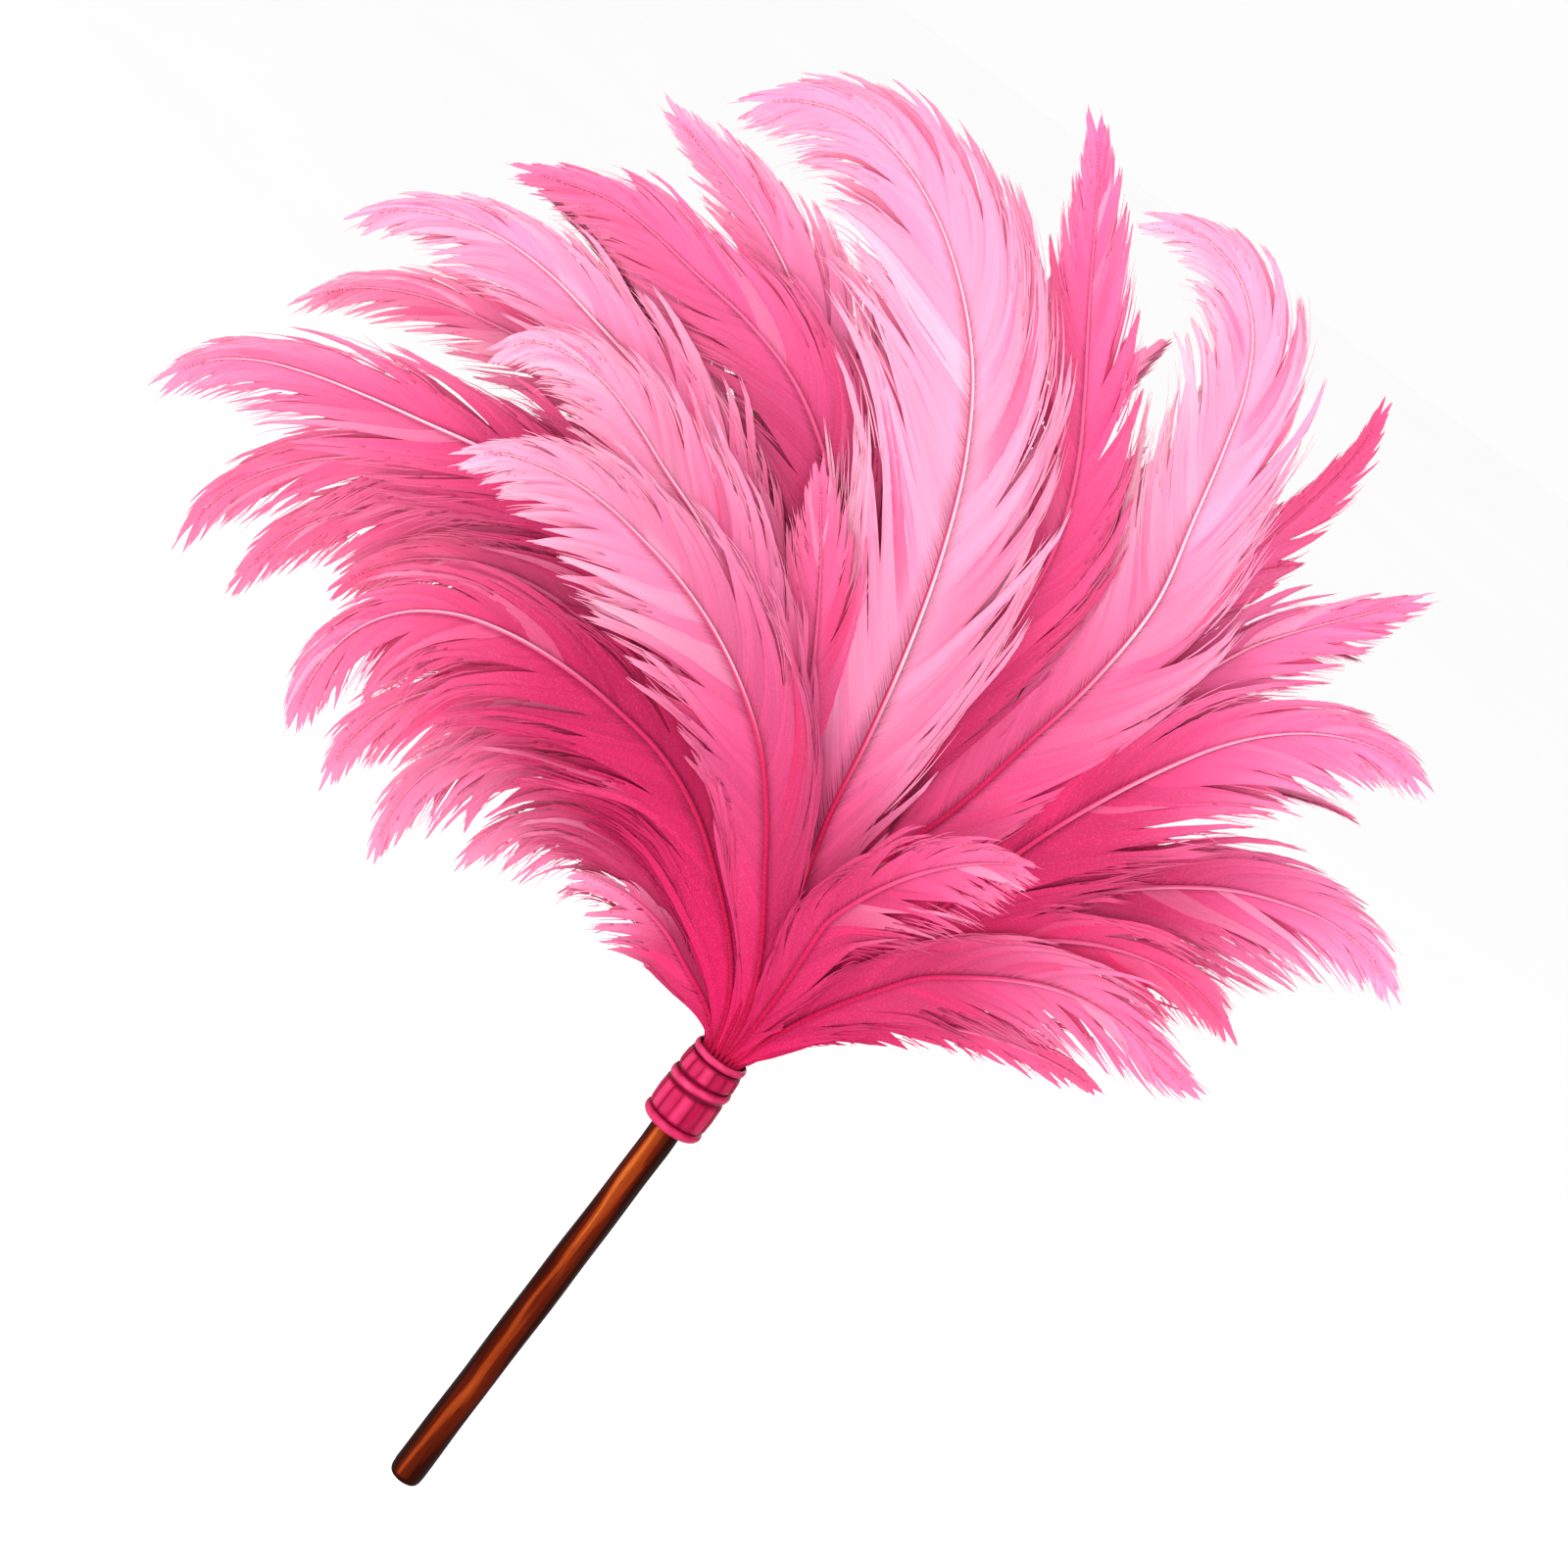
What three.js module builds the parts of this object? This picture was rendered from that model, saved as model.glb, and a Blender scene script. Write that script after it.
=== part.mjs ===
// Feather duster: a wooden handle, a fluted collar and a fountain of dyed ostrich plumes.
// Units are millimetres. +Z runs along the handle from the flat butt end (z = 0) toward the
// plumes; +X is the right of the front view, which looks along +Y.
import * as THREE from 'three';

// ---- driving dimensions ---------------------------------------------------------------
const MOUTH_Z = 235.5;        // plane of the collar's mouth
const COLLAR_LENGTH = 38.6;   // bottom rim to mouth
const COLLAR_BORE_R = 11.05;  // inside of the collar's sleeve
const COLLAR_R = 12.5;        // sleeve outside, over the flutes
const FLUTES = 14;            // flutes round the sleeve
const FLUTE_DEPTH = 0.5;
const BAND_TILT = 0.085;      // the middle band climbs across the collar (mm per mm of x)
const HANDLE_R = 7.4;         // handle radius at its thickest, near the butt
const TENON_R = 5.4;          // turned-down end of the handle among the quills
const TENON_TOP_Z = MOUTH_Z - 6;
const SHOULDER_Z = MOUTH_Z - 34.7;  // where the handle steps down to its tenon
const BAND_Z = MOUTH_Z - 15.8;      // middle of the collar's middle band
const QUILL_R = 0.9;          // half the thickness of a bare quill
const QUILL_END_Z = MOUTH_Z - 26;
const WIRE_R = 0.32;          // binding wire round the quills
const WIRE_COIL_R = 10.45;
const WIRE_TURNS = 4;
const WIRE_PITCH = 1.2;
const VANE_THICKNESS = [0.9, 0.9, 0.911, 0.967, 0.983, 0.943, 0.897, 0.846, 0.793, 0.73, 0.674, 0.625, 0.583, 0.544, 0.51, 0.478, 0.45]; // half thickness at the quill, station by station
const VANE_DROOP = 0.10;      // how far a vane's edges fall behind its quill

// ---- colours --------------------------------------------------------------------------
const rgb = (r, g, b) => new THREE.Color().setRGB(r / 255, g / 255, b / 255, THREE.SRGBColorSpace);
const material = (r, g, b, roughness) =>
  new THREE.MeshStandardMaterial({ color: rgb(r, g, b), roughness, metalness: 0 });
const lerp = (a, b, t) => a + (b - a) * t;
const featherMaterial = (tone) => material(lerp(208, 252, tone), lerp(62, 172, tone), lerp(118, 208, tone), 0.82);

const duster = new THREE.Group();
duster.name = 'feather_duster';

function add(name, geometry, mat) {
  const mesh = new THREE.Mesh(geometry, mat);
  mesh.name = name;
  duster.add(mesh);
}

// A closed body from rings of the same number of points, capped flat at both ends.
function loft(rings) {
  const n = rings[0].length;
  const positions = rings.flat(2);
  const index = [];
  for (let k = 0; k < rings.length - 1; k++) {
    for (let j = 0; j < n; j++) {
      const j2 = (j + 1) % n;
      const a = k * n;
      const b = a + n;
      index.push(a + j, b + j2, a + j2, a + j, b + j, b + j2);
    }
  }
  const e = (rings.length - 1) * n;
  for (let j = 1; j < n - 1; j++) {
    index.push(0, j, j + 1);
    index.push(e, e + j + 1, e + j);
  }
  const g = new THREE.BufferGeometry();
  g.setAttribute('position', new THREE.Float32BufferAttribute(positions, 3));
  g.setIndex(index);
  g.computeVertexNormals();
  return g;
}

// A closed ring-shaped body: a closed cross-section [radius, z] carried round the Z axis.
// shape(r, z, angle) may move a point of the section.
function ringBody(section, segments, shape = (r, z) => [r, z]) {
  const m = section.length;
  const positions = [];
  const index = [];
  for (let i = 0; i < segments; i++) {
    const a = (2 * Math.PI * i) / segments;
    for (const [r0, z0] of section) {
      const [r, z] = shape(r0, z0, a);
      positions.push(r * Math.cos(a), r * Math.sin(a), z);
    }
  }
  for (let i = 0; i < segments; i++) {
    const i2 = (i + 1) % segments;
    for (let j = 0; j < m; j++) {
      const j2 = (j + 1) % m;
      const p = i * m + j;
      const q = i2 * m + j;
      const p2 = i * m + j2;
      const q2 = i2 * m + j2;
      index.push(p, q, q2, p, q2, p2);
    }
  }
  const g = new THREE.BufferGeometry();
  g.setAttribute('position', new THREE.Float32BufferAttribute(positions, 3));
  g.setIndex(index);
  g.computeVertexNormals();
  return g;
}

// ---- handle ---------------------------------------------------------------------------
// Turned hardwood, slightly uneven, with an eased butt and a tenon hidden in the collar.
{
  const profile = [
    [0, 0], [5.6, 0], [6.7, 0.9], [HANDLE_R - 0.15, 3], [HANDLE_R, 22], [HANDLE_R - 0.15, 60],
    [HANDLE_R - 0.25, 105], [HANDLE_R - 0.45, 155], [HANDLE_R - 0.55, SHOULDER_Z - 0.2], [TENON_R, SHOULDER_Z],
    [TENON_R, TENON_TOP_Z - 1], [TENON_R - 1, TENON_TOP_Z], [0, TENON_TOP_Z],
  ].map(([r, z]) => new THREE.Vector2(r, z));
  const g = new THREE.LatheGeometry(profile, 24);
  g.rotateX(Math.PI / 2);
  add('handle', g, material(120, 44, 16, 0.35));
}

// ---- collar ---------------------------------------------------------------------------
// Height of the middle band's centre line as it climbs round the sleeve.
const bandZ = (r, angle) => BAND_Z + BAND_TILT * r * Math.cos(angle);
{
  // Sleeve: a fluted barrel with a plain groove for the middle band.
  const lower = MOUTH_Z - 33.4;
  const upper = MOUTH_Z - 3.8;
  const outside = [
    [COLLAR_R + 0.2, lower, 0], [COLLAR_R + 0.7, lower + 2.5, 1], [COLLAR_R + 0.8, lower + 7.4, 1], [COLLAR_R + 0.55, BAND_Z - 5.2, 1],
    [12.2, BAND_Z - 3, 2], [12.2, BAND_Z + 3, 2],
    [COLLAR_R + 0.25, BAND_Z + 5, 1], [COLLAR_R - 0.15, BAND_Z + 8.8, 1], [COLLAR_R - 1.0, upper, 0],
  ];
  const section = [...outside.map(([r, z]) => [r, z]), [COLLAR_BORE_R, upper], [COLLAR_BORE_R, lower]];
  const kind = new Map(outside.map(([r, z, k]) => [`${r},${z}`, k]));
  const shape = (r, z, a) => {
    const k = kind.get(`${r},${z}`);
    if (k === 1) {
      const t = Math.abs(z - BAND_Z) < 6 ? 0.5 : 0;
      return [r - FLUTE_DEPTH * (0.5 - 0.5 * Math.cos(FLUTES * a)), z + t * BAND_TILT * r * Math.cos(a)];
    }
    if (k === 2) return [r, z + BAND_TILT * r * Math.cos(a)];
    return [r, z];
  };
  add('collar_sleeve', ringBody(section, FLUTES * 4, shape), material(206, 48, 98, 0.42));

  // Middle band: a raised bead lying in the groove.
  const bead = [
    [12.5, -2.1], [12.9, -2.2], [13.3, -1.5], [13.5, -0.5], [13.5, 0.5], [13.25, 1.5], [12.85, 2.2], [12.5, 2.1],
  ].map(([r, z]) => [r, z + BAND_Z]);
  add('collar_mid_band', ringBody(bead, 28, (r, z, a) => [r, z + BAND_TILT * r * Math.cos(a)]), material(222, 62, 114, 0.4));

  // Top rim: the rolled lip of the mouth.
  const lip = [
    [11.0, -3.45], [11.7, -3.4], [12.15, -2.7], [12.2, -1.6], [11.85, -0.5], [11.3, 0], [10.95, -0.3], [10.85, -2],
  ].map(([r, z]) => [r, z + MOUTH_Z]);
  add('collar_top_rim', ringBody(lip, 28), material(226, 66, 118, 0.38));

  // Bottom rim: a wide rounded foot that closes the collar on to the handle.
  const z0 = MOUTH_Z - COLLAR_LENGTH;
  const foot = [
    [7.2, z0 + 0.4], [9.5, z0], [12.0, z0 + 0.4], [13.2, z0 + 1.5], [13.6, z0 + 2.9], [13.2, z0 + 4.3], [12.0, z0 + 4.85], [7.2, z0 + 4.85],
  ];
  // the foot's bore passes the handle below the tenon's shoulder
  foot[7] = [7.2, z0 + 3.4];
  add('collar_bottom_rim', ringBody(foot, 28), material(190, 38, 84, 0.42));
}

// ---- hidden inside the collar ----------------------------------------------------------
{
  // Set glue that seats the quills on the tenon.
  const low = MOUTH_Z - 32.6;
  const high = QUILL_END_Z - 0.7;
  const plug = [[TENON_R + 0.3, low], [COLLAR_BORE_R - 0.35, low], [COLLAR_BORE_R - 0.35, high], [TENON_R + 0.3, high]];
  add('glue_plug', ringBody(plug, 24), material(196, 150, 84, 0.5));

  // Binding wire coiled round the outer quills.
  const steps = WIRE_TURNS * 20;
  const sides = 5;
  const rings = [];
  for (let i = 0; i <= steps; i++) {
    const a = (2 * Math.PI * WIRE_TURNS * i) / steps;
    const z = MOUTH_Z - 22 + WIRE_PITCH * WIRE_TURNS * (i / steps);
    const ring = [];
    for (let s = 0; s < sides; s++) {
      const b = (2 * Math.PI * s) / sides;
      const r = WIRE_COIL_R + WIRE_R * Math.cos(b);
      ring.push([r * Math.cos(a), r * Math.sin(a), z + WIRE_R * Math.sin(b)]);
    }
    rings.push(ring);
  }
  add('binding_wire', loft(rings), new THREE.MeshStandardMaterial({ color: rgb(168, 160, 150), roughness: 0.35, metalness: 0.9 }));
}

// ---- feathers --------------------------------------------------------------------------
// Each feather: the place of its quill in the collar (x, y), a tone from 0 (deep) to 1 (pale)
// and stations along the quill: x, y, z, the vane's facing direction (nx, ny, nz) and the
// half widths of the vane on its left and right.
const FEATHERS = {
  feather_centre_tall: { root: [2.07, -6.37], tone: 0.85, at: [
    [2.07, -6.37, 235.5, -0.039, -0.983, -0.182, 0.9, 0.9],
    [2.28, -8.9, 249.11, -0.003, -0.989, -0.149, 0.9, 0.9],
    [0.33, -11.17, 267.32, 0.04, -0.996, -0.081, 1, 1.3],
    [-5.26, -12.52, 289.69, 0.051, -0.999, -0.009, 3.3, 4.4],
    [-15.26, -12.4, 315.55, 0.034, -0.999, -0.022, 6.7, 8.9],
    [-23.7, -14.39, 346.6, -0.004, -0.995, -0.096, 10.5, 13.9],
    [-30, -18.83, 382.72, -0.033, -0.991, -0.132, 14.3, 19],
    [-38.76, -24.03, 422.98, -0.018, -0.99, -0.14, 17.8, 23.8],
    [-50.16, -29.77, 462.49, 0.015, -0.989, -0.149, 20.6, 27.5],
    [-65.52, -36.15, 500.53, 0.061, -0.987, -0.148, 23, 30.7],
    [-84.6, -42.27, 531.47, 0.116, -0.985, -0.127, 23.6, 31.5],
    [-106.73, -47.94, 554.24, 0.157, -0.983, -0.093, 23.2, 30.9],
    [-128.9, -52.99, 569.99, 0.183, -0.982, -0.055, 22.1, 29.5],
    [-151.85, -57.76, 579.62, 0.198, -0.98, -0.009, 19.7, 26.2],
    [-174.26, -62.25, 581.59, 0.198, -0.979, 0.038, 15.5, 20.7],
    [-193.49, -66.35, 575.2, 0.191, -0.979, 0.069, 9.9, 13.1],
    [-207.47, -70, 563.87, 0.19, -0.978, 0.08, 1.2, 1.6],
  ] },
  feather_right_hooked: { root: [4.16, -7.92], tone: 0.85, at: [
    [4.16, -7.92, 235.5, -0.096, -0.974, -0.206, 0.9, 0.9],
    [5.57, -10.77, 248.3, -0.07, -0.985, -0.16, 0.9, 0.9],
    [6.38, -12.99, 265.72, -0.046, -0.997, -0.068, 0.9, 0.9],
    [5.82, -13.45, 287.67, -0.054, -0.998, 0.033, 2.6, 3.1],
    [3.31, -11.25, 313.83, -0.1, -0.993, 0.058, 5.2, 6.3],
    [4.76, -10.03, 344.32, -0.188, -0.982, 0.034, 8.1, 9.9],
    [14.48, -11.15, 378.1, -0.251, -0.968, 0.03, 11.1, 13.5],
    [21.46, -12.12, 417.03, -0.251, -0.968, 0.011, 13.9, 16.8],
    [27.54, -13.62, 456.09, -0.237, -0.971, -0.027, 16, 19.5],
    [28.06, -15.89, 495.57, -0.192, -0.978, -0.083, 17.9, 21.8],
    [20.12, -18.37, 529.64, -0.153, -0.982, -0.111, 18.4, 22.3],
    [12.79, -20.73, 559.43, -0.142, -0.982, -0.12, 18, 21.9],
    [4.79, -22.84, 584.44, -0.101, -0.986, -0.136, 17.2, 20.9],
    [-7.94, -24.85, 604.78, -0.025, -0.99, -0.14, 15.3, 18.6],
    [-25.62, -26.73, 617.38, 0.053, -0.993, -0.108, 12.1, 14.7],
    [-45, -28.47, 619.86, 0.095, -0.994, -0.062, 7.7, 9.3],
    [-61.65, -30, 614.7, 0.105, -0.993, -0.045, 0.9, 1.1],
  ] },
  feather_front_left_pale: { root: [-0, -8.95], tone: 0.95, at: [
    [-0, -8.95, 235.5, 0.001, -0.961, -0.276, 0.9, 0.9],
    [-0.48, -11.8, 245.42, 0.041, -0.965, -0.259, 0.9, 0.9],
    [-2.63, -15.25, 258.59, 0.126, -0.97, -0.207, 0.9, 0.9],
    [-7.64, -18.95, 274.64, 0.221, -0.968, -0.115, 3, 2.5],
    [-16.71, -22.53, 292.85, 0.29, -0.957, -0.015, 6, 5],
    [-29.49, -26.16, 312.98, 0.376, -0.927, -0.01, 9.3, 7.8],
    [-43.33, -33.8, 335.51, 0.489, -0.872, -0.024, 12.7, 10.7],
    [-60.49, -44.83, 358.83, 0.555, -0.831, 0.041, 15.8, 13.4],
    [-81.44, -57.17, 378.05, 0.589, -0.797, 0.134, 18.3, 15.5],
    [-104.17, -71.2, 393.75, 0.609, -0.766, 0.207, 20.5, 17.3],
    [-125.44, -84.94, 404.63, 0.612, -0.74, 0.281, 21, 17.7],
    [-144.57, -97.82, 411.67, 0.608, -0.721, 0.332, 20.6, 17.4],
    [-160.96, -109.38, 416.67, 0.596, -0.704, 0.386, 19.7, 16.6],
    [-176.12, -120.5, 419.01, 0.552, -0.69, 0.468, 17.5, 14.8],
    [-189.71, -131.05, 418.62, 0.488, -0.682, 0.545, 13.8, 11.7],
    [-201.36, -140.93, 416.05, 0.383, -0.678, 0.627, 8.8, 7.4],
    [-210.08, -150, 410.59, 0.299, -0.686, 0.663, 1.1, 0.9],
  ] },
  feather_left_pale_second: { root: [-2.14, -8.69], tone: 0.92, at: [
    [-2.14, -8.69, 235.5, 0.041, -0.967, -0.252, 0.9, 0.9],
    [-3.28, -11.4, 245.72, 0.067, -0.974, -0.216, 0.9, 0.9],
    [-6.08, -14.25, 259.33, 0.112, -0.984, -0.137, 0.9, 0.9],
    [-11.54, -16.57, 276.03, 0.148, -0.988, -0.033, 2.6, 2.4],
    [-20.67, -17.65, 295.2, 0.165, -0.985, 0.055, 5.2, 4.8],
    [-33.1, -17.93, 316.7, 0.23, -0.973, 0.026, 8.1, 7.6],
    [-47.62, -22.82, 340.51, 0.331, -0.943, -0.014, 11.1, 10.3],
    [-66.98, -30.53, 364.68, 0.381, -0.925, 0.014, 13.9, 12.9],
    [-88.45, -38.93, 386.76, 0.405, -0.913, 0.045, 16, 14.9],
    [-111.51, -48.16, 406.79, 0.424, -0.901, 0.087, 17.9, 16.6],
    [-134.1, -57.05, 421.4, 0.43, -0.891, 0.145, 18.4, 17.1],
    [-155.29, -65.3, 431.38, 0.435, -0.885, 0.167, 18, 16.7],
    [-173.09, -72.61, 440.47, 0.442, -0.88, 0.174, 17.2, 16],
    [-189.98, -79.57, 447.25, 0.423, -0.875, 0.237, 15.3, 14.2],
    [-206.23, -86.19, 449.43, 0.358, -0.875, 0.326, 12.1, 11.2],
    [-220.53, -92.37, 446.41, 0.239, -0.883, 0.405, 7.7, 7.1],
    [-228.92, -98, 437.06, 0.145, -0.9, 0.412, 0.9, 0.9],
  ] },
  feather_left_upper: { root: [-3.94, -5.42], tone: 0.88, at: [
    [-3.94, -5.42, 235.5, 0.056, -0.989, -0.137, 0.9, 0.9],
    [-6.04, -7.28, 248.03, 0.068, -0.994, -0.089, 0.9, 0.9],
    [-10.25, -8.47, 264.57, 0.055, -0.998, 0.009, 0.9, 0.9],
    [-17.52, -7.59, 284.67, 0, -0.996, 0.091, 2.2, 2.1],
    [-28.56, -4.52, 307.68, -0.039, -0.997, 0.073, 4.5, 4.5],
    [-42.55, -2.98, 334.07, -0.026, -0.999, -0.044, 7, 7.7],
    [-61.94, -6.04, 362.09, -0.002, -0.991, -0.131, 9.5, 10.7],
    [-88.84, -10.2, 389.34, 0.03, -0.991, -0.132, 11.9, 13.4],
    [-119.31, -14.46, 412.52, 0.053, -0.992, -0.116, 13.7, 15.5],
    [-152.04, -18.63, 432.42, 0.069, -0.992, -0.102, 15.4, 17.3],
    [-183.22, -22.32, 445.98, 0.085, -0.992, -0.089, 15.7, 17.7],
    [-212.14, -25.61, 453.06, 0.095, -0.992, -0.083, 15.4, 17.4],
    [-237.17, -28.49, 458, 0.105, -0.991, -0.081, 14.8, 16.6],
    [-260.51, -31.19, 458.54, 0.125, -0.989, -0.082, 13.1, 14.8],
    [-281.16, -33.7, 453.84, 0.157, -0.984, -0.089, 10.4, 11.7],
    [-298.07, -35.98, 444.97, 0.215, -0.972, -0.091, 6.6, 7.4],
    [-309.52, -38, 432.68, 0.258, -0.963, -0.082, 0.9, 0.9],
  ] },
  feather_left_upper_under: { root: [-6.7, 0], tone: 0.60, at: [
    [-6.7, 0, 235.5, 0.056, -0.998, 0.019, 0.9, 0.9],
    [-9.75, 0.06, 247.49, 0.065, -0.997, 0.032, 0.9, 0.9],
    [-14.95, 0.33, 263.14, 0.059, -0.997, 0.04, 0.9, 0.9],
    [-23.07, 0.67, 282.16, 0.015, -0.999, 0.036, 2, 2],
    [-34.8, 1.49, 304, -0.038, -0.999, 0.009, 4, 4],
    [-49.97, 2.13, 328.58, -0.073, -0.996, -0.056, 6.1, 6.1],
    [-71.35, 1.41, 353.67, -0.098, -0.986, -0.135, 8.5, 8.5],
    [-99.11, 0.25, 378.22, -0.085, -0.985, -0.152, 10.8, 10.8],
    [-129.51, -0.63, 399.41, -0.065, -0.987, -0.147, 12.6, 12.6],
    [-162.98, -1.09, 415.3, -0.045, -0.988, -0.146, 14.1, 14.1],
    [-194.76, -1.28, 424.02, -0.022, -0.988, -0.154, 14.4, 14.4],
    [-223.5, -1.42, 425.98, 0.009, -0.985, -0.171, 14.2, 14.2],
    [-248, -1.54, 422.59, 0.04, -0.982, -0.186, 13.5, 13.5],
    [-270.04, -1.67, 417.27, 0.072, -0.977, -0.201, 12, 12],
    [-288.94, -1.79, 409.1, 0.129, -0.967, -0.218, 9.5, 9.5],
    [-303.96, -1.9, 398.26, 0.222, -0.949, -0.223, 6, 6],
    [-313.85, -2, 385.2, 0.287, -0.934, -0.21, 0.9, 0.9],
  ] },
  feather_left_far: { root: [-5.42, -3.94], tone: 0.72, at: [
    [-5.42, -3.94, 235.5, 0.075, -0.992, -0.103, 0.9, 0.9],
    [-8.14, -5.42, 247.77, 0.093, -0.992, -0.08, 0.9, 0.9],
    [-13.3, -6.95, 263.77, 0.107, -0.993, -0.047, 0.9, 0.9],
    [-21.87, -8.57, 282.97, 0.09, -0.996, -0.016, 2.3, 2.3],
    [-34.69, -9.53, 304.77, 0.07, -0.997, -0.014, 5, 5.1],
    [-52.09, -11.32, 328.49, 0.084, -0.996, -0.044, 8.5, 8.6],
    [-77.37, -15.11, 350.46, 0.095, -0.993, -0.07, 11.8, 11.9],
    [-109.39, -19.77, 370.26, 0.117, -0.991, -0.059, 14.8, 14.8],
    [-144.28, -25.05, 384.16, 0.145, -0.989, -0.033, 17.2, 17.2],
    [-181.22, -30.96, 390.31, 0.163, -0.987, -0.01, 19.2, 19.2],
    [-214.42, -36.65, 388.71, 0.174, -0.985, 0.002, 19.7, 19.7],
    [-243.06, -41.89, 383.69, 0.182, -0.983, 0.006, 19.3, 19.3],
    [-267.55, -46.54, 379.24, 0.189, -0.982, 0.008, 18.4, 18.4],
    [-289.7, -50.92, 373.89, 0.197, -0.98, 0.009, 16.4, 16.4],
    [-309.01, -54.99, 366.48, 0.218, -0.976, 0.009, 13, 13],
    [-323.89, -58.73, 355.42, 0.273, -0.962, 0.018, 8.2, 8.2],
    [-332.09, -62, 341.23, 0.314, -0.949, 0.037, 1, 1],
  ] },
  feather_left_far_under: { root: [-6.37, -2.07], tone: 0.50, at: [
    [-6.37, -2.07, 235.5, 0.075, -0.996, -0.041, 0.9, 0.9],
    [-9.43, -2.79, 247.26, 0.092, -0.996, -0.019, 0.9, 0.9],
    [-15.19, -3.41, 262.41, 0.098, -0.995, 0.02, 0.9, 0.9],
    [-24.73, -3.63, 280.28, 0.071, -0.996, 0.048, 2.2, 2.2],
    [-38.91, -3.3, 300.04, 0.039, -0.998, 0.04, 4.5, 4.5],
    [-57.32, -3.26, 321.62, 0.027, -1, -0.003, 7, 7],
    [-82.11, -4.6, 342.45, 0.019, -0.998, -0.052, 9.5, 9.4],
    [-113.28, -6.4, 361.31, 0.033, -0.998, -0.054, 11.9, 11.1],
    [-147.34, -8.46, 374.14, 0.052, -0.998, -0.04, 13.7, 12.3],
    [-183.43, -10.76, 378.5, 0.067, -0.997, -0.037, 15.4, 14.5],
    [-215.26, -12.97, 373.15, 0.086, -0.995, -0.048, 15.7, 15.6],
    [-241.21, -14.96, 361.91, 0.113, -0.991, -0.064, 15.4, 15.4],
    [-261.42, -16.66, 348.49, 0.147, -0.986, -0.076, 14.8, 14.8],
    [-277.72, -18.21, 333.37, 0.193, -0.978, -0.082, 13.1, 13.1],
    [-289.63, -19.61, 317.06, 0.262, -0.962, -0.071, 10.4, 10.4],
    [-296.44, -20.87, 300.21, 0.354, -0.935, -0.016, 6.6, 6.6],
    [-297.4, -22, 284.16, 0.4, -0.916, 0.04, 0.9, 0.9],
  ] },
  feather_left_far_lower: { root: [-8.37, 3.17], tone: 0.42, at: [
    [-8.37, 3.17, 235.5, 0.048, -0.993, 0.107, 0.9, 0.9],
    [-11.72, 4.13, 245.82, 0.065, -0.993, 0.098, 0.9, 0.9],
    [-17.54, 4.91, 259.1, 0.092, -0.993, 0.078, 0.9, 0.9],
    [-26.96, 4.99, 274.82, 0.112, -0.992, 0.056, 1.3, 1.2],
    [-40.58, 4.18, 292.01, 0.114, -0.993, 0.044, 3.3, 3.1],
    [-57.95, 3.02, 310.62, 0.081, -0.995, 0.061, 6.5, 6],
    [-81.06, 3.08, 328.1, 0.038, -0.997, 0.067, 9.4, 8.6],
    [-110.03, 3.21, 342.94, 0.025, -0.997, 0.077, 11.9, 10.9],
    [-141.07, 3.5, 352.71, 0.004, -0.996, 0.087, 13.7, 12.6],
    [-173.41, 4.13, 356.37, -0.022, -0.997, 0.079, 15.4, 14.1],
    [-202.14, 4.86, 352.87, -0.038, -0.998, 0.046, 15.7, 14.4],
    [-225.74, 5.55, 343.64, -0.03, -1, -0.001, 15.4, 14.2],
    [-243.73, 6.15, 331.41, 0.004, -0.999, -0.048, 14.8, 13.5],
    [-257.56, 6.68, 317.05, 0.064, -0.994, -0.083, 13.1, 12],
    [-266.7, 7.17, 301.41, 0.144, -0.985, -0.095, 10.4, 9.5],
    [-271.82, 7.61, 285.92, 0.222, -0.972, -0.079, 6.6, 6],
    [-273.69, 8, 271.54, 0.26, -0.964, -0.06, 0.9, 0.9],
  ] },
  feather_left_curl: { root: [-4.16, -7.92], tone: 0.60, at: [
    [-4.16, -7.92, 235.5, 0.092, -0.97, -0.225, 0.9, 0.9],
    [-6.01, -10.24, 244.74, 0.129, -0.973, -0.19, 0.9, 0.9],
    [-10.15, -12.85, 256.7, 0.187, -0.976, -0.107, 0.9, 0.9],
    [-17.85, -15.34, 270.67, 0.222, -0.975, 0.005, 2.3, 2.9],
    [-30.16, -17.27, 285.52, 0.222, -0.969, 0.107, 4.7, 5.8],
    [-46.84, -18.69, 300.75, 0.264, -0.956, 0.13, 7.3, 9],
    [-66.55, -23.06, 316.82, 0.364, -0.921, 0.137, 9.9, 12.3],
    [-90.86, -31.72, 330.13, 0.403, -0.89, 0.213, 12.4, 15.3],
    [-117.44, -41.25, 337.04, 0.381, -0.88, 0.285, 14.3, 17.8],
    [-144.43, -51.48, 340.7, 0.361, -0.873, 0.328, 16, 19.8],
    [-168.4, -61.14, 340.28, 0.324, -0.869, 0.374, 16.4, 20.3],
    [-188.65, -70.06, 335.75, 0.256, -0.872, 0.418, 16.1, 19.9],
    [-203.59, -78.09, 326.52, 0.166, -0.882, 0.441, 15.4, 19.1],
    [-212.84, -85.73, 313.52, 0.093, -0.892, 0.442, 13.7, 16.9],
    [-215.9, -92.82, 299.39, 0.042, -0.895, 0.444, 10.8, 13.4],
    [-214.65, -99.25, 286.44, -0.002, -0.89, 0.456, 6.8, 8.5],
    [-210.53, -105, 275.64, -0.029, -0.887, 0.461, 0.9, 1],
  ] },
  feather_left_curl_under: { root: [-7.37, -5.08], tone: 0.38, at: [
    [-7.37, -5.08, 235.5, 0.117, -0.986, -0.118, 0.9, 0.9],
    [-9.69, -6.29, 243.22, 0.144, -0.984, -0.1, 0.9, 0.9],
    [-13.95, -7.84, 253.07, 0.198, -0.98, -0.036, 0.9, 0.9],
    [-21.14, -9.38, 264.45, 0.248, -0.966, 0.072, 2.2, 2.2],
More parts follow.
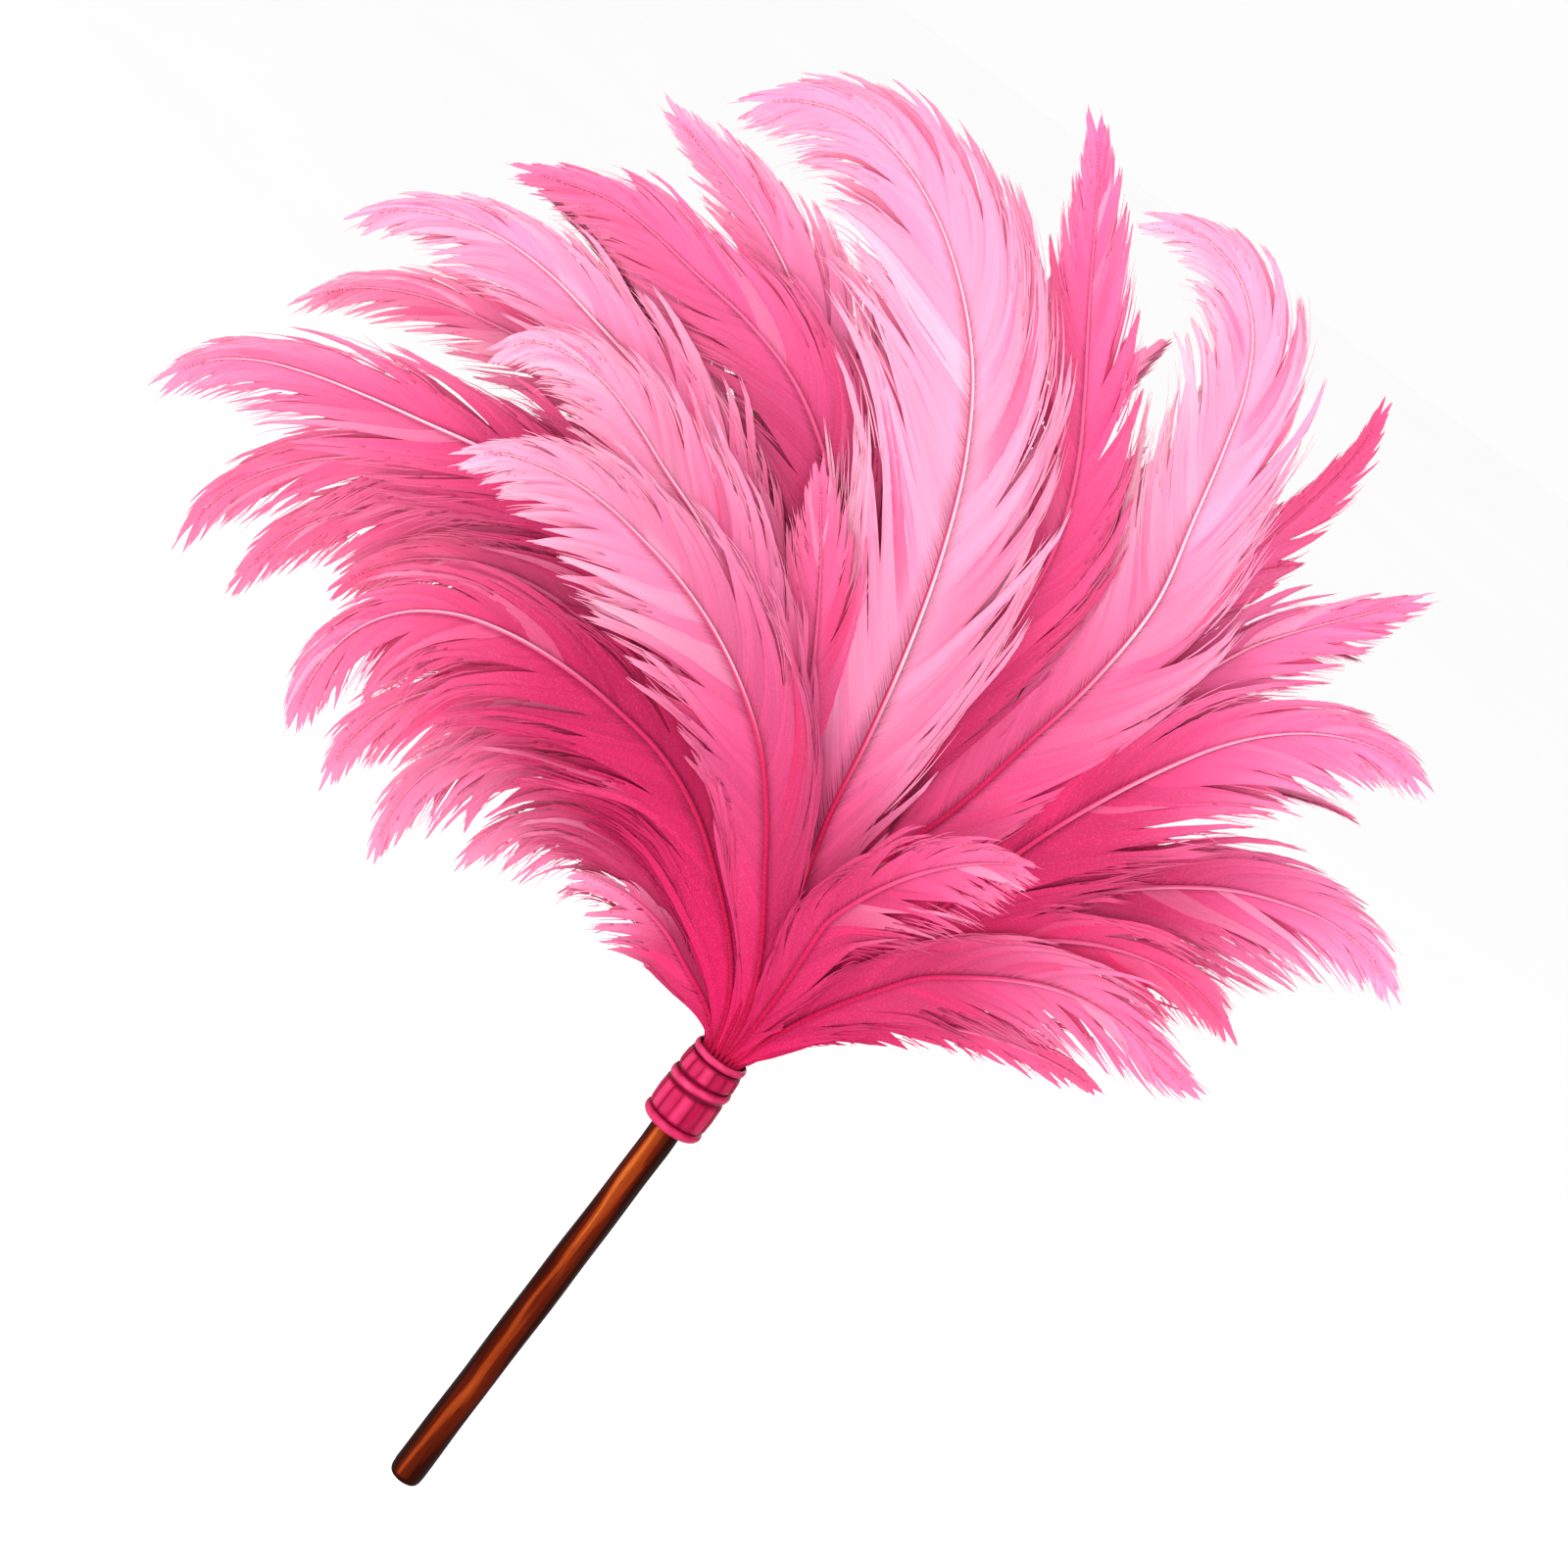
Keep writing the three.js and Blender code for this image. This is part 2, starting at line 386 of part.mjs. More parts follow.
    [-32.06, -10.75, 276.43, 0.267, -0.944, 0.192, 4.5, 4.5],
    [-46.94, -11.87, 288.18, 0.277, -0.917, 0.287, 7, 7],
    [-64.91, -13.2, 300.29, 0.338, -0.875, 0.346, 9.5, 9.5],
    [-86.18, -17.92, 311.22, 0.364, -0.844, 0.394, 11.9, 11.9],
    [-108.81, -23.8, 318.19, 0.304, -0.833, 0.462, 13.7, 13.7],
    [-132.31, -29.99, 319.84, 0.195, -0.836, 0.513, 15.4, 15.4],
    [-152.8, -35.63, 315.64, 0.073, -0.849, 0.523, 15.7, 15.7],
    [-169.16, -40.72, 307.56, -0.032, -0.87, 0.492, 15.4, 15.4],
    [-180.58, -45.21, 296.92, -0.109, -0.895, 0.433, 14.8, 14.8],
    [-188.24, -49.39, 284.85, -0.146, -0.915, 0.375, 13.1, 13.1],
    [-192.52, -53.28, 272.6, -0.158, -0.932, 0.327, 10.4, 10.4],
    [-193.53, -56.86, 261, -0.157, -0.946, 0.284, 6.6, 6.6],
    [-191.48, -60, 250.85, -0.154, -0.952, 0.264, 0.9, 0.9],
  ] },
  feather_left_low: { root: [-8.88, -1.08], tone: 0.30, at: [
    [-8.88, -1.08, 235.5, 0.1, -0.995, -0.009, 0.9, 0.9],
    [-11.24, -1.37, 242.15, 0.123, -0.992, -0.002, 0.9, 0.9],
    [-15.39, -1.92, 250.58, 0.188, -0.982, 0.035, 0.9, 0.9],
    [-22.17, -2.83, 260.14, 0.272, -0.954, 0.123, 1.8, 2.2],
    [-32.24, -4.21, 269.92, 0.324, -0.913, 0.249, 3.7, 4.5],
    [-45.87, -6.11, 278.96, 0.338, -0.86, 0.382, 5.8, 7],
    [-62.62, -8.46, 287.23, 0.334, -0.799, 0.5, 7.9, 9.5],
    [-82, -10.95, 295.39, 0.259, -0.779, 0.571, 9.9, 11.9],
    [-102.68, -12.86, 299.37, 0.115, -0.778, 0.618, 11.5, 13.7],
    [-123.67, -14.88, 298.16, -0.04, -0.787, 0.615, 12.8, 15.4],
    [-141.02, -17.13, 291.43, -0.194, -0.814, 0.548, 13.1, 15.7],
    [-153.49, -19.36, 280.98, -0.299, -0.851, 0.432, 12.9, 15.4],
    [-161.04, -21.36, 269.27, -0.34, -0.889, 0.306, 12.3, 14.8],
    [-164.84, -23.24, 257.07, -0.334, -0.92, 0.206, 10.9, 13.1],
    [-165.75, -24.98, 245.48, -0.309, -0.941, 0.14, 8.6, 10.4],
    [-164.74, -26.56, 235.06, -0.281, -0.954, 0.101, 5.5, 6.6],
    [-162.5, -28, 226.03, -0.266, -0.96, 0.087, 0.9, 0.9],
  ] },
  feather_left_low_short: { root: [-8.88, 1.08], tone: 0.30, at: [
    [-8.88, 1.08, 235.5, 0.078, -0.995, 0.057, 0.9, 0.9],
    [-10.61, 1.21, 240.17, 0.099, -0.993, 0.065, 0.9, 0.9],
    [-13.75, 1.28, 246.02, 0.16, -0.981, 0.106, 0.9, 0.9],
    [-18.86, 1.21, 252.55, 0.236, -0.95, 0.202, 1.8, 1.3],
    [-26.37, 0.92, 259.06, 0.278, -0.902, 0.33, 3.5, 2.6],
    [-36.33, 0.38, 265.01, 0.285, -0.838, 0.465, 5.5, 4.1],
    [-48.49, -0.36, 270.3, 0.294, -0.761, 0.578, 7.5, 5.5],
    [-62.24, -1.21, 276.11, 0.293, -0.738, 0.608, 9.4, 6.9],
    [-76.24, -2.42, 281.17, 0.226, -0.73, 0.644, 10.9, 8],
    [-90.93, -3.82, 283.22, 0.059, -0.73, 0.681, 12.2, 9],
    [-103.93, -4.83, 280.98, -0.159, -0.748, 0.645, 12.5, 9.2],
    [-114.09, -5.57, 275.48, -0.329, -0.781, 0.532, 12.2, 9],
    [-121.08, -6.16, 268.44, -0.416, -0.817, 0.4, 11.7, 8.6],
    [-126.03, -6.68, 260.79, -0.444, -0.844, 0.301, 10.4, 7.7],
    [-129.48, -7.15, 253.26, -0.447, -0.864, 0.232, 8.2, 6],
    [-131.84, -7.59, 246.18, -0.441, -0.878, 0.183, 5.2, 3.8],
    [-133.4, -8, 239.74, -0.436, -0.885, 0.162, 0.9, 0.9],
  ] },
  feather_left_neck_short: { root: [-5.93, -6.7], tone: 0.30, at: [
    [-5.93, -6.7, 235.5, 0.137, -0.975, -0.174, 0.9, 0.9],
    [-6.82, -7.35, 238.42, 0.185, -0.972, -0.142, 0.9, 0.9],
    [-8.68, -8.18, 242.05, 0.261, -0.965, -0.041, 0.9, 0.9],
    [-11.88, -9.04, 246.06, 0.314, -0.943, 0.106, 1.1, 0.9],
    [-16.58, -9.9, 250.09, 0.327, -0.91, 0.254, 2.2, 1.5],
    [-22.76, -10.76, 253.86, 0.32, -0.868, 0.381, 3.5, 2.3],
    [-30.21, -11.67, 257.51, 0.367, -0.813, 0.453, 4.8, 3.2],
    [-38.29, -13.27, 261.94, 0.452, -0.784, 0.427, 5.9, 4],
    [-46.08, -15.97, 266.41, 0.477, -0.76, 0.44, 6.9, 4.6],
    [-54.35, -18.81, 269.79, 0.434, -0.747, 0.504, 7.7, 5.1],
    [-61.96, -21.56, 271.78, 0.385, -0.735, 0.557, 7.9, 5.2],
    [-68.72, -24.13, 272.72, 0.336, -0.729, 0.596, 7.7, 5.1],
    [-74.54, -26.4, 272.94, 0.285, -0.727, 0.625, 7.4, 4.9],
    [-79.85, -28.55, 272.65, 0.236, -0.727, 0.644, 6.6, 4.4],
    [-84.62, -30.54, 271.97, 0.19, -0.729, 0.657, 5.2, 3.5],
    [-88.83, -32.36, 271.01, 0.146, -0.732, 0.665, 3.3, 2.2],
    [-92.49, -34, 269.88, 0.124, -0.735, 0.667, 0.9, 0.9],
  ] },
  feather_top_left_dark: { root: [-0, -6.7], tone: 0.55, at: [
    [-0, -6.7, 235.5, -0.008, -0.984, -0.178, 0.9, 0.9],
    [-0.51, -8.97, 248.1, 0.016, -0.992, -0.121, 0.9, 0.9],
    [-2.81, -10.34, 264.96, 0.028, -1, -0.012, 0.9, 0.9],
    [-7.97, -9.64, 285.65, -0.003, -0.995, 0.1, 2.5, 2],
    [-16.89, -5.87, 309.37, -0.038, -0.991, 0.126, 5, 4.1],
    [-28.05, -2.37, 336.85, -0.042, -0.998, 0.041, 7.8, 6.4],
    [-41.5, -2.39, 368.27, -0.052, -0.998, -0.026, 10.7, 8.7],
    [-59.03, -2.45, 402.48, -0.04, -0.999, -0.028, 13.4, 10.9],
    [-81.09, -2.65, 433.9, -0.009, -1, -0.018, 15.5, 12.6],
    [-109.39, -3.07, 459.83, 0.013, -1, -0.004, 17.3, 14.1],
    [-138.59, -3.57, 477.47, 0.022, -1, 0.01, 17.7, 14.4],
    [-167.32, -4.07, 485.43, 0.02, -1, 0.013, 17.4, 14.2],
    [-192.8, -4.51, 488.15, 0.019, -1, 0.012, 16.6, 13.5],
    [-216.09, -4.93, 491.24, 0.019, -1, 0.009, 14.8, 12],
    [-237.37, -5.33, 491.53, 0.02, -1, -0.009, 11.7, 9.5],
    [-255.84, -5.68, 486.35, 0.029, -0.999, -0.031, 7.4, 6],
    [-271.88, -6, 480.57, 0.033, -0.999, -0.036, 0.9, 0.9],
  ] },
  feather_top_left_light: { root: [3.94, -5.42], tone: 0.75, at: [
    [3.94, -5.42, 235.5, -0.07, -0.989, -0.134, 0.9, 0.9],
    [4.92, -7.16, 247.79, -0.036, -0.995, -0.088, 0.9, 0.9],
    [4.25, -7.99, 264.35, -0.006, -1, -0.008, 0.9, 0.9],
    [0.58, -7.41, 284.87, -0.022, -0.996, 0.087, 3, 2],
    [-7.32, -3.87, 308.28, -0.067, -0.988, 0.137, 5.9, 4.1],
    [-17.68, 0.75, 335.06, -0.096, -0.991, 0.089, 9, 6.4],
    [-30.4, 3.47, 365.61, -0.122, -0.992, 0.039, 12.6, 8.7],
    [-49.15, 7.08, 397.67, -0.121, -0.992, 0.038, 16.2, 10.9],
    [-72.02, 10.86, 426.91, -0.109, -0.993, 0.036, 18.9, 12.6],
    [-97.74, 14.48, 453.72, -0.101, -0.994, 0.033, 21.1, 14.1],
    [-122.84, 17.59, 475.22, -0.096, -0.995, 0.029, 21.6, 14.4],
    [-146.02, 20.27, 492.54, -0.095, -0.995, 0.026, 21.2, 14.2],
    [-166.87, 22.58, 505.96, -0.095, -0.995, 0.02, 20.3, 13.5],
    [-187.48, 24.7, 515.53, -0.098, -0.995, 0.007, 18, 12],
    [-207.21, 26.65, 521.65, -0.099, -0.995, -0.008, 14.2, 9.5],
    [-225.49, 28.41, 525.08, -0.1, -0.995, -0.016, 9, 6],
    [-241.65, 30, 528.5, -0.1, -0.995, -0.013, 1.1, 0.9],
  ] },
  feather_top_right_dark: { root: [5.42, -3.94], tone: 0.45, at: [
    [5.42, -3.94, 235.5, -0.092, -0.992, -0.09, 0.9, 0.9],
    [7.17, -5.24, 247.99, -0.066, -0.996, -0.061, 0.9, 0.9],
    [7.96, -5.92, 264.86, -0.028, -1, 0.002, 0.9, 0.9],
    [6.65, -5.15, 285.91, -0.003, -0.997, 0.078, 2, 2.2],
    [2.2, -2.31, 310.7, 0.004, -0.996, 0.093, 4, 4.2],
    [-2.56, -0.18, 339.76, 0.004, -1, -0.005, 6.1, 6.2],
    [-4.57, -2.68, 373.42, -0.002, -0.996, -0.088, 8.5, 8.9],
    [-7.26, -6.47, 411.19, 0.006, -0.995, -0.098, 10.8, 11.8],
    [-11.37, -10.18, 448.86, 0.014, -0.996, -0.092, 12.6, 13.7],
    [-15.91, -13.52, 486.49, 0.044, -0.996, -0.078, 14.1, 15.4],
    [-27.55, -16.31, 518.02, 0.09, -0.995, -0.049, 14.4, 15.7],
    [-42.49, -18.75, 543.45, 0.11, -0.993, -0.029, 14.2, 15.4],
    [-56.37, -20.88, 564.58, 0.114, -0.993, -0.027, 13.5, 14.8],
    [-68.9, -22.88, 584.07, 0.114, -0.993, -0.031, 12, 13.1],
    [-79.88, -24.74, 602.05, 0.115, -0.993, -0.032, 9.5, 10.4],
    [-90.3, -26.45, 617.87, 0.123, -0.992, -0.022, 6, 6.6],
    [-101.12, -28, 630.75, 0.127, -0.992, -0.012, 0.9, 0.9],
  ] },
  feather_right_pointed: { root: [6.7, 0], tone: 0.40, at: [
    [6.7, 0, 235.5, -0.093, -0.995, 0.028, 0.9, 0.9],
    [8.96, 0.1, 246.46, -0.084, -0.996, 0.037, 0.9, 0.9],
    [11.41, 0.56, 261.18, -0.077, -0.994, 0.082, 0.9, 0.9],
    [13.65, 2.48, 279.56, -0.09, -0.989, 0.12, 1.2, 1.1],
    [15.03, 5.16, 301.73, -0.119, -0.985, 0.123, 2.6, 2.5],
    [16.42, 8.13, 327.63, -0.173, -0.977, 0.123, 4.3, 4],
    [22.95, 10.65, 356.63, -0.231, -0.964, 0.133, 5.9, 5.5],
    [30.21, 13.34, 389.32, -0.239, -0.962, 0.128, 7.4, 6.9],
    [35.61, 16.28, 422.34, -0.233, -0.965, 0.121, 8.6, 8],
    [38.84, 19.6, 455.6, -0.228, -0.966, 0.121, 9.6, 9],
    [41.03, 22.87, 485.19, -0.228, -0.964, 0.136, 9.8, 9.2],
    [44.93, 25.94, 510.83, -0.227, -0.96, 0.16, 9.7, 9],
    [49.78, 28.7, 532.51, -0.225, -0.958, 0.175, 9.2, 8.6],
    [54.29, 31.32, 552.36, -0.226, -0.959, 0.171, 8.2, 7.7],
    [57.15, 33.75, 570.62, -0.23, -0.961, 0.151, 6.5, 6],
    [57.6, 36, 587.24, -0.232, -0.966, 0.117, 4.1, 3.8],
    [55.22, 38, 601.81, -0.231, -0.968, 0.095, 0.9, 0.9],
  ] },
  feather_right_upper: { root: [6.37, -2.07], tone: 0.60, at: [
    [6.37, -2.07, 235.5, -0.109, -0.993, -0.034, 0.9, 0.9],
    [8.46, -2.64, 245.44, -0.105, -0.994, -0.019, 0.9, 0.9],
    [11.18, -3.02, 258.71, -0.108, -0.994, 0.03, 0.9, 0.9],
    [14.44, -2.4, 275.04, -0.135, -0.987, 0.085, 1.9, 2.7],
    [18.21, -0.87, 294.73, -0.176, -0.977, 0.12, 3.6, 5.7],
    [22.52, 1.38, 317.84, -0.234, -0.965, 0.117, 5.8, 9.4],
    [27.81, 2.8, 344.41, -0.304, -0.947, 0.103, 8.5, 13],
    [34.36, 3.74, 374.32, -0.323, -0.941, 0.101, 10.9, 16.3],
    [41.24, 4.64, 404.2, -0.323, -0.941, 0.1, 12.6, 18.9],
    [47.87, 5.45, 434.12, -0.325, -0.94, 0.106, 14.1, 21.1],
    [55.03, 6.18, 460.36, -0.327, -0.937, 0.126, 14.4, 21.6],
    [62.49, 6.89, 482.92, -0.326, -0.932, 0.159, 14.2, 21.2],
    [71.05, 7.57, 501.34, -0.313, -0.925, 0.215, 13.5, 20.3],
    [81.67, 8.24, 516.65, -0.293, -0.92, 0.259, 12, 18],
    [92.19, 8.87, 529.93, -0.285, -0.919, 0.272, 9.5, 14.2],
    [101.7, 9.46, 541.84, -0.288, -0.919, 0.268, 6, 9],
    [109.78, 10, 552.7, -0.292, -0.92, 0.262, 0.9, 1.1],
  ] },
  feather_right_middle: { root: [7.37, -5.08], tone: 0.62, at: [
    [7.37, -5.08, 235.5, -0.147, -0.982, -0.114, 0.9, 0.9],
    [9.69, -6.53, 244.94, -0.142, -0.985, -0.095, 0.9, 0.9],
    [12.8, -7.99, 257.58, -0.145, -0.987, -0.068, 0.9, 0.9],
    [16.71, -9.54, 273.6, -0.162, -0.987, -0.021, 2.6, 3],
    [21.44, -10.16, 292.81, -0.181, -0.983, 0.041, 5.1, 6.2],
    [27, -9.72, 315.14, -0.225, -0.973, 0.043, 7.5, 9.6],
    [33.93, -10.93, 340.4, -0.288, -0.957, 0.002, 9.7, 13.1],
    [41.66, -14.04, 368.62, -0.31, -0.951, -0.018, 12.9, 16.3],
    [49.93, -17.22, 396.61, -0.321, -0.947, -0.005, 15.9, 18.9],
    [60.16, -20.64, 423.88, -0.336, -0.942, 0.014, 17.9, 21.1],
    [70.92, -23.94, 447.42, -0.349, -0.937, 0.036, 18.4, 21.6],
    [81.88, -27.07, 467.22, -0.36, -0.93, 0.078, 18, 21.2],
    [93.99, -29.95, 482.36, -0.358, -0.923, 0.145, 17.2, 20.3],
    [107.37, -32.73, 494.05, -0.333, -0.918, 0.215, 15.3, 18],
    [121.48, -35.37, 501.83, -0.279, -0.917, 0.284, 12.1, 14.2],
    [135.55, -37.83, 505.27, -0.188, -0.924, 0.334, 7.7, 9],
    [148.35, -40, 504.18, -0.129, -0.93, 0.343, 0.9, 1.1],
  ] },
  feather_right_lower: { root: [8.88, 1.08], tone: 0.55, at: [
    [8.88, 1.08, 235.5, -0.111, -0.992, 0.062, 0.9, 0.9],
    [11.46, 1.32, 244.04, -0.116, -0.992, 0.054, 0.9, 0.9],
    [15.02, 1.44, 255.38, -0.121, -0.993, 0.017, 0.9, 0.9],
    [19.59, 0.77, 269.9, -0.11, -0.994, -0.023, 2.9, 2.2],
    [25.44, -0.44, 287.04, -0.09, -0.995, -0.047, 5.8, 4.2],
    [32.67, -2.16, 306.66, -0.06, -0.997, -0.056, 9.3, 7],
    [41.79, -3.75, 328.53, -0.03, -0.999, -0.042, 13, 10.3],
    [55.22, -4.73, 351.47, -0.034, -0.999, -0.02, 16.3, 13.3],
    [70.8, -5.66, 373, -0.047, -0.999, -0.007, 18.9, 15.5],
    [88.12, -6.58, 393.17, -0.058, -0.998, 0.007, 21.1, 17.3],
    [106.02, -7.46, 408.69, -0.067, -0.998, 0.023, 21.6, 17.7],
    [123.24, -8.31, 420.25, -0.069, -0.997, 0.036, 21.2, 17.4],
    [139.56, -9.13, 427.34, -0.066, -0.997, 0.044, 20.3, 16.6],
    [155.2, -9.92, 431.97, -0.06, -0.997, 0.045, 18, 14.8],
    [169.97, -10.69, 433.04, -0.051, -0.998, 0.033, 14.2, 11.7],
    [183.07, -11.38, 430.6, -0.054, -0.999, 0.005, 9, 7.4],
    [193.75, -12, 425.5, -0.064, -0.998, -0.013, 1.1, 0.9],
  ] },
  feather_right_low: { root: [5.93, -6.7], tone: 0.50, at: [
    [5.93, -6.7, 235.5, -0.152, -0.971, -0.183, 0.9, 0.9],
    [7.31, -8.12, 241.87, -0.162, -0.971, -0.176, 0.9, 0.9],
    [9.48, -9.97, 250.3, -0.171, -0.972, -0.163, 0.9, 0.9],
    [12.79, -12.23, 260.68, -0.164, -0.975, -0.151, 1.8, 2],
    [17.63, -14.82, 272.84, -0.152, -0.979, -0.139, 3.7, 4.1],
    [24.4, -17.71, 286.56, -0.13, -0.982, -0.136, 5.8, 6.4],
    [33.13, -20.88, 301.74, -0.107, -0.982, -0.157, 7.9, 8.7],
    [43.78, -24.89, 318.18, -0.186, -0.965, -0.183, 9.9, 10.9],
    [57.35, -31.17, 331.48, -0.28, -0.944, -0.174, 11.5, 12.6],
    [71.75, -37.88, 343.65, -0.319, -0.937, -0.146, 12.8, 14.1],
    [85.78, -44.13, 352.6, -0.358, -0.929, -0.093, 13.1, 14.4],
    [99.19, -49.87, 358, -0.383, -0.923, -0.033, 12.9, 14.2],
    [111.22, -54.98, 360.65, -0.395, -0.918, 0.02, 12.3, 13.5],
    [122.44, -59.81, 361.29, -0.399, -0.915, 0.057, 10.9, 12],
    [132.62, -64.29, 361, -0.403, -0.913, 0.066, 8.6, 9.5],
    [141.76, -68.36, 361.01, -0.411, -0.91, 0.046, 5.5, 6],
    [149.81, -72, 362.01, -0.414, -0.91, 0.027, 0.9, 0.9],
  ] },
  feather_right_neck_short: { root: [8.88, -1.08], tone: 0.42, at: [
    [8.88, -1.08, 235.5, -0.141, -0.99, -0.002, 0.9, 0.9],
    [10.36, -1.3, 240.04, -0.154, -0.988, -0.006, 0.9, 0.9],
    [12.64, -1.73, 245.98, -0.175, -0.983, -0.054, 0.9, 0.9],
    [16.05, -3.05, 253.43, -0.172, -0.98, -0.101, 0.9, 0.9],
    [20.84, -4.82, 261.87, -0.152, -0.981, -0.124, 1.2, 1.7],
    [27.19, -6.98, 270.98, -0.116, -0.981, -0.154, 2.4, 3.5],
    [35.04, -9.44, 280.69, -0.055, -0.979, -0.194, 3.5, 5],
    [44.26, -11.94, 291.17, -0.061, -0.981, -0.184, 4.5, 6.4],
    [55.08, -14.29, 299.99, -0.094, -0.983, -0.159, 5.2, 7.4],
    [66.74, -16.76, 307.66, -0.122, -0.982, -0.146, 5.8, 8.3],
    [77.72, -19.1, 313.47, -0.147, -0.98, -0.134, 5.9, 8.5],
    [87.73, -21.29, 317.73, -0.169, -0.978, -0.123, 5.8, 8.4],
    [96.56, -23.27, 320.73, -0.186, -0.976, -0.113, 5.5, 8],
    [104.82, -25.16, 322.94, -0.2, -0.974, -0.104, 4.9, 7.1],
    [112.42, -26.92, 324.48, -0.21, -0.973, -0.095, 3.9, 5.6],
    [119.34, -28.54, 325.48, -0.218, -0.972, -0.088, 2.5, 3.6],
    [125.51, -30, 326.03, -0.222, -0.971, -0.084, 0.9, 0.9],
  ] },
  feather_front_right_short: { root: [2.14, -8.69], tone: 0.50, at: [
    [2.14, -8.69, 235.5, -0.075, -0.957, -0.28, 0.9, 0.9],
    [2.53, -10.51, 241.63, -0.07, -0.955, -0.289, 0.9, 0.9],
    [2.92, -13.07, 249.78, -0.053, -0.95, -0.309, 0.9, 0.9],
    [3.14, -16.49, 259.9, -0.023, -0.942, -0.335, 1.8, 1.6],
    [3.04, -20.94, 271.93, 0.015, -0.932, -0.362, 3.5, 3.2],
    [2.42, -26.56, 285.78, 0.057, -0.921, -0.385, 5.5, 4.9],
    [1.26, -33.39, 301.41, 0.072, -0.909, -0.411, 7.5, 6.7],
    [0.62, -41.61, 318.75, -0.046, -0.871, -0.489, 9.4, 8.4],
    [4.15, -52.08, 334.47, -0.226, -0.825, -0.518, 10.9, 9.7],
    [9.02, -63.15, 349.42, -0.312, -0.804, -0.506, 12.2, 10.9],
    [14.34, -73.38, 362.04, -0.389, -0.785, -0.482, 12.5, 11.2],
    [19.75, -82.63, 372.48, -0.456, -0.767, -0.451, 12.2, 10.9],
    [24.92, -90.78, 380.91, -0.516, -0.749, -0.416, 11.7, 10.4],
    [30.09, -98.45, 388.17, -0.565, -0.733, -0.378, 10.4, 9.3],
    [35.12, -105.57, 394.36, -0.607, -0.719, -0.339, 8.2, 7.3],
    [39.9, -112.1, 399.55, -0.644, -0.705, -0.297, 5.2, 4.7],
    [44.35, -118, 403.83, -0.661, -0.698, -0.275, 0.9, 0.9],
  ] },
  feather_centre_inner: { root: [-2.07, -6.37], tone: 0.40, at: [
    [-2.07, -6.37, 235.5, 0.021, -0.981, -0.192, 0.9, 0.9],
    [-2.73, -7.83, 242.88, 0.033, -0.984, -0.172, 0.9, 0.9],
    [-4.07, -9.46, 252.74, 0.05, -0.99, -0.129, 0.9, 0.9],
    [-6.57, -10.91, 264.99, 0.058, -0.996, -0.072, 1.8, 1.8],
    [-10.74, -11.77, 279.49, 0.054, -0.999, -0.007, 3.7, 3.7],
    [-17.07, -11.7, 295.94, 0.038, -0.998, 0.044, 5.8, 5.8],
    [-25.39, -10.8, 314.27, 0.033, -0.999, 0.026, 7.9, 7.8],
    [-34.7, -11.28, 334.91, 0.059, -0.998, -0.026, 9.8, 9.7],
    [-44.7, -12.99, 355.18, 0.082, -0.995, -0.05, 11.4, 11.3],
    [-55.18, -14.96, 375.19, 0.096, -0.993, -0.064, 12.8, 12.8],
    [-64.57, -17.36, 392.86, 0.113, -0.99, -0.085, 13.1, 13.1],
    [-73.08, -19.83, 408.11, 0.128, -0.987, -0.094, 12.9, 12.9],
    [-80.74, -22.12, 420.93, 0.141, -0.986, -0.094, 12.3, 12.3],
    [-88.1, -24.31, 432.46, 0.151, -0.984, -0.092, 10.9, 10.9],
    [-95.08, -26.37, 442.74, 0.16, -0.983, -0.089, 8.6, 8.6],
    [-101.61, -28.27, 451.82, 0.169, -0.982, -0.086, 5.5, 5.5],
    [-107.62, -30, 459.71, 0.173, -0.981, -0.083, 0.9, 0.9],
  ] },
  feather_left_inner: { root: [-8.37, -3.17], tone: 0.50, at: [
    [-8.37, -3.17, 235.5, 0.106, -0.992, -0.064, 0.9, 0.9],
    [-11.07, -4.01, 243.99, 0.12, -0.992, -0.045, 0.9, 0.9],
    [-15.6, -4.93, 254.99, 0.135, -0.991, -0.006, 0.9, 0.9],
    [-22.77, -5.76, 268.05, 0.135, -0.99, 0.038, 2, 2],
    [-33.34, -6.28, 282.5, 0.12, -0.99, 0.076, 4.1, 4.1],
    [-47.43, -6.46, 297.93, 0.107, -0.991, 0.083, 6.4, 6.4],
    [-64.59, -6.99, 314.54, 0.109, -0.991, 0.077, 8.7, 8.7],
    [-86.66, -8.31, 329.77, 0.112, -0.989, 0.101, 10.7, 10.9],
    [-110.96, -9.56, 341.09, 0.102, -0.986, 0.129, 11.8, 12.6],
    [-136.76, -11.09, 348.28, 0.09, -0.985, 0.146, 12.6, 14.1],
    [-160.44, -12.66, 350.48, 0.068, -0.986, 0.153, 13.6, 14.4],
    [-181.12, -14.13, 348.28, 0.043, -0.988, 0.145, 14, 14.2],
    [-198.07, -15.44, 342.72, 0.028, -0.992, 0.122, 13.5, 13.5],
    [-212.17, -16.7, 334.46, 0.031, -0.995, 0.091, 12, 12],
    [-223.16, -17.9, 324.47, 0.052, -0.997, 0.063, 9.5, 9.5],
    [-231.1, -19.01, 313.72, 0.088, -0.995, 0.044, 6, 6],
    [-236.05, -20, 302.92, 0.112, -0.993, 0.039, 0.9, 0.9],
  ] },
  feather_right_low_inner: { root: [8.37, -3.17], tone: 0.40, at: [
    [8.37, -3.17, 235.5, -0.148, -0.987, -0.062, 0.9, 0.9],
    [10.25, -3.87, 242.08, -0.152, -0.986, -0.064, 0.9, 0.9],
    [12.68, -4.83, 250.83, -0.137, -0.99, -0.021, 0.9, 0.9],
    [16.53, -5.16, 261.77, -0.113, -0.994, -0.001, 1.3, 1.2],
    [21.36, -5.83, 274.74, -0.103, -0.994, -0.027, 3.2, 2.9],
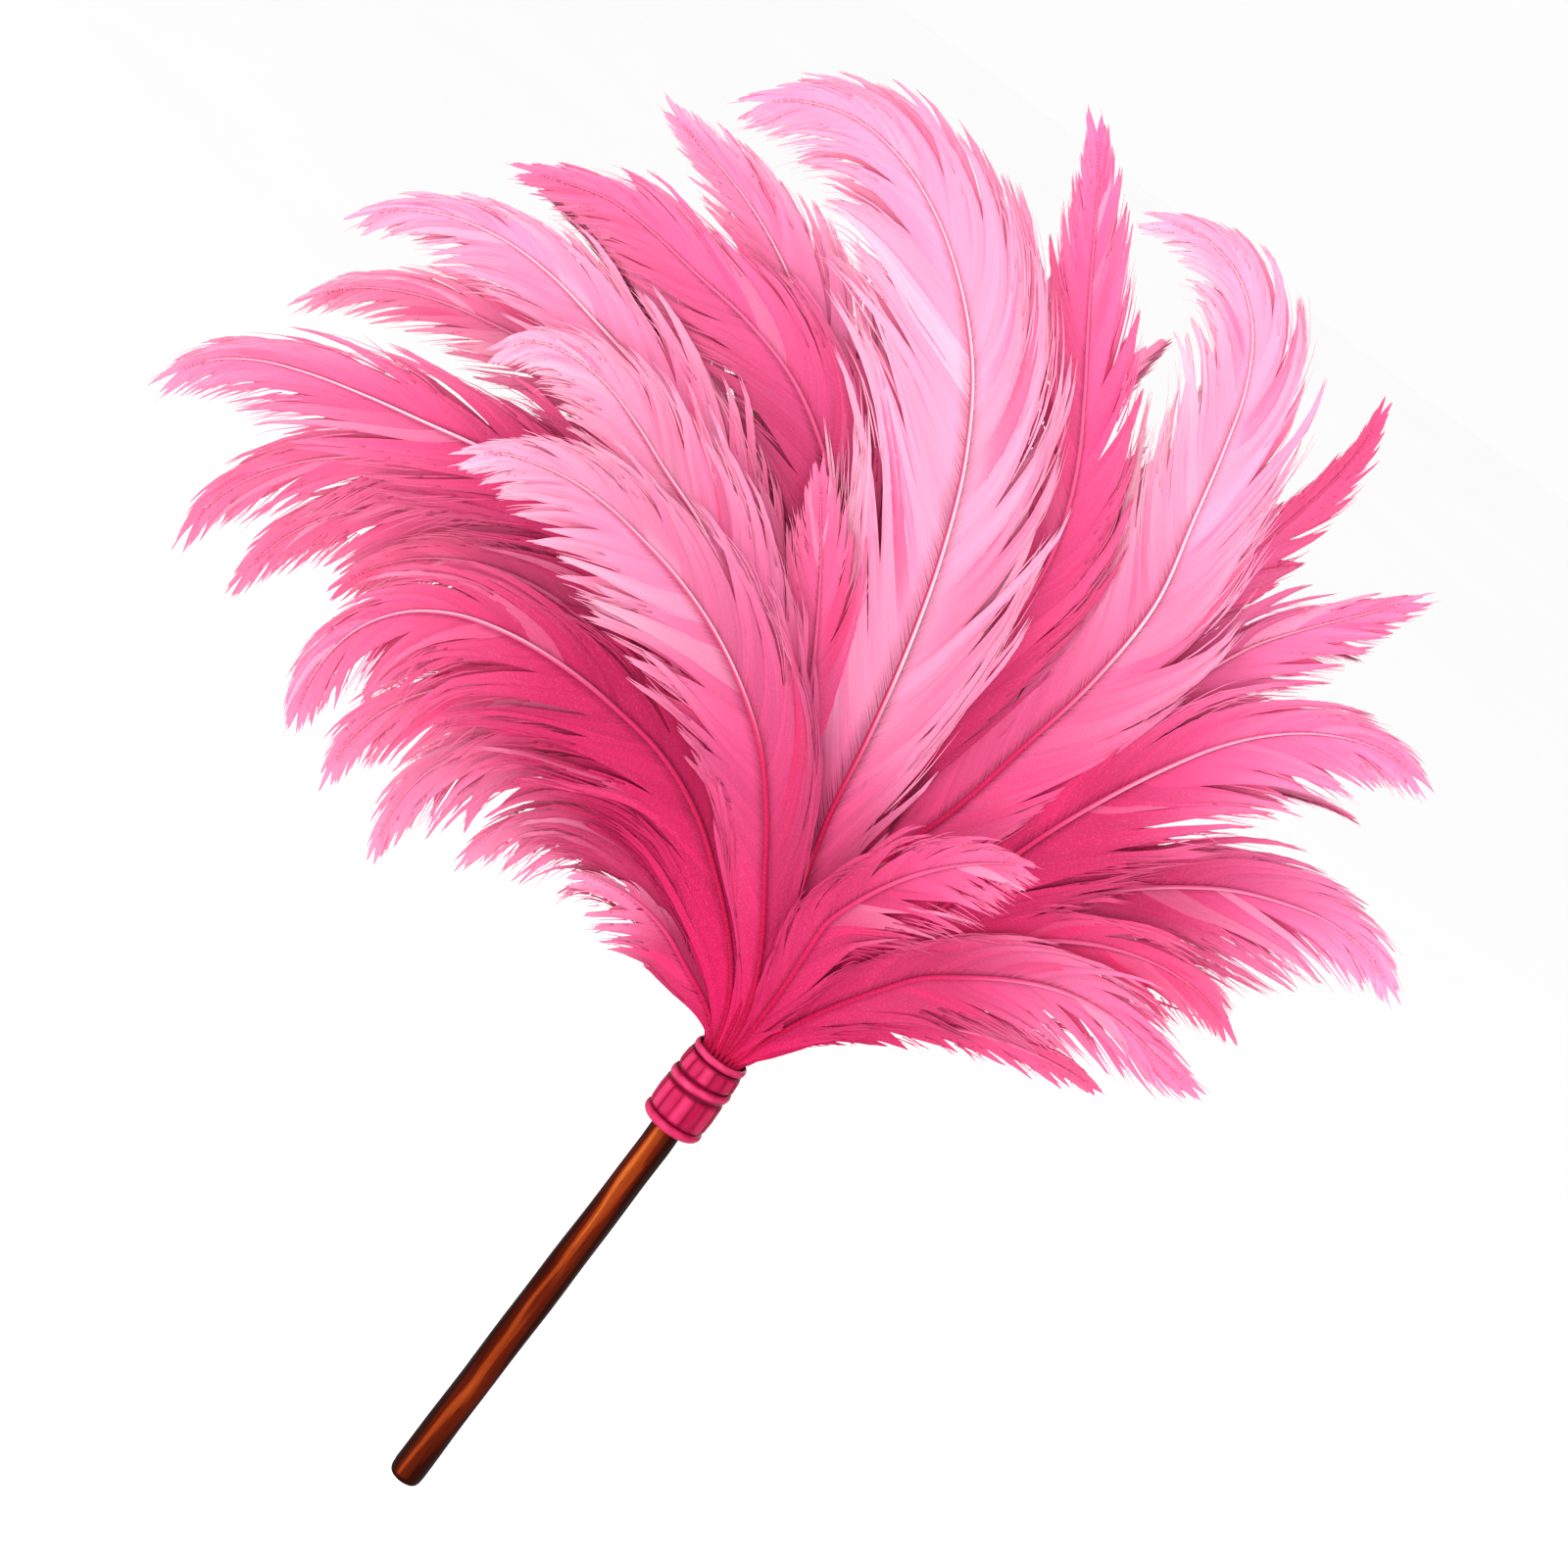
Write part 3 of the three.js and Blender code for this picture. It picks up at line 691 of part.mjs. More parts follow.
    [27.24, -7.03, 289.63, -0.089, -0.994, -0.058, 5.8, 5.2],
    [34.15, -8.81, 306.42, -0.078, -0.993, -0.09, 8.5, 7.1],
    [42.81, -11.44, 324.78, -0.131, -0.986, -0.105, 10.8, 8.6],
    [55.02, -15.26, 340.85, -0.192, -0.977, -0.089, 12.6, 10.7],
    [68.9, -19.37, 355.51, -0.221, -0.973, -0.064, 14.1, 12.7],
    [82.7, -23.26, 366.96, -0.243, -0.97, -0.031, 14.4, 13.1],
    [95.99, -26.79, 375.26, -0.254, -0.967, 0.007, 14.2, 12.9],
    [108.28, -29.87, 380.64, -0.254, -0.966, 0.045, 13.5, 12.3],
    [120.16, -32.74, 383.71, -0.246, -0.966, 0.079, 12, 10.9],
    [131.27, -35.41, 384.5, -0.232, -0.967, 0.107, 9.5, 8.6],
    [141.18, -37.85, 383.14, -0.213, -0.969, 0.124, 6, 5.5],
    [149.5, -40, 380.01, -0.202, -0.971, 0.128, 0.9, 0.9],
  ] },
  feather_back_crown_1: { root: [3.94, 5.42], tone: 0.50, at: [
    [3.94, 5.42, 235.5, 0.824, 0.542, -0.165, 0.9, 0.9],
    [4.96, 7.22, 246.48, 0.824, 0.555, -0.112, 0.9, 0.9],
    [4.98, 9.05, 261.26, 0.816, 0.578, 0.005, 0.9, 0.9],
    [2.69, 10.12, 279.68, 0.792, 0.595, 0.136, 2.4, 2.9],
    [-2.8, 10.24, 301.37, 0.769, 0.601, 0.22, 4.3, 5.8],
    [-10.67, 10.18, 326.24, 0.772, 0.601, 0.206, 7.2, 8.8],
    [-19.08, 12.85, 354.7, 0.785, 0.598, 0.164, 11.3, 12.3],
    [-28.26, 16.66, 386.71, 0.788, 0.597, 0.149, 14.8, 15.8],
    [-37.2, 20.8, 418.74, 0.792, 0.595, 0.134, 17.2, 18.3],
    [-45.78, 25.55, 450.78, 0.798, 0.593, 0.109, 19.2, 20.5],
    [-52.84, 30.73, 479.26, 0.806, 0.588, 0.069, 19.7, 21],
    [-58.32, 36.43, 504.1, 0.814, 0.581, 0.019, 19.3, 20.6],
    [-62.29, 42.43, 525.26, 0.82, 0.571, -0.038, 18.4, 19.7],
    [-65.22, 48.99, 544.44, 0.824, 0.559, -0.097, 16.4, 17.5],
    [-67.19, 55.94, 561.6, 0.824, 0.544, -0.156, 13, 13.8],
    [-68.35, 63.01, 576.75, 0.822, 0.527, -0.215, 8.2, 8.8],
    [-68.83, 70.02, 589.89, 0.82, 0.517, -0.246, 1, 1.1],
  ] },
  feather_back_crown_2: { root: [-2.07, 6.37], tone: 0.50, at: [
    [-2.07, 6.37, 235.5, 0.196, 0.967, -0.164, 0.9, 0.9],
    [-3.09, 8.48, 246.74, 0.185, 0.974, -0.128, 0.9, 0.9],
    [-5.21, 10.42, 261.78, 0.161, 0.985, -0.059, 0.9, 0.9],
    [-9.04, 11.49, 280.5, 0.133, 0.991, 0.02, 2.8, 3],
    [-15.18, 10.94, 302.62, 0.116, 0.991, 0.066, 5.6, 6],
    [-23.58, 10.05, 328.03, 0.138, 0.99, 0.007, 8.7, 9.3],
    [-35.49, 13.4, 356.04, 0.163, 0.984, -0.066, 11.9, 12.7],
    [-49.24, 18.27, 387.25, 0.171, 0.981, -0.088, 14.8, 15.8],
    [-63.16, 23.77, 418.29, 0.177, 0.979, -0.105, 17.2, 18.3],
    [-77.43, 30.02, 449.02, 0.185, 0.974, -0.129, 19.2, 20.5],
    [-90.61, 36.57, 475.88, 0.196, 0.967, -0.162, 19.7, 21],
    [-102.67, 43.49, 498.79, 0.21, 0.956, -0.205, 19.3, 20.6],
    [-113.48, 50.56, 517.78, 0.225, 0.941, -0.253, 18.4, 19.7],
    [-123.79, 58.13, 534.5, 0.241, 0.922, -0.303, 16.4, 17.5],
    [-133.5, 66.03, 548.98, 0.256, 0.9, -0.353, 13, 13.8],
    [-142.47, 73.97, 561.35, 0.27, 0.875, -0.402, 8.2, 8.8],
    [-150.64, 81.76, 571.7, 0.278, 0.86, -0.429, 1, 1.1],
  ] },
  feather_back_upper_1: { root: [6.37, 2.07], tone: 0.50, at: [
    [6.37, 2.07, 235.5, 0.905, 0.381, -0.187, 0.9, 0.9],
    [8.21, 2.81, 245.88, 0.909, 0.39, -0.147, 0.9, 0.9],
    [9.51, 3.91, 259.87, 0.912, 0.405, -0.057, 0.9, 0.9],
    [9.08, 5.31, 277.41, 0.906, 0.42, 0.046, 2.6, 2.6],
    [6.03, 7.24, 298.24, 0.895, 0.428, 0.125, 4.9, 5.2],
    [0.7, 9.75, 322.21, 0.898, 0.426, 0.105, 7.2, 8],
    [-3.15, 13.86, 349.81, 0.908, 0.417, 0.024, 10.3, 10.6],
    [-5.43, 19.7, 380.91, 0.912, 0.409, -0.033, 13.6, 13.6],
    [-6.52, 26.29, 411.91, 0.912, 0.402, -0.077, 16, 16],
    [-6.34, 33.63, 442.77, 0.911, 0.393, -0.128, 17.9, 17.9],
    [-4.72, 41, 469.94, 0.905, 0.38, -0.193, 18.4, 18.4],
    [-1.74, 48.33, 493.3, 0.893, 0.362, -0.267, 18, 18],
    [2.27, 55.4, 512.82, 0.874, 0.34, -0.346, 17.2, 17.2],
    [7.29, 62.59, 530.1, 0.849, 0.316, -0.425, 15.3, 15.3],
    [13.1, 69.74, 545.12, 0.817, 0.289, -0.499, 12.1, 12.1],
    [19.32, 76.65, 557.96, 0.78, 0.261, -0.568, 7.7, 7.7],
    [25.73, 83.19, 568.67, 0.758, 0.245, -0.604, 0.9, 0.9],
  ] },
  feather_back_upper_2: { root: [2.07, 6.37], tone: 0.50, at: [
    [2.07, 6.37, 235.5, 0.628, 0.757, -0.184, 0.9, 0.9],
    [2.58, 8.61, 246.46, 0.624, 0.765, -0.157, 0.9, 0.9],
    [2.46, 11.32, 261.14, 0.617, 0.778, -0.116, 0.9, 0.9],
    [1.35, 14.51, 279.51, 0.607, 0.792, -0.061, 3, 2.9],
    [-1.77, 17.67, 301.46, 0.599, 0.801, -0.016, 6, 5.6],
    [-6.63, 21.4, 326.84, 0.609, 0.791, -0.061, 9.3, 8.2],
    [-12.61, 30.13, 354.74, 0.622, 0.77, -0.141, 12.7, 11.8],
    [-18.85, 42.05, 385.5, 0.628, 0.754, -0.192, 15.8, 15.7],
    [-24.32, 55.46, 415.77, 0.633, 0.735, -0.242, 18.3, 18.3],
    [-28.89, 70.45, 445.44, 0.636, 0.712, -0.298, 20.5, 20.5],
    [-31.92, 85.41, 471.05, 0.636, 0.679, -0.366, 21, 21],
    [-33.49, 100.14, 492.54, 0.632, 0.638, -0.44, 20.6, 20.6],
    [-33.85, 114.16, 509.97, 0.623, 0.588, -0.515, 19.7, 19.7],
    [-33.26, 128.22, 524.9, 0.609, 0.534, -0.586, 17.5, 17.5],
    [-31.88, 142.02, 537.38, 0.59, 0.476, -0.652, 13.8, 13.8],
    [-29.94, 155.2, 547.61, 0.567, 0.416, -0.711, 8.8, 8.8],
    [-27.61, 167.51, 555.71, 0.553, 0.382, -0.74, 1.1, 1.1],
  ] },
  feather_back_upper_3: { root: [0, 6.7], tone: 0.50, at: [
    [0, 6.7, 235.5, 0.279, 0.941, -0.19, 0.9, 0.9],
    [-0.3, 9.06, 246.74, 0.271, 0.948, -0.165, 0.9, 0.9],
    [-1.64, 11.75, 261.76, 0.257, 0.959, -0.12, 0.9, 0.9],
    [-4.38, 14.39, 280.67, 0.238, 0.969, -0.063, 3, 2.6],
    [-9.71, 16.4, 303.07, 0.228, 0.973, -0.031, 5.1, 4.5],
    [-17.58, 19.02, 328.61, 0.254, 0.961, -0.111, 7.1, 7.9],
    [-28.4, 27.47, 355.96, 0.286, 0.934, -0.214, 11.3, 12.2],
    [-40.82, 39.23, 385.88, 0.3, 0.917, -0.263, 16.3, 15.8],
    [-53.17, 52.54, 415.19, 0.312, 0.9, -0.305, 19.4, 18.3],
    [-65.4, 67.36, 443.81, 0.324, 0.879, -0.351, 21.8, 20.5],
    [-76.1, 82.24, 468.37, 0.338, 0.847, -0.41, 22.3, 21],
    [-85.24, 97.05, 488.77, 0.353, 0.805, -0.477, 21.9, 20.6],
    [-92.8, 111.35, 505.09, 0.367, 0.751, -0.549, 20.9, 19.7],
    [-99.43, 125.91, 518.8, 0.378, 0.689, -0.618, 18.6, 17.5],
    [-105.11, 140.4, 529.95, 0.386, 0.621, -0.682, 14.7, 13.8],
    [-109.89, 154.39, 538.8, 0.391, 0.548, -0.739, 9.3, 8.8],
    [-113.81, 167.59, 545.5, 0.392, 0.506, -0.768, 1.1, 1.1],
  ] },
  feather_back_upper_4: { root: [-3.94, 5.42], tone: 0.50, at: [
    [-3.94, 5.42, 235.5, -0.355, 0.911, -0.213, 0.9, 0.9],
    [-5.6, 7.34, 246.5, -0.354, 0.91, -0.215, 0.9, 0.9],
    [-8.52, 9.67, 261.08, -0.347, 0.907, -0.238, 0.9, 0.9],
    [-13.31, 12.91, 278.9, -0.34, 0.904, -0.259, 2.8, 2.9],
    [-20.45, 16.31, 299.93, -0.331, 0.903, -0.272, 5.6, 5.1],
    [-30.26, 20.27, 323.96, -0.285, 0.885, -0.368, 8.6, 7],
    [-45.72, 28.35, 348.45, -0.234, 0.851, -0.47, 11.8, 10.8],
    [-64.32, 38.91, 374.62, -0.207, 0.83, -0.518, 14.8, 15.4],
    [-83.63, 50.85, 399.62, -0.179, 0.806, -0.564, 17.2, 18.3],
    [-103.61, 64.23, 423.33, -0.147, 0.777, -0.612, 19.2, 20.5],
    [-122.03, 77.64, 442.88, -0.107, 0.736, -0.669, 19.7, 21],
    [-138.72, 90.87, 458.26, -0.06, 0.683, -0.728, 19.3, 20.6],
    [-153.44, 103.49, 469.73, -0.009, 0.62, -0.785, 18.4, 19.7],
    [-167.19, 116.16, 478.54, 0.043, 0.549, -0.835, 16.4, 17.5],
    [-179.82, 128.57, 484.85, 0.094, 0.474, -0.876, 13, 13.8],
    [-191.18, 140.39, 489.07, 0.143, 0.395, -0.907, 8.2, 8.8],
    [-201.18, 151.38, 491.43, 0.168, 0.352, -0.921, 1, 1.1],
  ] },
  feather_back_upper_5: { root: [-5.42, 3.94], tone: 0.50, at: [
    [-5.42, 3.94, 235.5, -0.844, 0.483, -0.231, 0.9, 0.9],
    [-7.69, 5.29, 246.62, -0.838, 0.484, -0.251, 0.9, 0.9],
    [-11.54, 6.72, 261.3, -0.825, 0.484, -0.292, 0.9, 0.9],
    [-17.63, 8.11, 279.3, -0.807, 0.484, -0.338, 2.6, 2.8],
    [-26.51, 8.98, 300.35, -0.782, 0.482, -0.395, 5.1, 5.6],
    [-38.88, 10.22, 323.91, -0.7, 0.467, -0.54, 7.7, 8.6],
    [-58.6, 14.52, 346.72, -0.605, 0.44, -0.663, 10.8, 11.8],
    [-82.64, 20.24, 370.47, -0.558, 0.425, -0.713, 13.8, 14.8],
    [-108.01, 26.64, 392.59, -0.512, 0.409, -0.755, 16, 17.2],
    [-134.59, 33.75, 413.01, -0.462, 0.391, -0.796, 17.9, 19.2],
    [-159.32, 40.78, 429.34, -0.401, 0.367, -0.839, 18.4, 19.7],
    [-181.94, 47.6, 441.68, -0.33, 0.338, -0.881, 18, 19.3],
    [-202.07, 54, 450.42, -0.252, 0.305, -0.919, 17.2, 18.4],
    [-221.05, 60.34, 456.62, -0.171, 0.268, -0.948, 15.3, 16.4],
    [-238.65, 66.47, 460.53, -0.09, 0.23, -0.969, 12.1, 13],
    [-254.66, 72.26, 462.57, -0.011, 0.191, -0.981, 7.7, 8.2],
    [-268.92, 77.61, 463.04, 0.032, 0.17, -0.985, 0.9, 1],
  ] },
  feather_back_middle_1: { root: [7.37, 5.08], tone: 0.50, at: [
    [7.37, 5.08, 235.5, 0.931, 0.253, -0.261, 0.9, 0.9],
    [9.39, 6.48, 244.07, 0.934, 0.256, -0.248, 0.9, 0.9],
    [11.85, 8.2, 255.58, 0.939, 0.26, -0.225, 0.9, 0.9],
    [14.6, 10.16, 270.07, 0.945, 0.265, -0.192, 2.4, 2.4],
    [17.25, 12.1, 287.6, 0.95, 0.271, -0.153, 4.8, 4.8],
    [19.66, 13.9, 308.2, 0.949, 0.27, -0.161, 7.6, 7.5],
    [23.41, 16.61, 331.48, 0.92, 0.245, -0.305, 10.3, 10.2],
    [33.01, 22.74, 355.65, 0.863, 0.211, -0.458, 12.9, 12.9],
    [45.16, 29.57, 378.45, 0.814, 0.186, -0.55, 14.9, 14.9],
    [59.54, 36.95, 399.71, 0.756, 0.159, -0.634, 16.6, 16.6],
    [74.35, 44.02, 416.87, 0.682, 0.127, -0.72, 17.1, 17.1],
    [89.02, 50.59, 430.03, 0.594, 0.092, -0.8, 16.7, 16.7],
    [102.91, 56.48, 439.51, 0.494, 0.054, -0.868, 16, 16],
    [116.63, 62.01, 446.44, 0.388, 0.016, -0.921, 14.2, 14.2],
    [129.82, 67.08, 451.04, 0.282, -0.02, -0.959, 11.2, 11.2],
    [142.11, 71.61, 453.71, 0.174, -0.056, -0.983, 7.1, 7.1],
    [153.28, 75.55, 454.7, 0.114, -0.075, -0.991, 0.9, 0.9],
  ] },
  feather_back_middle_2: { root: [5.42, 3.94], tone: 0.50, at: [
    [5.42, 3.94, 235.5, 0.84, 0.501, -0.209, 0.9, 0.9],
    [7.08, 5.35, 245.57, 0.841, 0.504, -0.197, 0.9, 0.9],
    [8.8, 7.51, 259.03, 0.845, 0.516, -0.14, 0.9, 0.9],
    [9.31, 9.99, 276.19, 0.845, 0.528, -0.088, 2.7, 2.8],
    [8.85, 13.69, 296.68, 0.843, 0.533, -0.077, 5.3, 5.6],
    [7.74, 18.81, 320.37, 0.843, 0.515, -0.156, 7.2, 8.7],
    [9.64, 27.48, 346.38, 0.827, 0.468, -0.31, 7.7, 11.9],
    [15.69, 40.21, 373.96, 0.799, 0.42, -0.43, 9.7, 14.8],
    [24.3, 54.61, 400.12, 0.768, 0.378, -0.517, 14.4, 17.2],
    [35.08, 70.29, 424.78, 0.732, 0.336, -0.593, 18.7, 19.2],
    [46.63, 85.3, 445.02, 0.684, 0.286, -0.671, 19.7, 19.7],
    [58.47, 99.28, 460.95, 0.626, 0.231, -0.745, 19.3, 19.3],
    [69.99, 111.81, 472.85, 0.558, 0.171, -0.812, 18.4, 18.4],
    [81.66, 123.67, 482.01, 0.483, 0.109, -0.869, 16.4, 16.4],
    [93.18, 134.65, 488.6, 0.403, 0.046, -0.914, 13, 13],
    [104.18, 144.6, 493, 0.32, -0.016, -0.947, 8.2, 8.2],
    [114.45, 153.4, 495.46, 0.273, -0.05, -0.961, 1, 1],
  ] },
  feather_back_middle_3: { root: [4.16, 7.92], tone: 0.50, at: [
    [4.16, 7.92, 235.5, 0.599, 0.755, -0.266, 0.9, 0.9],
    [5.28, 10.56, 245.52, 0.598, 0.764, -0.245, 0.9, 0.9],
    [5.92, 14.06, 258.95, 0.593, 0.776, -0.215, 0.9, 0.9],
    [5.84, 18.47, 275.66, 0.587, 0.79, -0.175, 2.8, 2.7],
    [3.81, 23.75, 295.56, 0.583, 0.801, -0.139, 5.5, 5.3],
    [0.05, 30.11, 318.52, 0.596, 0.771, -0.224, 8.3, 7.2],
    [-2.53, 42.46, 343.09, 0.605, 0.705, -0.371, 11.3, 7.8],
    [-3.78, 59.96, 368.94, 0.601, 0.651, -0.464, 14.3, 9.7],
    [-3.72, 79.42, 393.38, 0.594, 0.6, -0.537, 16.9, 14.4],
    [-2.23, 100.71, 416.2, 0.581, 0.542, -0.608, 19.2, 18.7],
    [0.5, 121.2, 434.69, 0.56, 0.469, -0.683, 19.7, 19.7],
    [4.3, 140.49, 448.87, 0.529, 0.382, -0.758, 19.3, 19.3],
    [8.81, 158.03, 459.03, 0.487, 0.282, -0.826, 18.4, 18.4],
    [14.04, 174.82, 466.33, 0.438, 0.177, -0.881, 16.4, 16.4],
    [19.74, 190.5, 471, 0.383, 0.073, -0.921, 13, 13],
    [25.57, 204.75, 473.52, 0.325, -0.029, -0.945, 8.2, 8.2],
    [31.31, 217.37, 474.17, 0.291, -0.083, -0.953, 1, 1],
  ] },
  feather_back_middle_4: { root: [2.14, 8.69], tone: 0.50, at: [
    [2.14, 8.69, 235.5, 0.259, 0.924, -0.281, 0.9, 0.9],
    [2.5, 11.53, 245.18, 0.257, 0.927, -0.274, 0.9, 0.9],
    [1.94, 15.42, 258.05, 0.255, 0.924, -0.284, 0.9, 0.9],
    [-0.12, 21.02, 273.68, 0.256, 0.924, -0.284, 2.8, 2.8],
    [-4.93, 27.76, 291.95, 0.255, 0.929, -0.267, 5.6, 5.5],
    [-12.37, 35.6, 312.76, 0.28, 0.894, -0.351, 8.7, 8.3],
    [-20.24, 49.24, 334.42, 0.318, 0.806, -0.499, 11.9, 11.3],
    [-28.21, 68.72, 356.11, 0.339, 0.73, -0.594, 14.8, 14.3],
    [-35.59, 90.17, 375.98, 0.351, 0.666, -0.659, 17.2, 16.9],
    [-42.25, 113.46, 393.83, 0.361, 0.591, -0.722, 19.2, 19.2],
    [-47.36, 135.87, 407.49, 0.369, 0.495, -0.787, 19.7, 19.7],
    [-50.93, 156.91, 417.09, 0.372, 0.383, -0.846, 19.3, 19.3],
    [-53.16, 175.96, 423.09, 0.368, 0.259, -0.893, 18.4, 18.4],
    [-54.41, 194.05, 426.44, 0.359, 0.133, -0.924, 16.4, 16.4],
    [-54.79, 210.8, 427.47, 0.343, 0.009, -0.939, 13, 13],
    [-54.52, 225.9, 426.7, 0.323, -0.111, -0.94, 8.2, 8.2],
    [-53.71, 239.14, 424.48, 0.31, -0.176, -0.934, 1, 1],
  ] },
  feather_back_middle_5: { root: [-2.14, 8.69], tone: 0.50, at: [
    [-2.14, 8.69, 235.5, -0.176, 0.941, -0.289, 0.9, 0.9],
    [-3.17, 11.54, 245.4, -0.174, 0.94, -0.294, 0.9, 0.9],
    [-5.55, 15.24, 258.47, -0.172, 0.94, -0.296, 0.9, 0.9],
    [-10.04, 19.49, 274.65, -0.169, 0.938, -0.304, 2.8, 2.8],
    [-17.53, 24.39, 293.36, -0.16, 0.931, -0.327, 5.5, 5.6],
    [-27.82, 30.4, 314.4, -0.098, 0.884, -0.457, 8.5, 8.7],
    [-41.4, 43.09, 334.66, -0.012, 0.789, -0.615, 11.7, 11.9],
    [-57.46, 61.04, 354.28, 0.04, 0.716, -0.697, 14.8, 14.8],
    [-73.73, 81.01, 371.71, 0.08, 0.652, -0.754, 17.2, 17.2],
    [-90.04, 102.74, 386.88, 0.119, 0.582, -0.805, 19.2, 19.2],
    [-104.43, 123.59, 397.96, 0.163, 0.495, -0.854, 19.7, 19.7],
    [-116.75, 143.12, 405.17, 0.209, 0.393, -0.896, 19.3, 19.3],
    [-126.91, 160.75, 409.03, 0.254, 0.279, -0.926, 18.4, 18.4],
    [-135.71, 177.52, 410.35, 0.295, 0.161, -0.942, 16.4, 16.4],
    [-143.11, 193.07, 409.49, 0.33, 0.043, -0.943, 13, 13],
    [-149.19, 207.13, 407, 0.36, -0.072, -0.93, 8.2, 8.2],
    [-153.97, 219.52, 403.24, 0.374, -0.134, -0.918, 1, 1],
  ] },
  feather_back_middle_6: { root: [-5.93, 6.7], tone: 0.50, at: [
    [-5.93, 6.7, 235.5, -0.617, 0.726, -0.304, 0.9, 0.9],
    [-8.17, 8.85, 245.17, -0.606, 0.724, -0.328, 0.9, 0.9],
    [-12.1, 11.65, 257.81, -0.581, 0.718, -0.384, 0.9, 0.9],
    [-18.61, 15.26, 272.94, -0.549, 0.708, -0.443, 2.5, 2.6],
    [-28.34, 19.35, 290.23, -0.523, 0.699, -0.487, 4.5, 5.2],
    [-41.04, 24.03, 309.66, -0.437, 0.659, -0.612, 7.7, 8],
    [-59.15, 33.34, 327.26, -0.307, 0.58, -0.755, 11.6, 11],
    [-81.49, 46.34, 343.23, -0.22, 0.519, -0.826, 14.8, 13.8],
    [-104.7, 60.72, 356.59, -0.149, 0.466, -0.872, 17.2, 16],
    [-128.49, 76.33, 367.29, -0.076, 0.407, -0.91, 19.2, 17.9],
    [-149.97, 91.28, 374.04, 0.008, 0.334, -0.943, 19.7, 18.4],
    [-168.83, 105.21, 377.17, 0.099, 0.251, -0.963, 19.3, 18],
    [-184.79, 117.72, 377.36, 0.192, 0.16, -0.968, 18.4, 17.2],
    [-198.99, 129.52, 375.23, 0.281, 0.068, -0.957, 16.4, 15.3],
    [-211.3, 140.39, 371.19, 0.362, -0.023, -0.932, 13, 12.1],
    [-221.72, 150.12, 365.88, 0.436, -0.111, -0.893, 8.2, 7.7],
    [-230.24, 158.61, 359.69, 0.473, -0.158, -0.867, 1, 0.9],
  ] },
  feather_back_middle_7: { root: [-6.37, 2.07], tone: 0.50, at: [
    [-6.37, 2.07, 235.5, -0.91, 0.324, -0.257, 0.9, 0.9],
    [-8.92, 2.81, 245.47, -0.894, 0.325, -0.309, 0.9, 0.9],
    [-13.6, 3.92, 258.37, -0.844, 0.321, -0.429, 0.9, 0.9],
    [-21.69, 6.19, 273.12, -0.774, 0.312, -0.551, 1.7, 2.1],
    [-33.72, 8.96, 289.52, -0.714, 0.304, -0.631, 3.4, 3.9],
    [-49.48, 12.15, 307.45, -0.609, 0.284, -0.74, 6.7, 6.6],
    [-71.4, 16.65, 323.47, -0.475, 0.253, -0.843, 10.7, 10],
    [-98.16, 22.21, 337.9, -0.381, 0.228, -0.896, 13.8, 12.8],
    [-125.96, 28.17, 349.61, -0.294, 0.204, -0.934, 16, 14.9],
    [-154.63, 34.64, 358.39, -0.198, 0.176, -0.964, 17.9, 16.6],
    [-180.73, 40.92, 363.19, -0.087, 0.143, -0.986, 18.4, 17.1],
    [-203.85, 46.87, 364.49, 0.031, 0.106, -0.994, 18, 16.7],
    [-223.63, 52.27, 363.05, 0.151, 0.067, -0.986, 17.2, 16],
    [-241.43, 57.39, 359.45, 0.265, 0.028, -0.964, 15.3, 14.2],
    [-257.08, 62.11, 354.15, 0.37, -0.01, -0.929, 12.1, 11.2],
    [-270.52, 66.35, 347.77, 0.467, -0.047, -0.883, 7.7, 7.1],
    [-281.72, 70.06, 340.7, 0.516, -0.066, -0.854, 0.9, 0.9],
  ] },
  feather_back_low_1: { root: [5.93, 6.7], tone: 0.50, at: [
    [5.93, 6.7, 235.5, 0.721, 0.629, -0.292, 0.9, 0.9],
    [7.29, 8.41, 242.52, 0.72, 0.625, -0.302, 0.9, 0.9],
    [8.96, 11.08, 251.8, 0.719, 0.616, -0.323, 0.9, 0.9],
    [10.82, 15.14, 263.21, 0.717, 0.603, -0.35, 2.2, 2.2],
    [12.7, 21.01, 276.55, 0.713, 0.588, -0.381, 4.5, 4.5],
    [14.47, 29.09, 291.58, 0.71, 0.575, -0.407, 7, 7],
    [16.21, 39.17, 308.3, 0.691, 0.52, -0.502, 9.5, 9.5],
    [21.04, 52.55, 324.94, 0.63, 0.397, -0.667, 11.9, 11.9],
    [29.34, 68.25, 337.99, 0.552, 0.271, -0.788, 13.7, 13.7],
    [39.18, 84.79, 348.74, 0.485, 0.178, -0.856, 15.4, 15.4],
    [49.23, 100, 355.88, 0.402, 0.071, -0.913, 15.7, 15.7],
    [59.06, 113.51, 359.72, 0.305, -0.042, -0.951, 15.4, 15.4],
    [68.18, 124.97, 360.84, 0.198, -0.158, -0.967, 14.8, 14.8],
    [76.98, 135.12, 359.87, 0.09, -0.265, -0.96, 13.1, 13.1],
    [85.17, 143.82, 357.22, -0.017, -0.365, -0.931, 10.4, 10.4],
    [92.56, 151.01, 353.35, -0.123, -0.455, -0.882, 6.6, 6.6],
    [99, 156.7, 348.66, -0.178, -0.498, -0.848, 0.9, 0.9],
  ] },
  feather_back_low_2: { root: [-0, 8.95], tone: 0.50, at: [
    [-0, 8.95, 235.5, 0.25, 0.92, -0.3, 0.9, 0.9],
    [-0.1, 11.14, 242.13, 0.259, 0.908, -0.329, 0.9, 0.9],
    [-0.53, 14.62, 250.74, 0.276, 0.88, -0.387, 0.9, 0.9],
    [-1.57, 19.93, 261.04, 0.295, 0.839, -0.458, 2.2, 2.2],
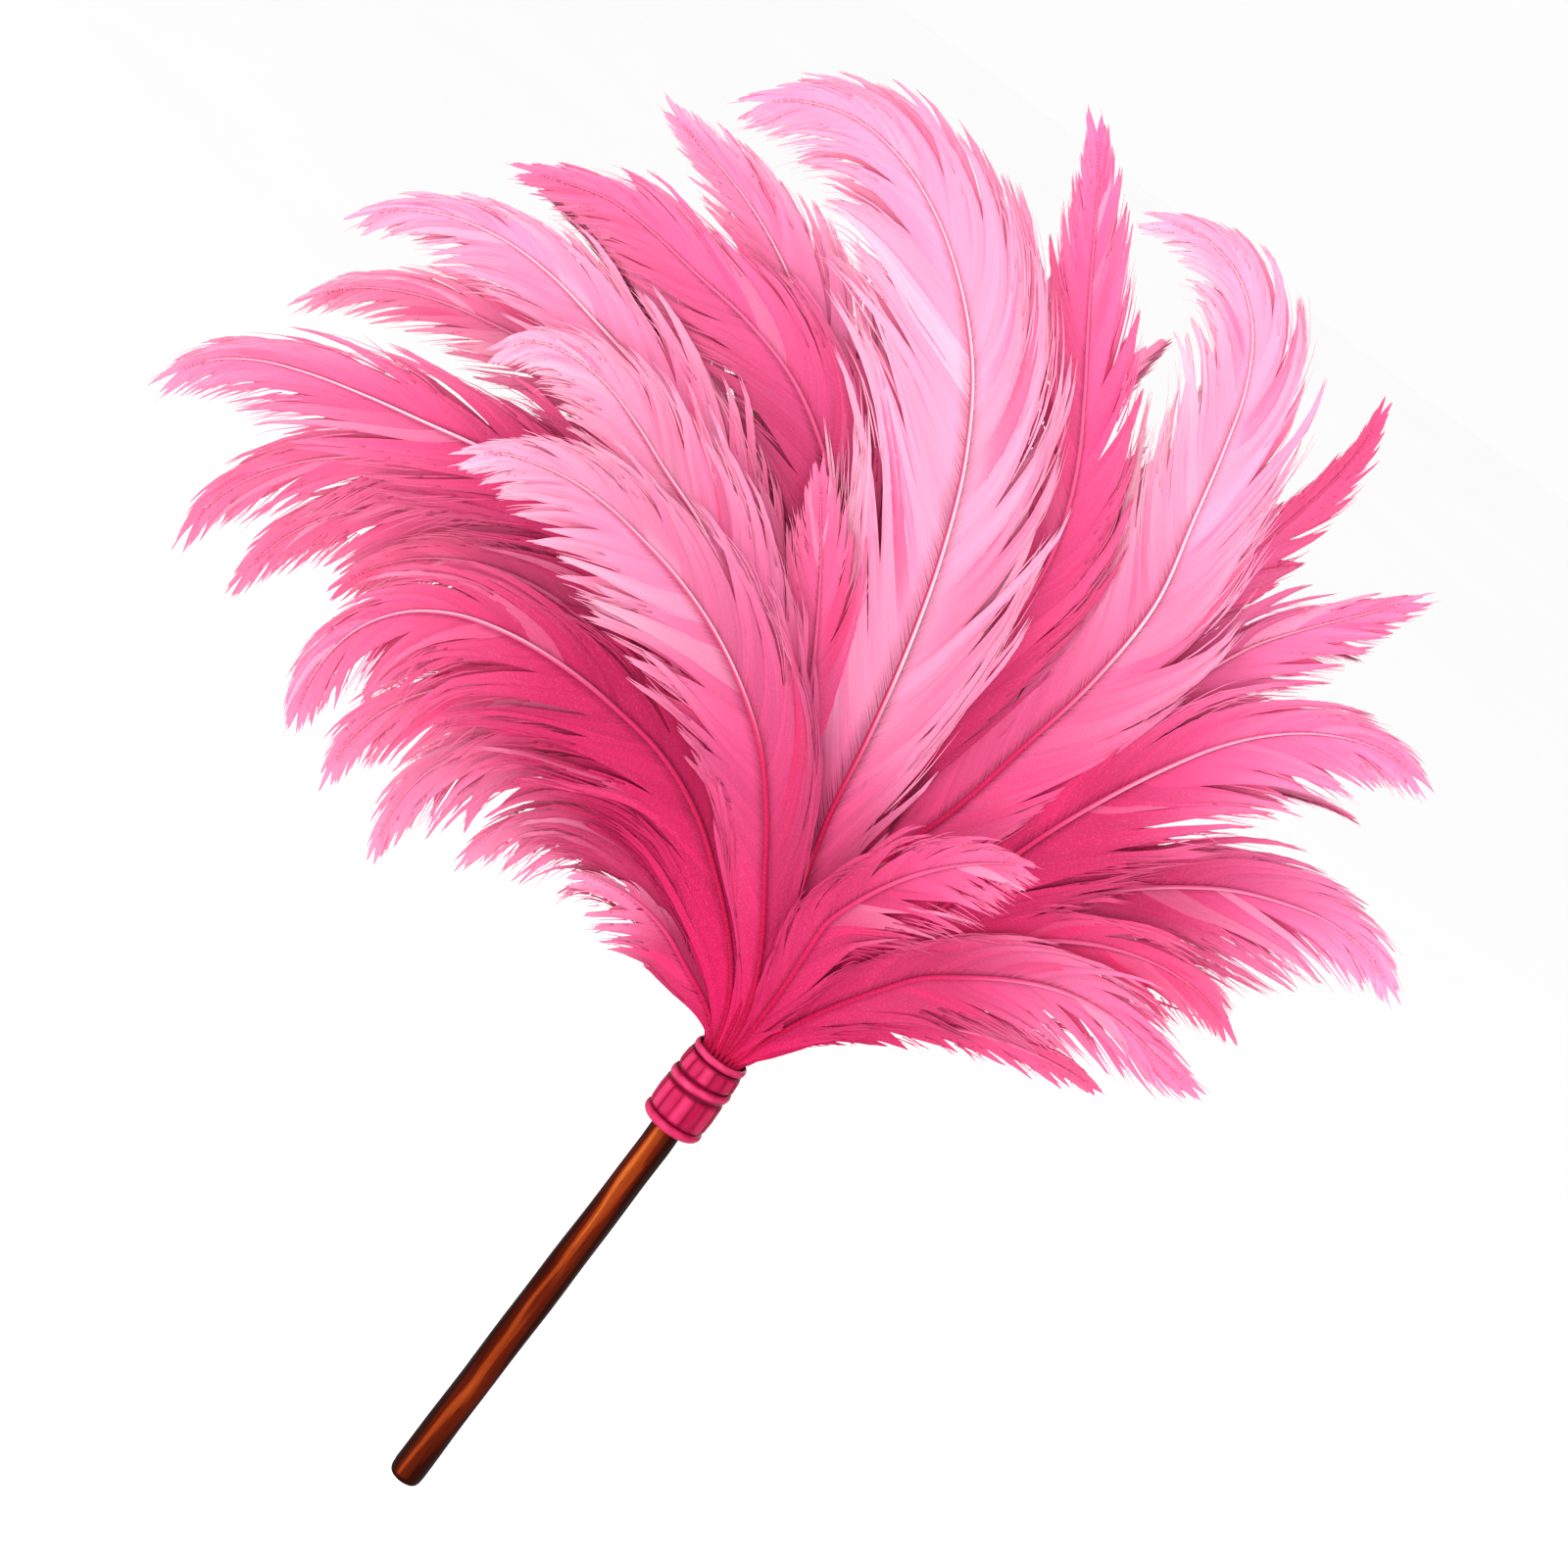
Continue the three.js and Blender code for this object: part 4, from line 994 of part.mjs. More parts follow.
    [-3.53, 27.58, 272.53, 0.314, 0.786, -0.532, 4.5, 4.5],
    [-6.62, 37.95, 284.69, 0.328, 0.737, -0.591, 7, 7],
    [-10.72, 50.81, 297.51, 0.344, 0.661, -0.667, 9.5, 9.5],
    [-14.47, 67.27, 309.67, 0.363, 0.495, -0.79, 11.9, 11.9],
    [-16.52, 86.65, 317.29, 0.367, 0.31, -0.877, 13.7, 13.7],
    [-17.61, 106.92, 322.35, 0.36, 0.177, -0.916, 15.4, 15.4],
    [-17.64, 125.41, 324.33, 0.346, 0.027, -0.938, 15.7, 15.7],
    [-16.79, 141.64, 323.65, 0.322, -0.129, -0.938, 15.4, 15.4],
    [-15.33, 155.26, 321.02, 0.289, -0.284, -0.914, 14.8, 14.8],
    [-13.35, 167.16, 316.8, 0.251, -0.427, -0.869, 13.1, 13.1],
    [-11.03, 177.22, 311.46, 0.208, -0.557, -0.804, 10.4, 10.4],
    [-8.53, 185.4, 305.43, 0.161, -0.672, -0.723, 6.6, 6.6],
    [-6, 191.73, 299.11, 0.134, -0.727, -0.674, 0.9, 0.9],
  ] },
  feather_back_low_3: { root: [-4.16, 7.92], tone: 0.50, at: [
    [-4.16, 7.92, 235.5, -0.377, 0.868, -0.324, 0.9, 0.9],
    [-5.38, 9.9, 242.2, -0.354, 0.858, -0.371, 0.9, 0.9],
    [-7.8, 13.03, 250.78, -0.305, 0.831, -0.464, 0.9, 0.9],
    [-12.12, 17.75, 260.7, -0.242, 0.786, -0.568, 2.2, 2.2],
    [-18.93, 24.37, 271.21, -0.17, 0.725, -0.667, 4.5, 4.5],
    [-28.54, 33.04, 281.5, -0.111, 0.666, -0.738, 7, 7],
    [-40.5, 43.52, 291.73, -0.034, 0.579, -0.814, 9.5, 9.5],
    [-53.92, 57.58, 300.02, 0.084, 0.427, -0.901, 11.9, 11.9],
    [-66.99, 73.95, 303.66, 0.188, 0.272, -0.944, 13.7, 13.7],
    [-79.59, 91.04, 304.55, 0.259, 0.154, -0.953, 15.4, 15.4],
    [-90.09, 106.63, 302.68, 0.331, 0.021, -0.943, 15.7, 15.7],
    [-98.43, 120.31, 298.6, 0.398, -0.117, -0.91, 15.4, 15.4],
    [-104.65, 131.78, 293.07, 0.456, -0.255, -0.853, 14.8, 14.8],
    [-109.38, 141.81, 286.31, 0.501, -0.382, -0.777, 13.1, 13.1],
    [-112.72, 150.28, 278.78, 0.533, -0.496, -0.686, 10.4, 10.4],
    [-114.82, 157.16, 270.96, 0.552, -0.598, -0.581, 6.6, 6.6],
    [-115.84, 162.5, 263.23, 0.558, -0.647, -0.52, 0.9, 0.9],
  ] },
  feather_back_low_4: { root: [-7.37, 5.08], tone: 0.50, at: [
    [-7.37, 5.08, 235.5, -0.824, 0.454, -0.338, 0.9, 0.9],
    [-9.33, 6.25, 241.86, -0.796, 0.452, -0.403, 0.9, 0.9],
    [-13.02, 7.97, 249.89, -0.725, 0.44, -0.529, 0.9, 0.9],
    [-19.28, 10.37, 258.92, -0.622, 0.414, -0.665, 2, 2],
    [-28.74, 13.49, 268.02, -0.494, 0.374, -0.785, 4.1, 4.1],
    [-41.58, 17.32, 276.29, -0.378, 0.332, -0.864, 6.4, 6.4],
    [-57.35, 21.81, 283.76, -0.268, 0.289, -0.919, 8.7, 8.7],
    [-75.66, 27.96, 289.55, -0.089, 0.212, -0.973, 10.9, 10.9],
    [-94.37, 35.69, 290.16, 0.095, 0.126, -0.987, 12.6, 12.6],
    [-112.83, 43.74, 287.98, 0.22, 0.064, -0.973, 14.1, 14.1],
    [-128.64, 51.05, 283.43, 0.352, -0.005, -0.936, 14.4, 14.4],
    [-141.58, 57.43, 277.11, 0.479, -0.077, -0.875, 14.2, 14.2],
    [-151.63, 62.74, 269.82, 0.595, -0.148, -0.79, 13.5, 13.5],
    [-159.67, 67.36, 261.61, 0.693, -0.212, -0.689, 12, 12],
    [-165.77, 71.22, 252.99, 0.772, -0.27, -0.575, 9.5, 9.5],
    [-170.08, 74.34, 244.37, 0.833, -0.321, -0.45, 6, 6],
    [-172.78, 76.72, 236.11, 0.858, -0.345, -0.38, 0.9, 0.9],
  ] },
  feather_back_low_5: { root: [8.37, 3.17], tone: 0.50, at: [
    [8.37, 3.17, 235.5, 0.917, 0.277, -0.288, 0.9, 0.9],
    [10.26, 3.95, 242.27, 0.916, 0.276, -0.292, 0.9, 0.9],
    [12.8, 5.14, 251.28, 0.914, 0.274, -0.3, 0.9, 0.9],
    [16, 6.94, 262.48, 0.911, 0.272, -0.311, 2, 2],
    [19.87, 9.54, 275.84, 0.907, 0.269, -0.323, 4.1, 4.1],
    [24.42, 13.15, 291.29, 0.904, 0.266, -0.335, 6.4, 6.4],
    [29.66, 17.74, 308.82, 0.881, 0.251, -0.401, 8.7, 8.7],
    [37.87, 23.57, 327.35, 0.79, 0.197, -0.58, 10.9, 10.9],
    [51.05, 30.65, 342.38, 0.663, 0.134, -0.737, 12.6, 12.6],
    [66.06, 38.14, 355.35, 0.568, 0.092, -0.818, 14.1, 14.1],
    [80.89, 45.06, 364.72, 0.453, 0.044, -0.891, 14.4, 14.4],
    [94.97, 51.23, 370.68, 0.322, -0.008, -0.947, 14.2, 14.2],
    [107.72, 56.5, 373.74, 0.179, -0.061, -0.982, 13.5, 13.5],
    [119.77, 61.19, 374.59, 0.037, -0.111, -0.993, 12, 12],
    [130.79, 65.24, 373.62, -0.103, -0.157, -0.982, 9.5, 9.5],
    [140.55, 68.62, 371.22, -0.239, -0.199, -0.95, 6, 6],
    [148.9, 71.31, 367.79, -0.31, -0.22, -0.925, 0.9, 0.9],
  ] },
};

const sub = (a, b) => [a[0] - b[0], a[1] - b[1], a[2] - b[2]];
const dot = (a, b) => a[0] * b[0] + a[1] * b[1] + a[2] * b[2];
const cross = (a, b) => [a[1] * b[2] - a[2] * b[1], a[2] * b[0] - a[0] * b[2], a[0] * b[1] - a[1] * b[0]];
const unit = (a) => { const l = Math.hypot(...a); return [a[0] / l, a[1] / l, a[2] / l]; };
const along = (p, ...terms) => terms.reduce((q, [v, s]) => [q[0] + v[0] * s, q[1] + v[1] * s, q[2] + v[2] * s], p);

for (const [name, feather] of Object.entries(FEATHERS)) {
  const at = feather.at;
  const rings = [];
  const section = (p, n, s, left, right, t) => {
    const dl = VANE_DROOP * Math.max(0, left - 3);
    const dr = VANE_DROOP * Math.max(0, right - 3);
    rings.push([
      along(p, [s, -left], [n, -dl]), along(p, [n, t]),
      along(p, [s, right], [n, -dr]), along(p, [n, -t]),
    ]);
  };
  at.forEach((row, k) => {
    const p = row.slice(0, 3);
    const before = at[Math.max(0, k - 1)].slice(0, 3);
    const after = at[Math.min(at.length - 1, k + 1)].slice(0, 3);
    const t = unit(sub(after, before));
    const n0 = row.slice(3, 6);
    const n = unit(along(n0, [t, -dot(n0, t)]));
    const s = cross(n, t);
    if (k === 0) section([feather.root[0], feather.root[1], QUILL_END_Z], n, s, QUILL_R, QUILL_R, QUILL_R);
    section(p, n, s, row[6], row[7], VANE_THICKNESS[k]);
  });
  add(name, loft(rings), featherMaterial(feather.tone));
}

export default duster;
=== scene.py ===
import math

import bpy
import numpy as np
from mathutils import Matrix, Vector


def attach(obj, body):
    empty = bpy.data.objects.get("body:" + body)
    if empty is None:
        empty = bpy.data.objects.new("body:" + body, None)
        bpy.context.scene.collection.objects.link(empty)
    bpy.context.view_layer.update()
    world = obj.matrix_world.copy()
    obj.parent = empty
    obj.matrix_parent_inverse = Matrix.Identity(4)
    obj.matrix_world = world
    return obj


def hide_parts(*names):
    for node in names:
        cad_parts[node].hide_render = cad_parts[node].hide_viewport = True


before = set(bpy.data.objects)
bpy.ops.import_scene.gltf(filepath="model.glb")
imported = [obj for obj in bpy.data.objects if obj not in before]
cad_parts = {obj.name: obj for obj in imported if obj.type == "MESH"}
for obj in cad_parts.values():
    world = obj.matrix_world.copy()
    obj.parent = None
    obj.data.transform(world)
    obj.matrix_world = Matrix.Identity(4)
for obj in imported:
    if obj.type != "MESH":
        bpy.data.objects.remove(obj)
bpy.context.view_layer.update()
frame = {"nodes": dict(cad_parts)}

MM = 0.001
MOUTH_Z = 235.5

# ------------------------------------------------------------------ camera
ELEV = math.radians(15.0)
look = np.array([0.0, math.cos(ELEV), -math.sin(ELEV)])
up0 = np.array([0.0, math.sin(ELEV), math.cos(ELEV)])
side0 = np.array([1.0, 0.0, 0.0])
cam_right = 0.8018 * side0 + 0.5976 * up0
cam_up = -0.5976 * side0 + 0.8018 * up0
cam_distance = 1777.78
look_at = np.array([-45.851, 26.663, 335.008])
cam_pos = look_at - look * cam_distance
cam_data = bpy.data.cameras.new("photo_view")
cam_data.lens = 100.0
cam_data.sensor_width = 36.0
cam_data.clip_end = 50.0
cam_data.dof.use_dof = False
cam = bpy.data.objects.new("photo_view", cam_data)
m = Matrix.Identity(4)
for r in range(3):
    m[r][0], m[r][1], m[r][2], m[r][3] = cam_right[r], cam_up[r], -look[r], cam_pos[r] * MM
cam.matrix_world = m
bpy.context.scene.collection.objects.link(cam)
bpy.context.scene.camera = cam

# ------------------------------------------------------------------ helpers


def srgb(c):
    c = np.asarray(c, dtype=float) / 255.0
    return np.where(c <= 0.04045, c / 12.92, ((c + 0.055) / 1.055) ** 2.4)


def link(obj):
    bpy.context.scene.collection.objects.link(obj)
    return obj


def build_mesh(name, verts, quads, tris, smooth=True):
    """A mesh object from arrays: verts in millimetres, faces as vertex numbers."""
    me = bpy.data.meshes.new(name)
    verts = np.asarray(verts, dtype=np.float32) * MM
    me.vertices.add(len(verts))
    me.vertices.foreach_set("co", verts.ravel())
    quads = np.asarray(quads, dtype=np.int32).reshape(-1, 4)
    tris = np.asarray(tris, dtype=np.int32).reshape(-1, 3)
    loops = np.concatenate([quads.ravel(), tris.ravel()]).astype(np.int32)
    starts = np.concatenate([np.arange(len(quads)) * 4, len(quads) * 4 + np.arange(len(tris)) * 3]).astype(np.int32)
    me.loops.add(len(loops))
    me.loops.foreach_set("vertex_index", loops)
    me.polygons.add(len(starts))
    me.polygons.foreach_set("loop_start", starts)
    if smooth:
        me.polygons.foreach_set("use_smooth", np.ones(len(starts), dtype=bool))
    me.update(calc_edges=True)
    me.validate()
    return link(bpy.data.objects.new(name, me))


def set_colour(obj, name, rgb):
    at = obj.data.attributes.new(name, "FLOAT_COLOR", "POINT")
    full = np.ones((len(rgb), 4), dtype=np.float32)
    full[:, :3] = rgb
    at.data.foreach_set("color", full.ravel())


def set_vector(obj, name, vec):
    at = obj.data.attributes.new(name, "FLOAT_VECTOR", "POINT")
    at.data.foreach_set("vector", np.asarray(vec, dtype=np.float32).ravel())


def smoothstep(a, b, x):
    t = np.clip((x - a) / (b - a), 0.0, 1.0)
    return t * t * (3 - 2 * t)


def unit(v):
    return v / np.maximum(np.linalg.norm(v, axis=-1, keepdims=True), 1e-9)


# ------------------------------------------------------------------ materials


class Nodes:
    """A short way to write a node material."""

    def __init__(self, name):
        self.mat = bpy.data.materials.new(name)
        self.mat.use_nodes = True
        self.tree = self.mat.node_tree
        self.tree.nodes.clear()
        self.out = self.tree.nodes.new("ShaderNodeOutputMaterial")
        self.bsdf = self.tree.nodes.new("ShaderNodeBsdfPrincipled")
        self.tree.links.new(self.bsdf.outputs[0], self.out.inputs[0])

    def add(self, kind, inputs=None, **props):
        n = self.tree.nodes.new(kind)
        for k, v in props.items():
            setattr(n, k, v)
        for k, v in (inputs or {}).items():
            self.put(n, k, v)
        return n

    def put(self, node, socket, v):
        s = node.inputs[socket]
        if isinstance(v, bpy.types.NodeSocket):
            self.tree.links.new(v, s)
        elif isinstance(v, bpy.types.Node):
            self.tree.links.new(v.outputs[0], s)
        else:
            s.default_value = v

    def ramp(self, fac, stops, interpolation="LINEAR"):
        n = self.add("ShaderNodeValToRGB", {"Fac": fac})
        n.color_ramp.interpolation = interpolation
        e = n.color_ramp.elements
        while len(e) < len(stops):
            e.new(0.5)
        for i, (p, c) in enumerate(stops):
            e[i].position = p
            e[i].color = (*c, 1.0) if len(c) == 3 else c
        return n.outputs["Color"]

    def mix(self, fac, a, b, blend="MIX"):
        n = self.add("ShaderNodeMix", data_type="RGBA", blend_type=blend)
        for i, v in ((0, fac), (6, a), (7, b)):
            s = n.inputs[i]
            if isinstance(v, bpy.types.NodeSocket):
                self.tree.links.new(v, s)
            else:
                s.default_value = v if i == 0 else (*v[:3], 1.0)
        return n.outputs[2]

    def math(self, op, a, b=0.0):
        n = self.add("ShaderNodeMath", operation=op)
        for i, v in ((0, a), (1, b)):
            if isinstance(v, bpy.types.NodeSocket):
                self.tree.links.new(v, n.inputs[i])
            else:
                n.inputs[i].default_value = v
        return n.outputs[0]

    def mapping(self, vec, scale=(1, 1, 1), location=(0, 0, 0), rotation=(0, 0, 0)):
        return self.add("ShaderNodeMapping", {"Vector": vec, "Scale": scale, "Location": location, "Rotation": rotation}).outputs[0]

    def noise(self, vec, scale, detail=4.0, rough=0.5, distort=0.0):
        return self.add("ShaderNodeTexNoise", {"Vector": vec, "Scale": scale, "Detail": detail, "Roughness": rough, "Distortion": distort}).outputs["Fac"]

    def bump(self, height, strength, distance):
        b = self.add("ShaderNodeBump", {"Height": height, "Strength": strength, "Distance": distance})
        self.put(self.bsdf, "Normal", b.outputs[0])


def plume_material():
    """Dyed plume: the dye's depth, with painted shade and some painted light, is stored on each barb; fine barbules run
    along it.
    """
    n = Nodes("dyed_plume")
    tint = n.add("ShaderNodeAttribute", attribute_name="tint").outputs["Color"]
    fib = n.add("ShaderNodeAttribute", attribute_name="fibre").outputs["Vector"]
    streak = n.noise(n.mapping(fib, (9.0, 1.2, 7.3)), 1.0, 3.0, 0.6)
    bars = n.noise(n.mapping(fib, (3.0, 40.0, 5.1)), 1.0, 2.0, 0.5)
    deep = n.add("ShaderNodeClamp", {"Value": n.math("MULTIPLY", n.math("SUBTRACT", 0.47, streak), 0.8)}).outputs[0]
    dark = n.mix(deep, tint, (0.60, 0.035, 0.14))
    light = n.add("ShaderNodeClamp", {"Value": n.math("MULTIPLY", n.math("SUBTRACT", bars, 0.55), 0.45)}).outputs[0]
    col = n.mix(light, dark, (0.95, 0.62, 0.76))
    n.put(n.bsdf, "Base Color", col)
    n.put(n.bsdf, "Roughness", n.add("ShaderNodeMapRange", {"Value": streak, "To Min": 0.62, "To Max": 0.85}).outputs[0])
    n.bsdf.inputs["Sheen Weight"].default_value = 0.02
    n.bsdf.inputs["Sheen Roughness"].default_value = 0.45
    n.bsdf.inputs["Sheen Tint"].default_value = (1.0, 0.7, 0.82, 1.0)
    n.bsdf.inputs["Specular IOR Level"].default_value = 0.0
    n.bump(n.math("ADD", streak, n.math("MULTIPLY", bars, 0.4)), 0.12, 0.0003)
    return n.mat


def wood_material():
    """Stained hardwood under lacquer with grain and pores: the dark and orange streaks that run the length of the
    handle follow painted shade and a painted highlight stored on the handle.
    """
    n = Nodes("lacquered_wood")
    pos = n.add("ShaderNodeTexCoord").outputs["Object"]
    band = n.add("ShaderNodeAttribute", attribute_name="tone_and_painted_light").outputs["Fac"]
    long = n.mapping(pos, (1.0, 1.0, 0.045))
    broad = n.noise(long, 210.0, 5.0, 0.6, 0.7)
    fine = n.noise(n.mapping(pos, (1.0, 1.0, 0.02)), 1500.0, 3.0, 0.7)
    pores = n.noise(n.mapping(pos, (1.0, 1.0, 0.05)), 2600.0, 1.0, 0.5)
    f = n.math("ADD", n.math("MULTIPLY", band, 0.92), n.math("MULTIPLY", n.math("SUBTRACT", broad, 0.5), 0.62))
    body = n.ramp(f, [(0.0, srgb((17, 3, 1))), (0.21, srgb((36, 6, 1))), (0.26, srgb((68, 15, 4))), (0.46, srgb((88, 24, 6))),
                      (0.51, srgb((128, 46, 14))), (0.70, srgb((147, 60, 20))), (0.75, srgb((177, 83, 35))), (1.0, srgb((196, 105, 52)))])
    body = n.mix(n.math("MULTIPLY", n.math("SUBTRACT", 1.0, fine), 0.34), body, srgb((58, 12, 4)))
    hole = n.ramp(pores, [(0.30, (1, 1, 1)), (0.36, (0, 0, 0))])
    body = n.mix(n.math("MULTIPLY", hole, 0.4), body, srgb((21, 3, 1)))
    n.put(n.bsdf, "Base Color", body)
    n.put(n.bsdf, "Roughness", n.add("ShaderNodeMapRange", {"Value": broad, "To Min": 0.30, "To Max": 0.46}).outputs[0])
    n.bsdf.inputs["Specular IOR Level"].default_value = 0.015
    n.bump(n.math("ADD", n.math("MULTIPLY", broad, 1.0), n.math("MULTIPLY", fine, 0.35)), 0.35, 0.0004)
    return n.mat


def collar_material(name, dark, mid, light):
    """Raspberry collar: streaked along the flutes, with a painted highlight on its crests, painted shade in its grooves
    and one side painted lighter.
    """
    n = Nodes(name)
    pos = n.add("ShaderNodeTexCoord").outputs["Object"]
    tone_and_painted_light = n.add("ShaderNodeAttribute", attribute_name="tone_and_painted_light").outputs["Fac"]
    streak = n.noise(n.mapping(pos, (1.0, 1.0, 0.12)), 420.0, 4.0, 0.6, 0.3)
    mottled = n.noise(pos, 160.0, 4.0, 0.55)
    grain = n.noise(pos, 2400.0, 2.0, 0.5)
    wear = n.math("ADD", n.math("MULTIPLY", n.math("SUBTRACT", streak, 0.5), 0.40), n.math("MULTIPLY", n.math("SUBTRACT", mottled, 0.5), 0.22))
    f = n.math("ADD", tone_and_painted_light, wear)
    col = n.ramp(f, [(0.06, srgb(dark)), (0.5, srgb(mid)), (1.0, srgb(light))])
    n.put(n.bsdf, "Base Color", col)
    n.put(n.bsdf, "Roughness", n.add("ShaderNodeMapRange", {"Value": streak, "To Min": 0.36, "To Max": 0.52}).outputs[0])
    n.bsdf.inputs["Specular IOR Level"].default_value = 0.05
    n.bump(n.math("ADD", n.math("MULTIPLY", streak, 0.8), n.math("MULTIPLY", grain, 0.15)), 0.3, 0.0004)
    return n.mat


def plain_material(name, dark, light, rough, metal, scale):
    n = Nodes(name)
    pos = n.add("ShaderNodeTexCoord").outputs["Object"]
    a = n.noise(pos, scale, 4.0, 0.55)
    n.put(n.bsdf, "Base Color", n.ramp(a, [(0.3, srgb(dark)), (0.7, srgb(light))]))
    n.put(n.bsdf, "Roughness", n.add("ShaderNodeMapRange", {"Value": a, "To Min": rough - 0.08, "To Max": rough + 0.1}).outputs[0])
    n.bsdf.inputs["Metallic"].default_value = metal
    n.bump(a, 0.3, 0.0003)
    return n.mat


PLUME = plume_material()
WOOD = wood_material()
COLLAR = collar_material("collar_pink", (96, 2, 32), (152, 14, 58), (198, 50, 98))
TRIM = collar_material("collar_trim_pink", (96, 2, 34), (154, 16, 60), (206, 62, 108))
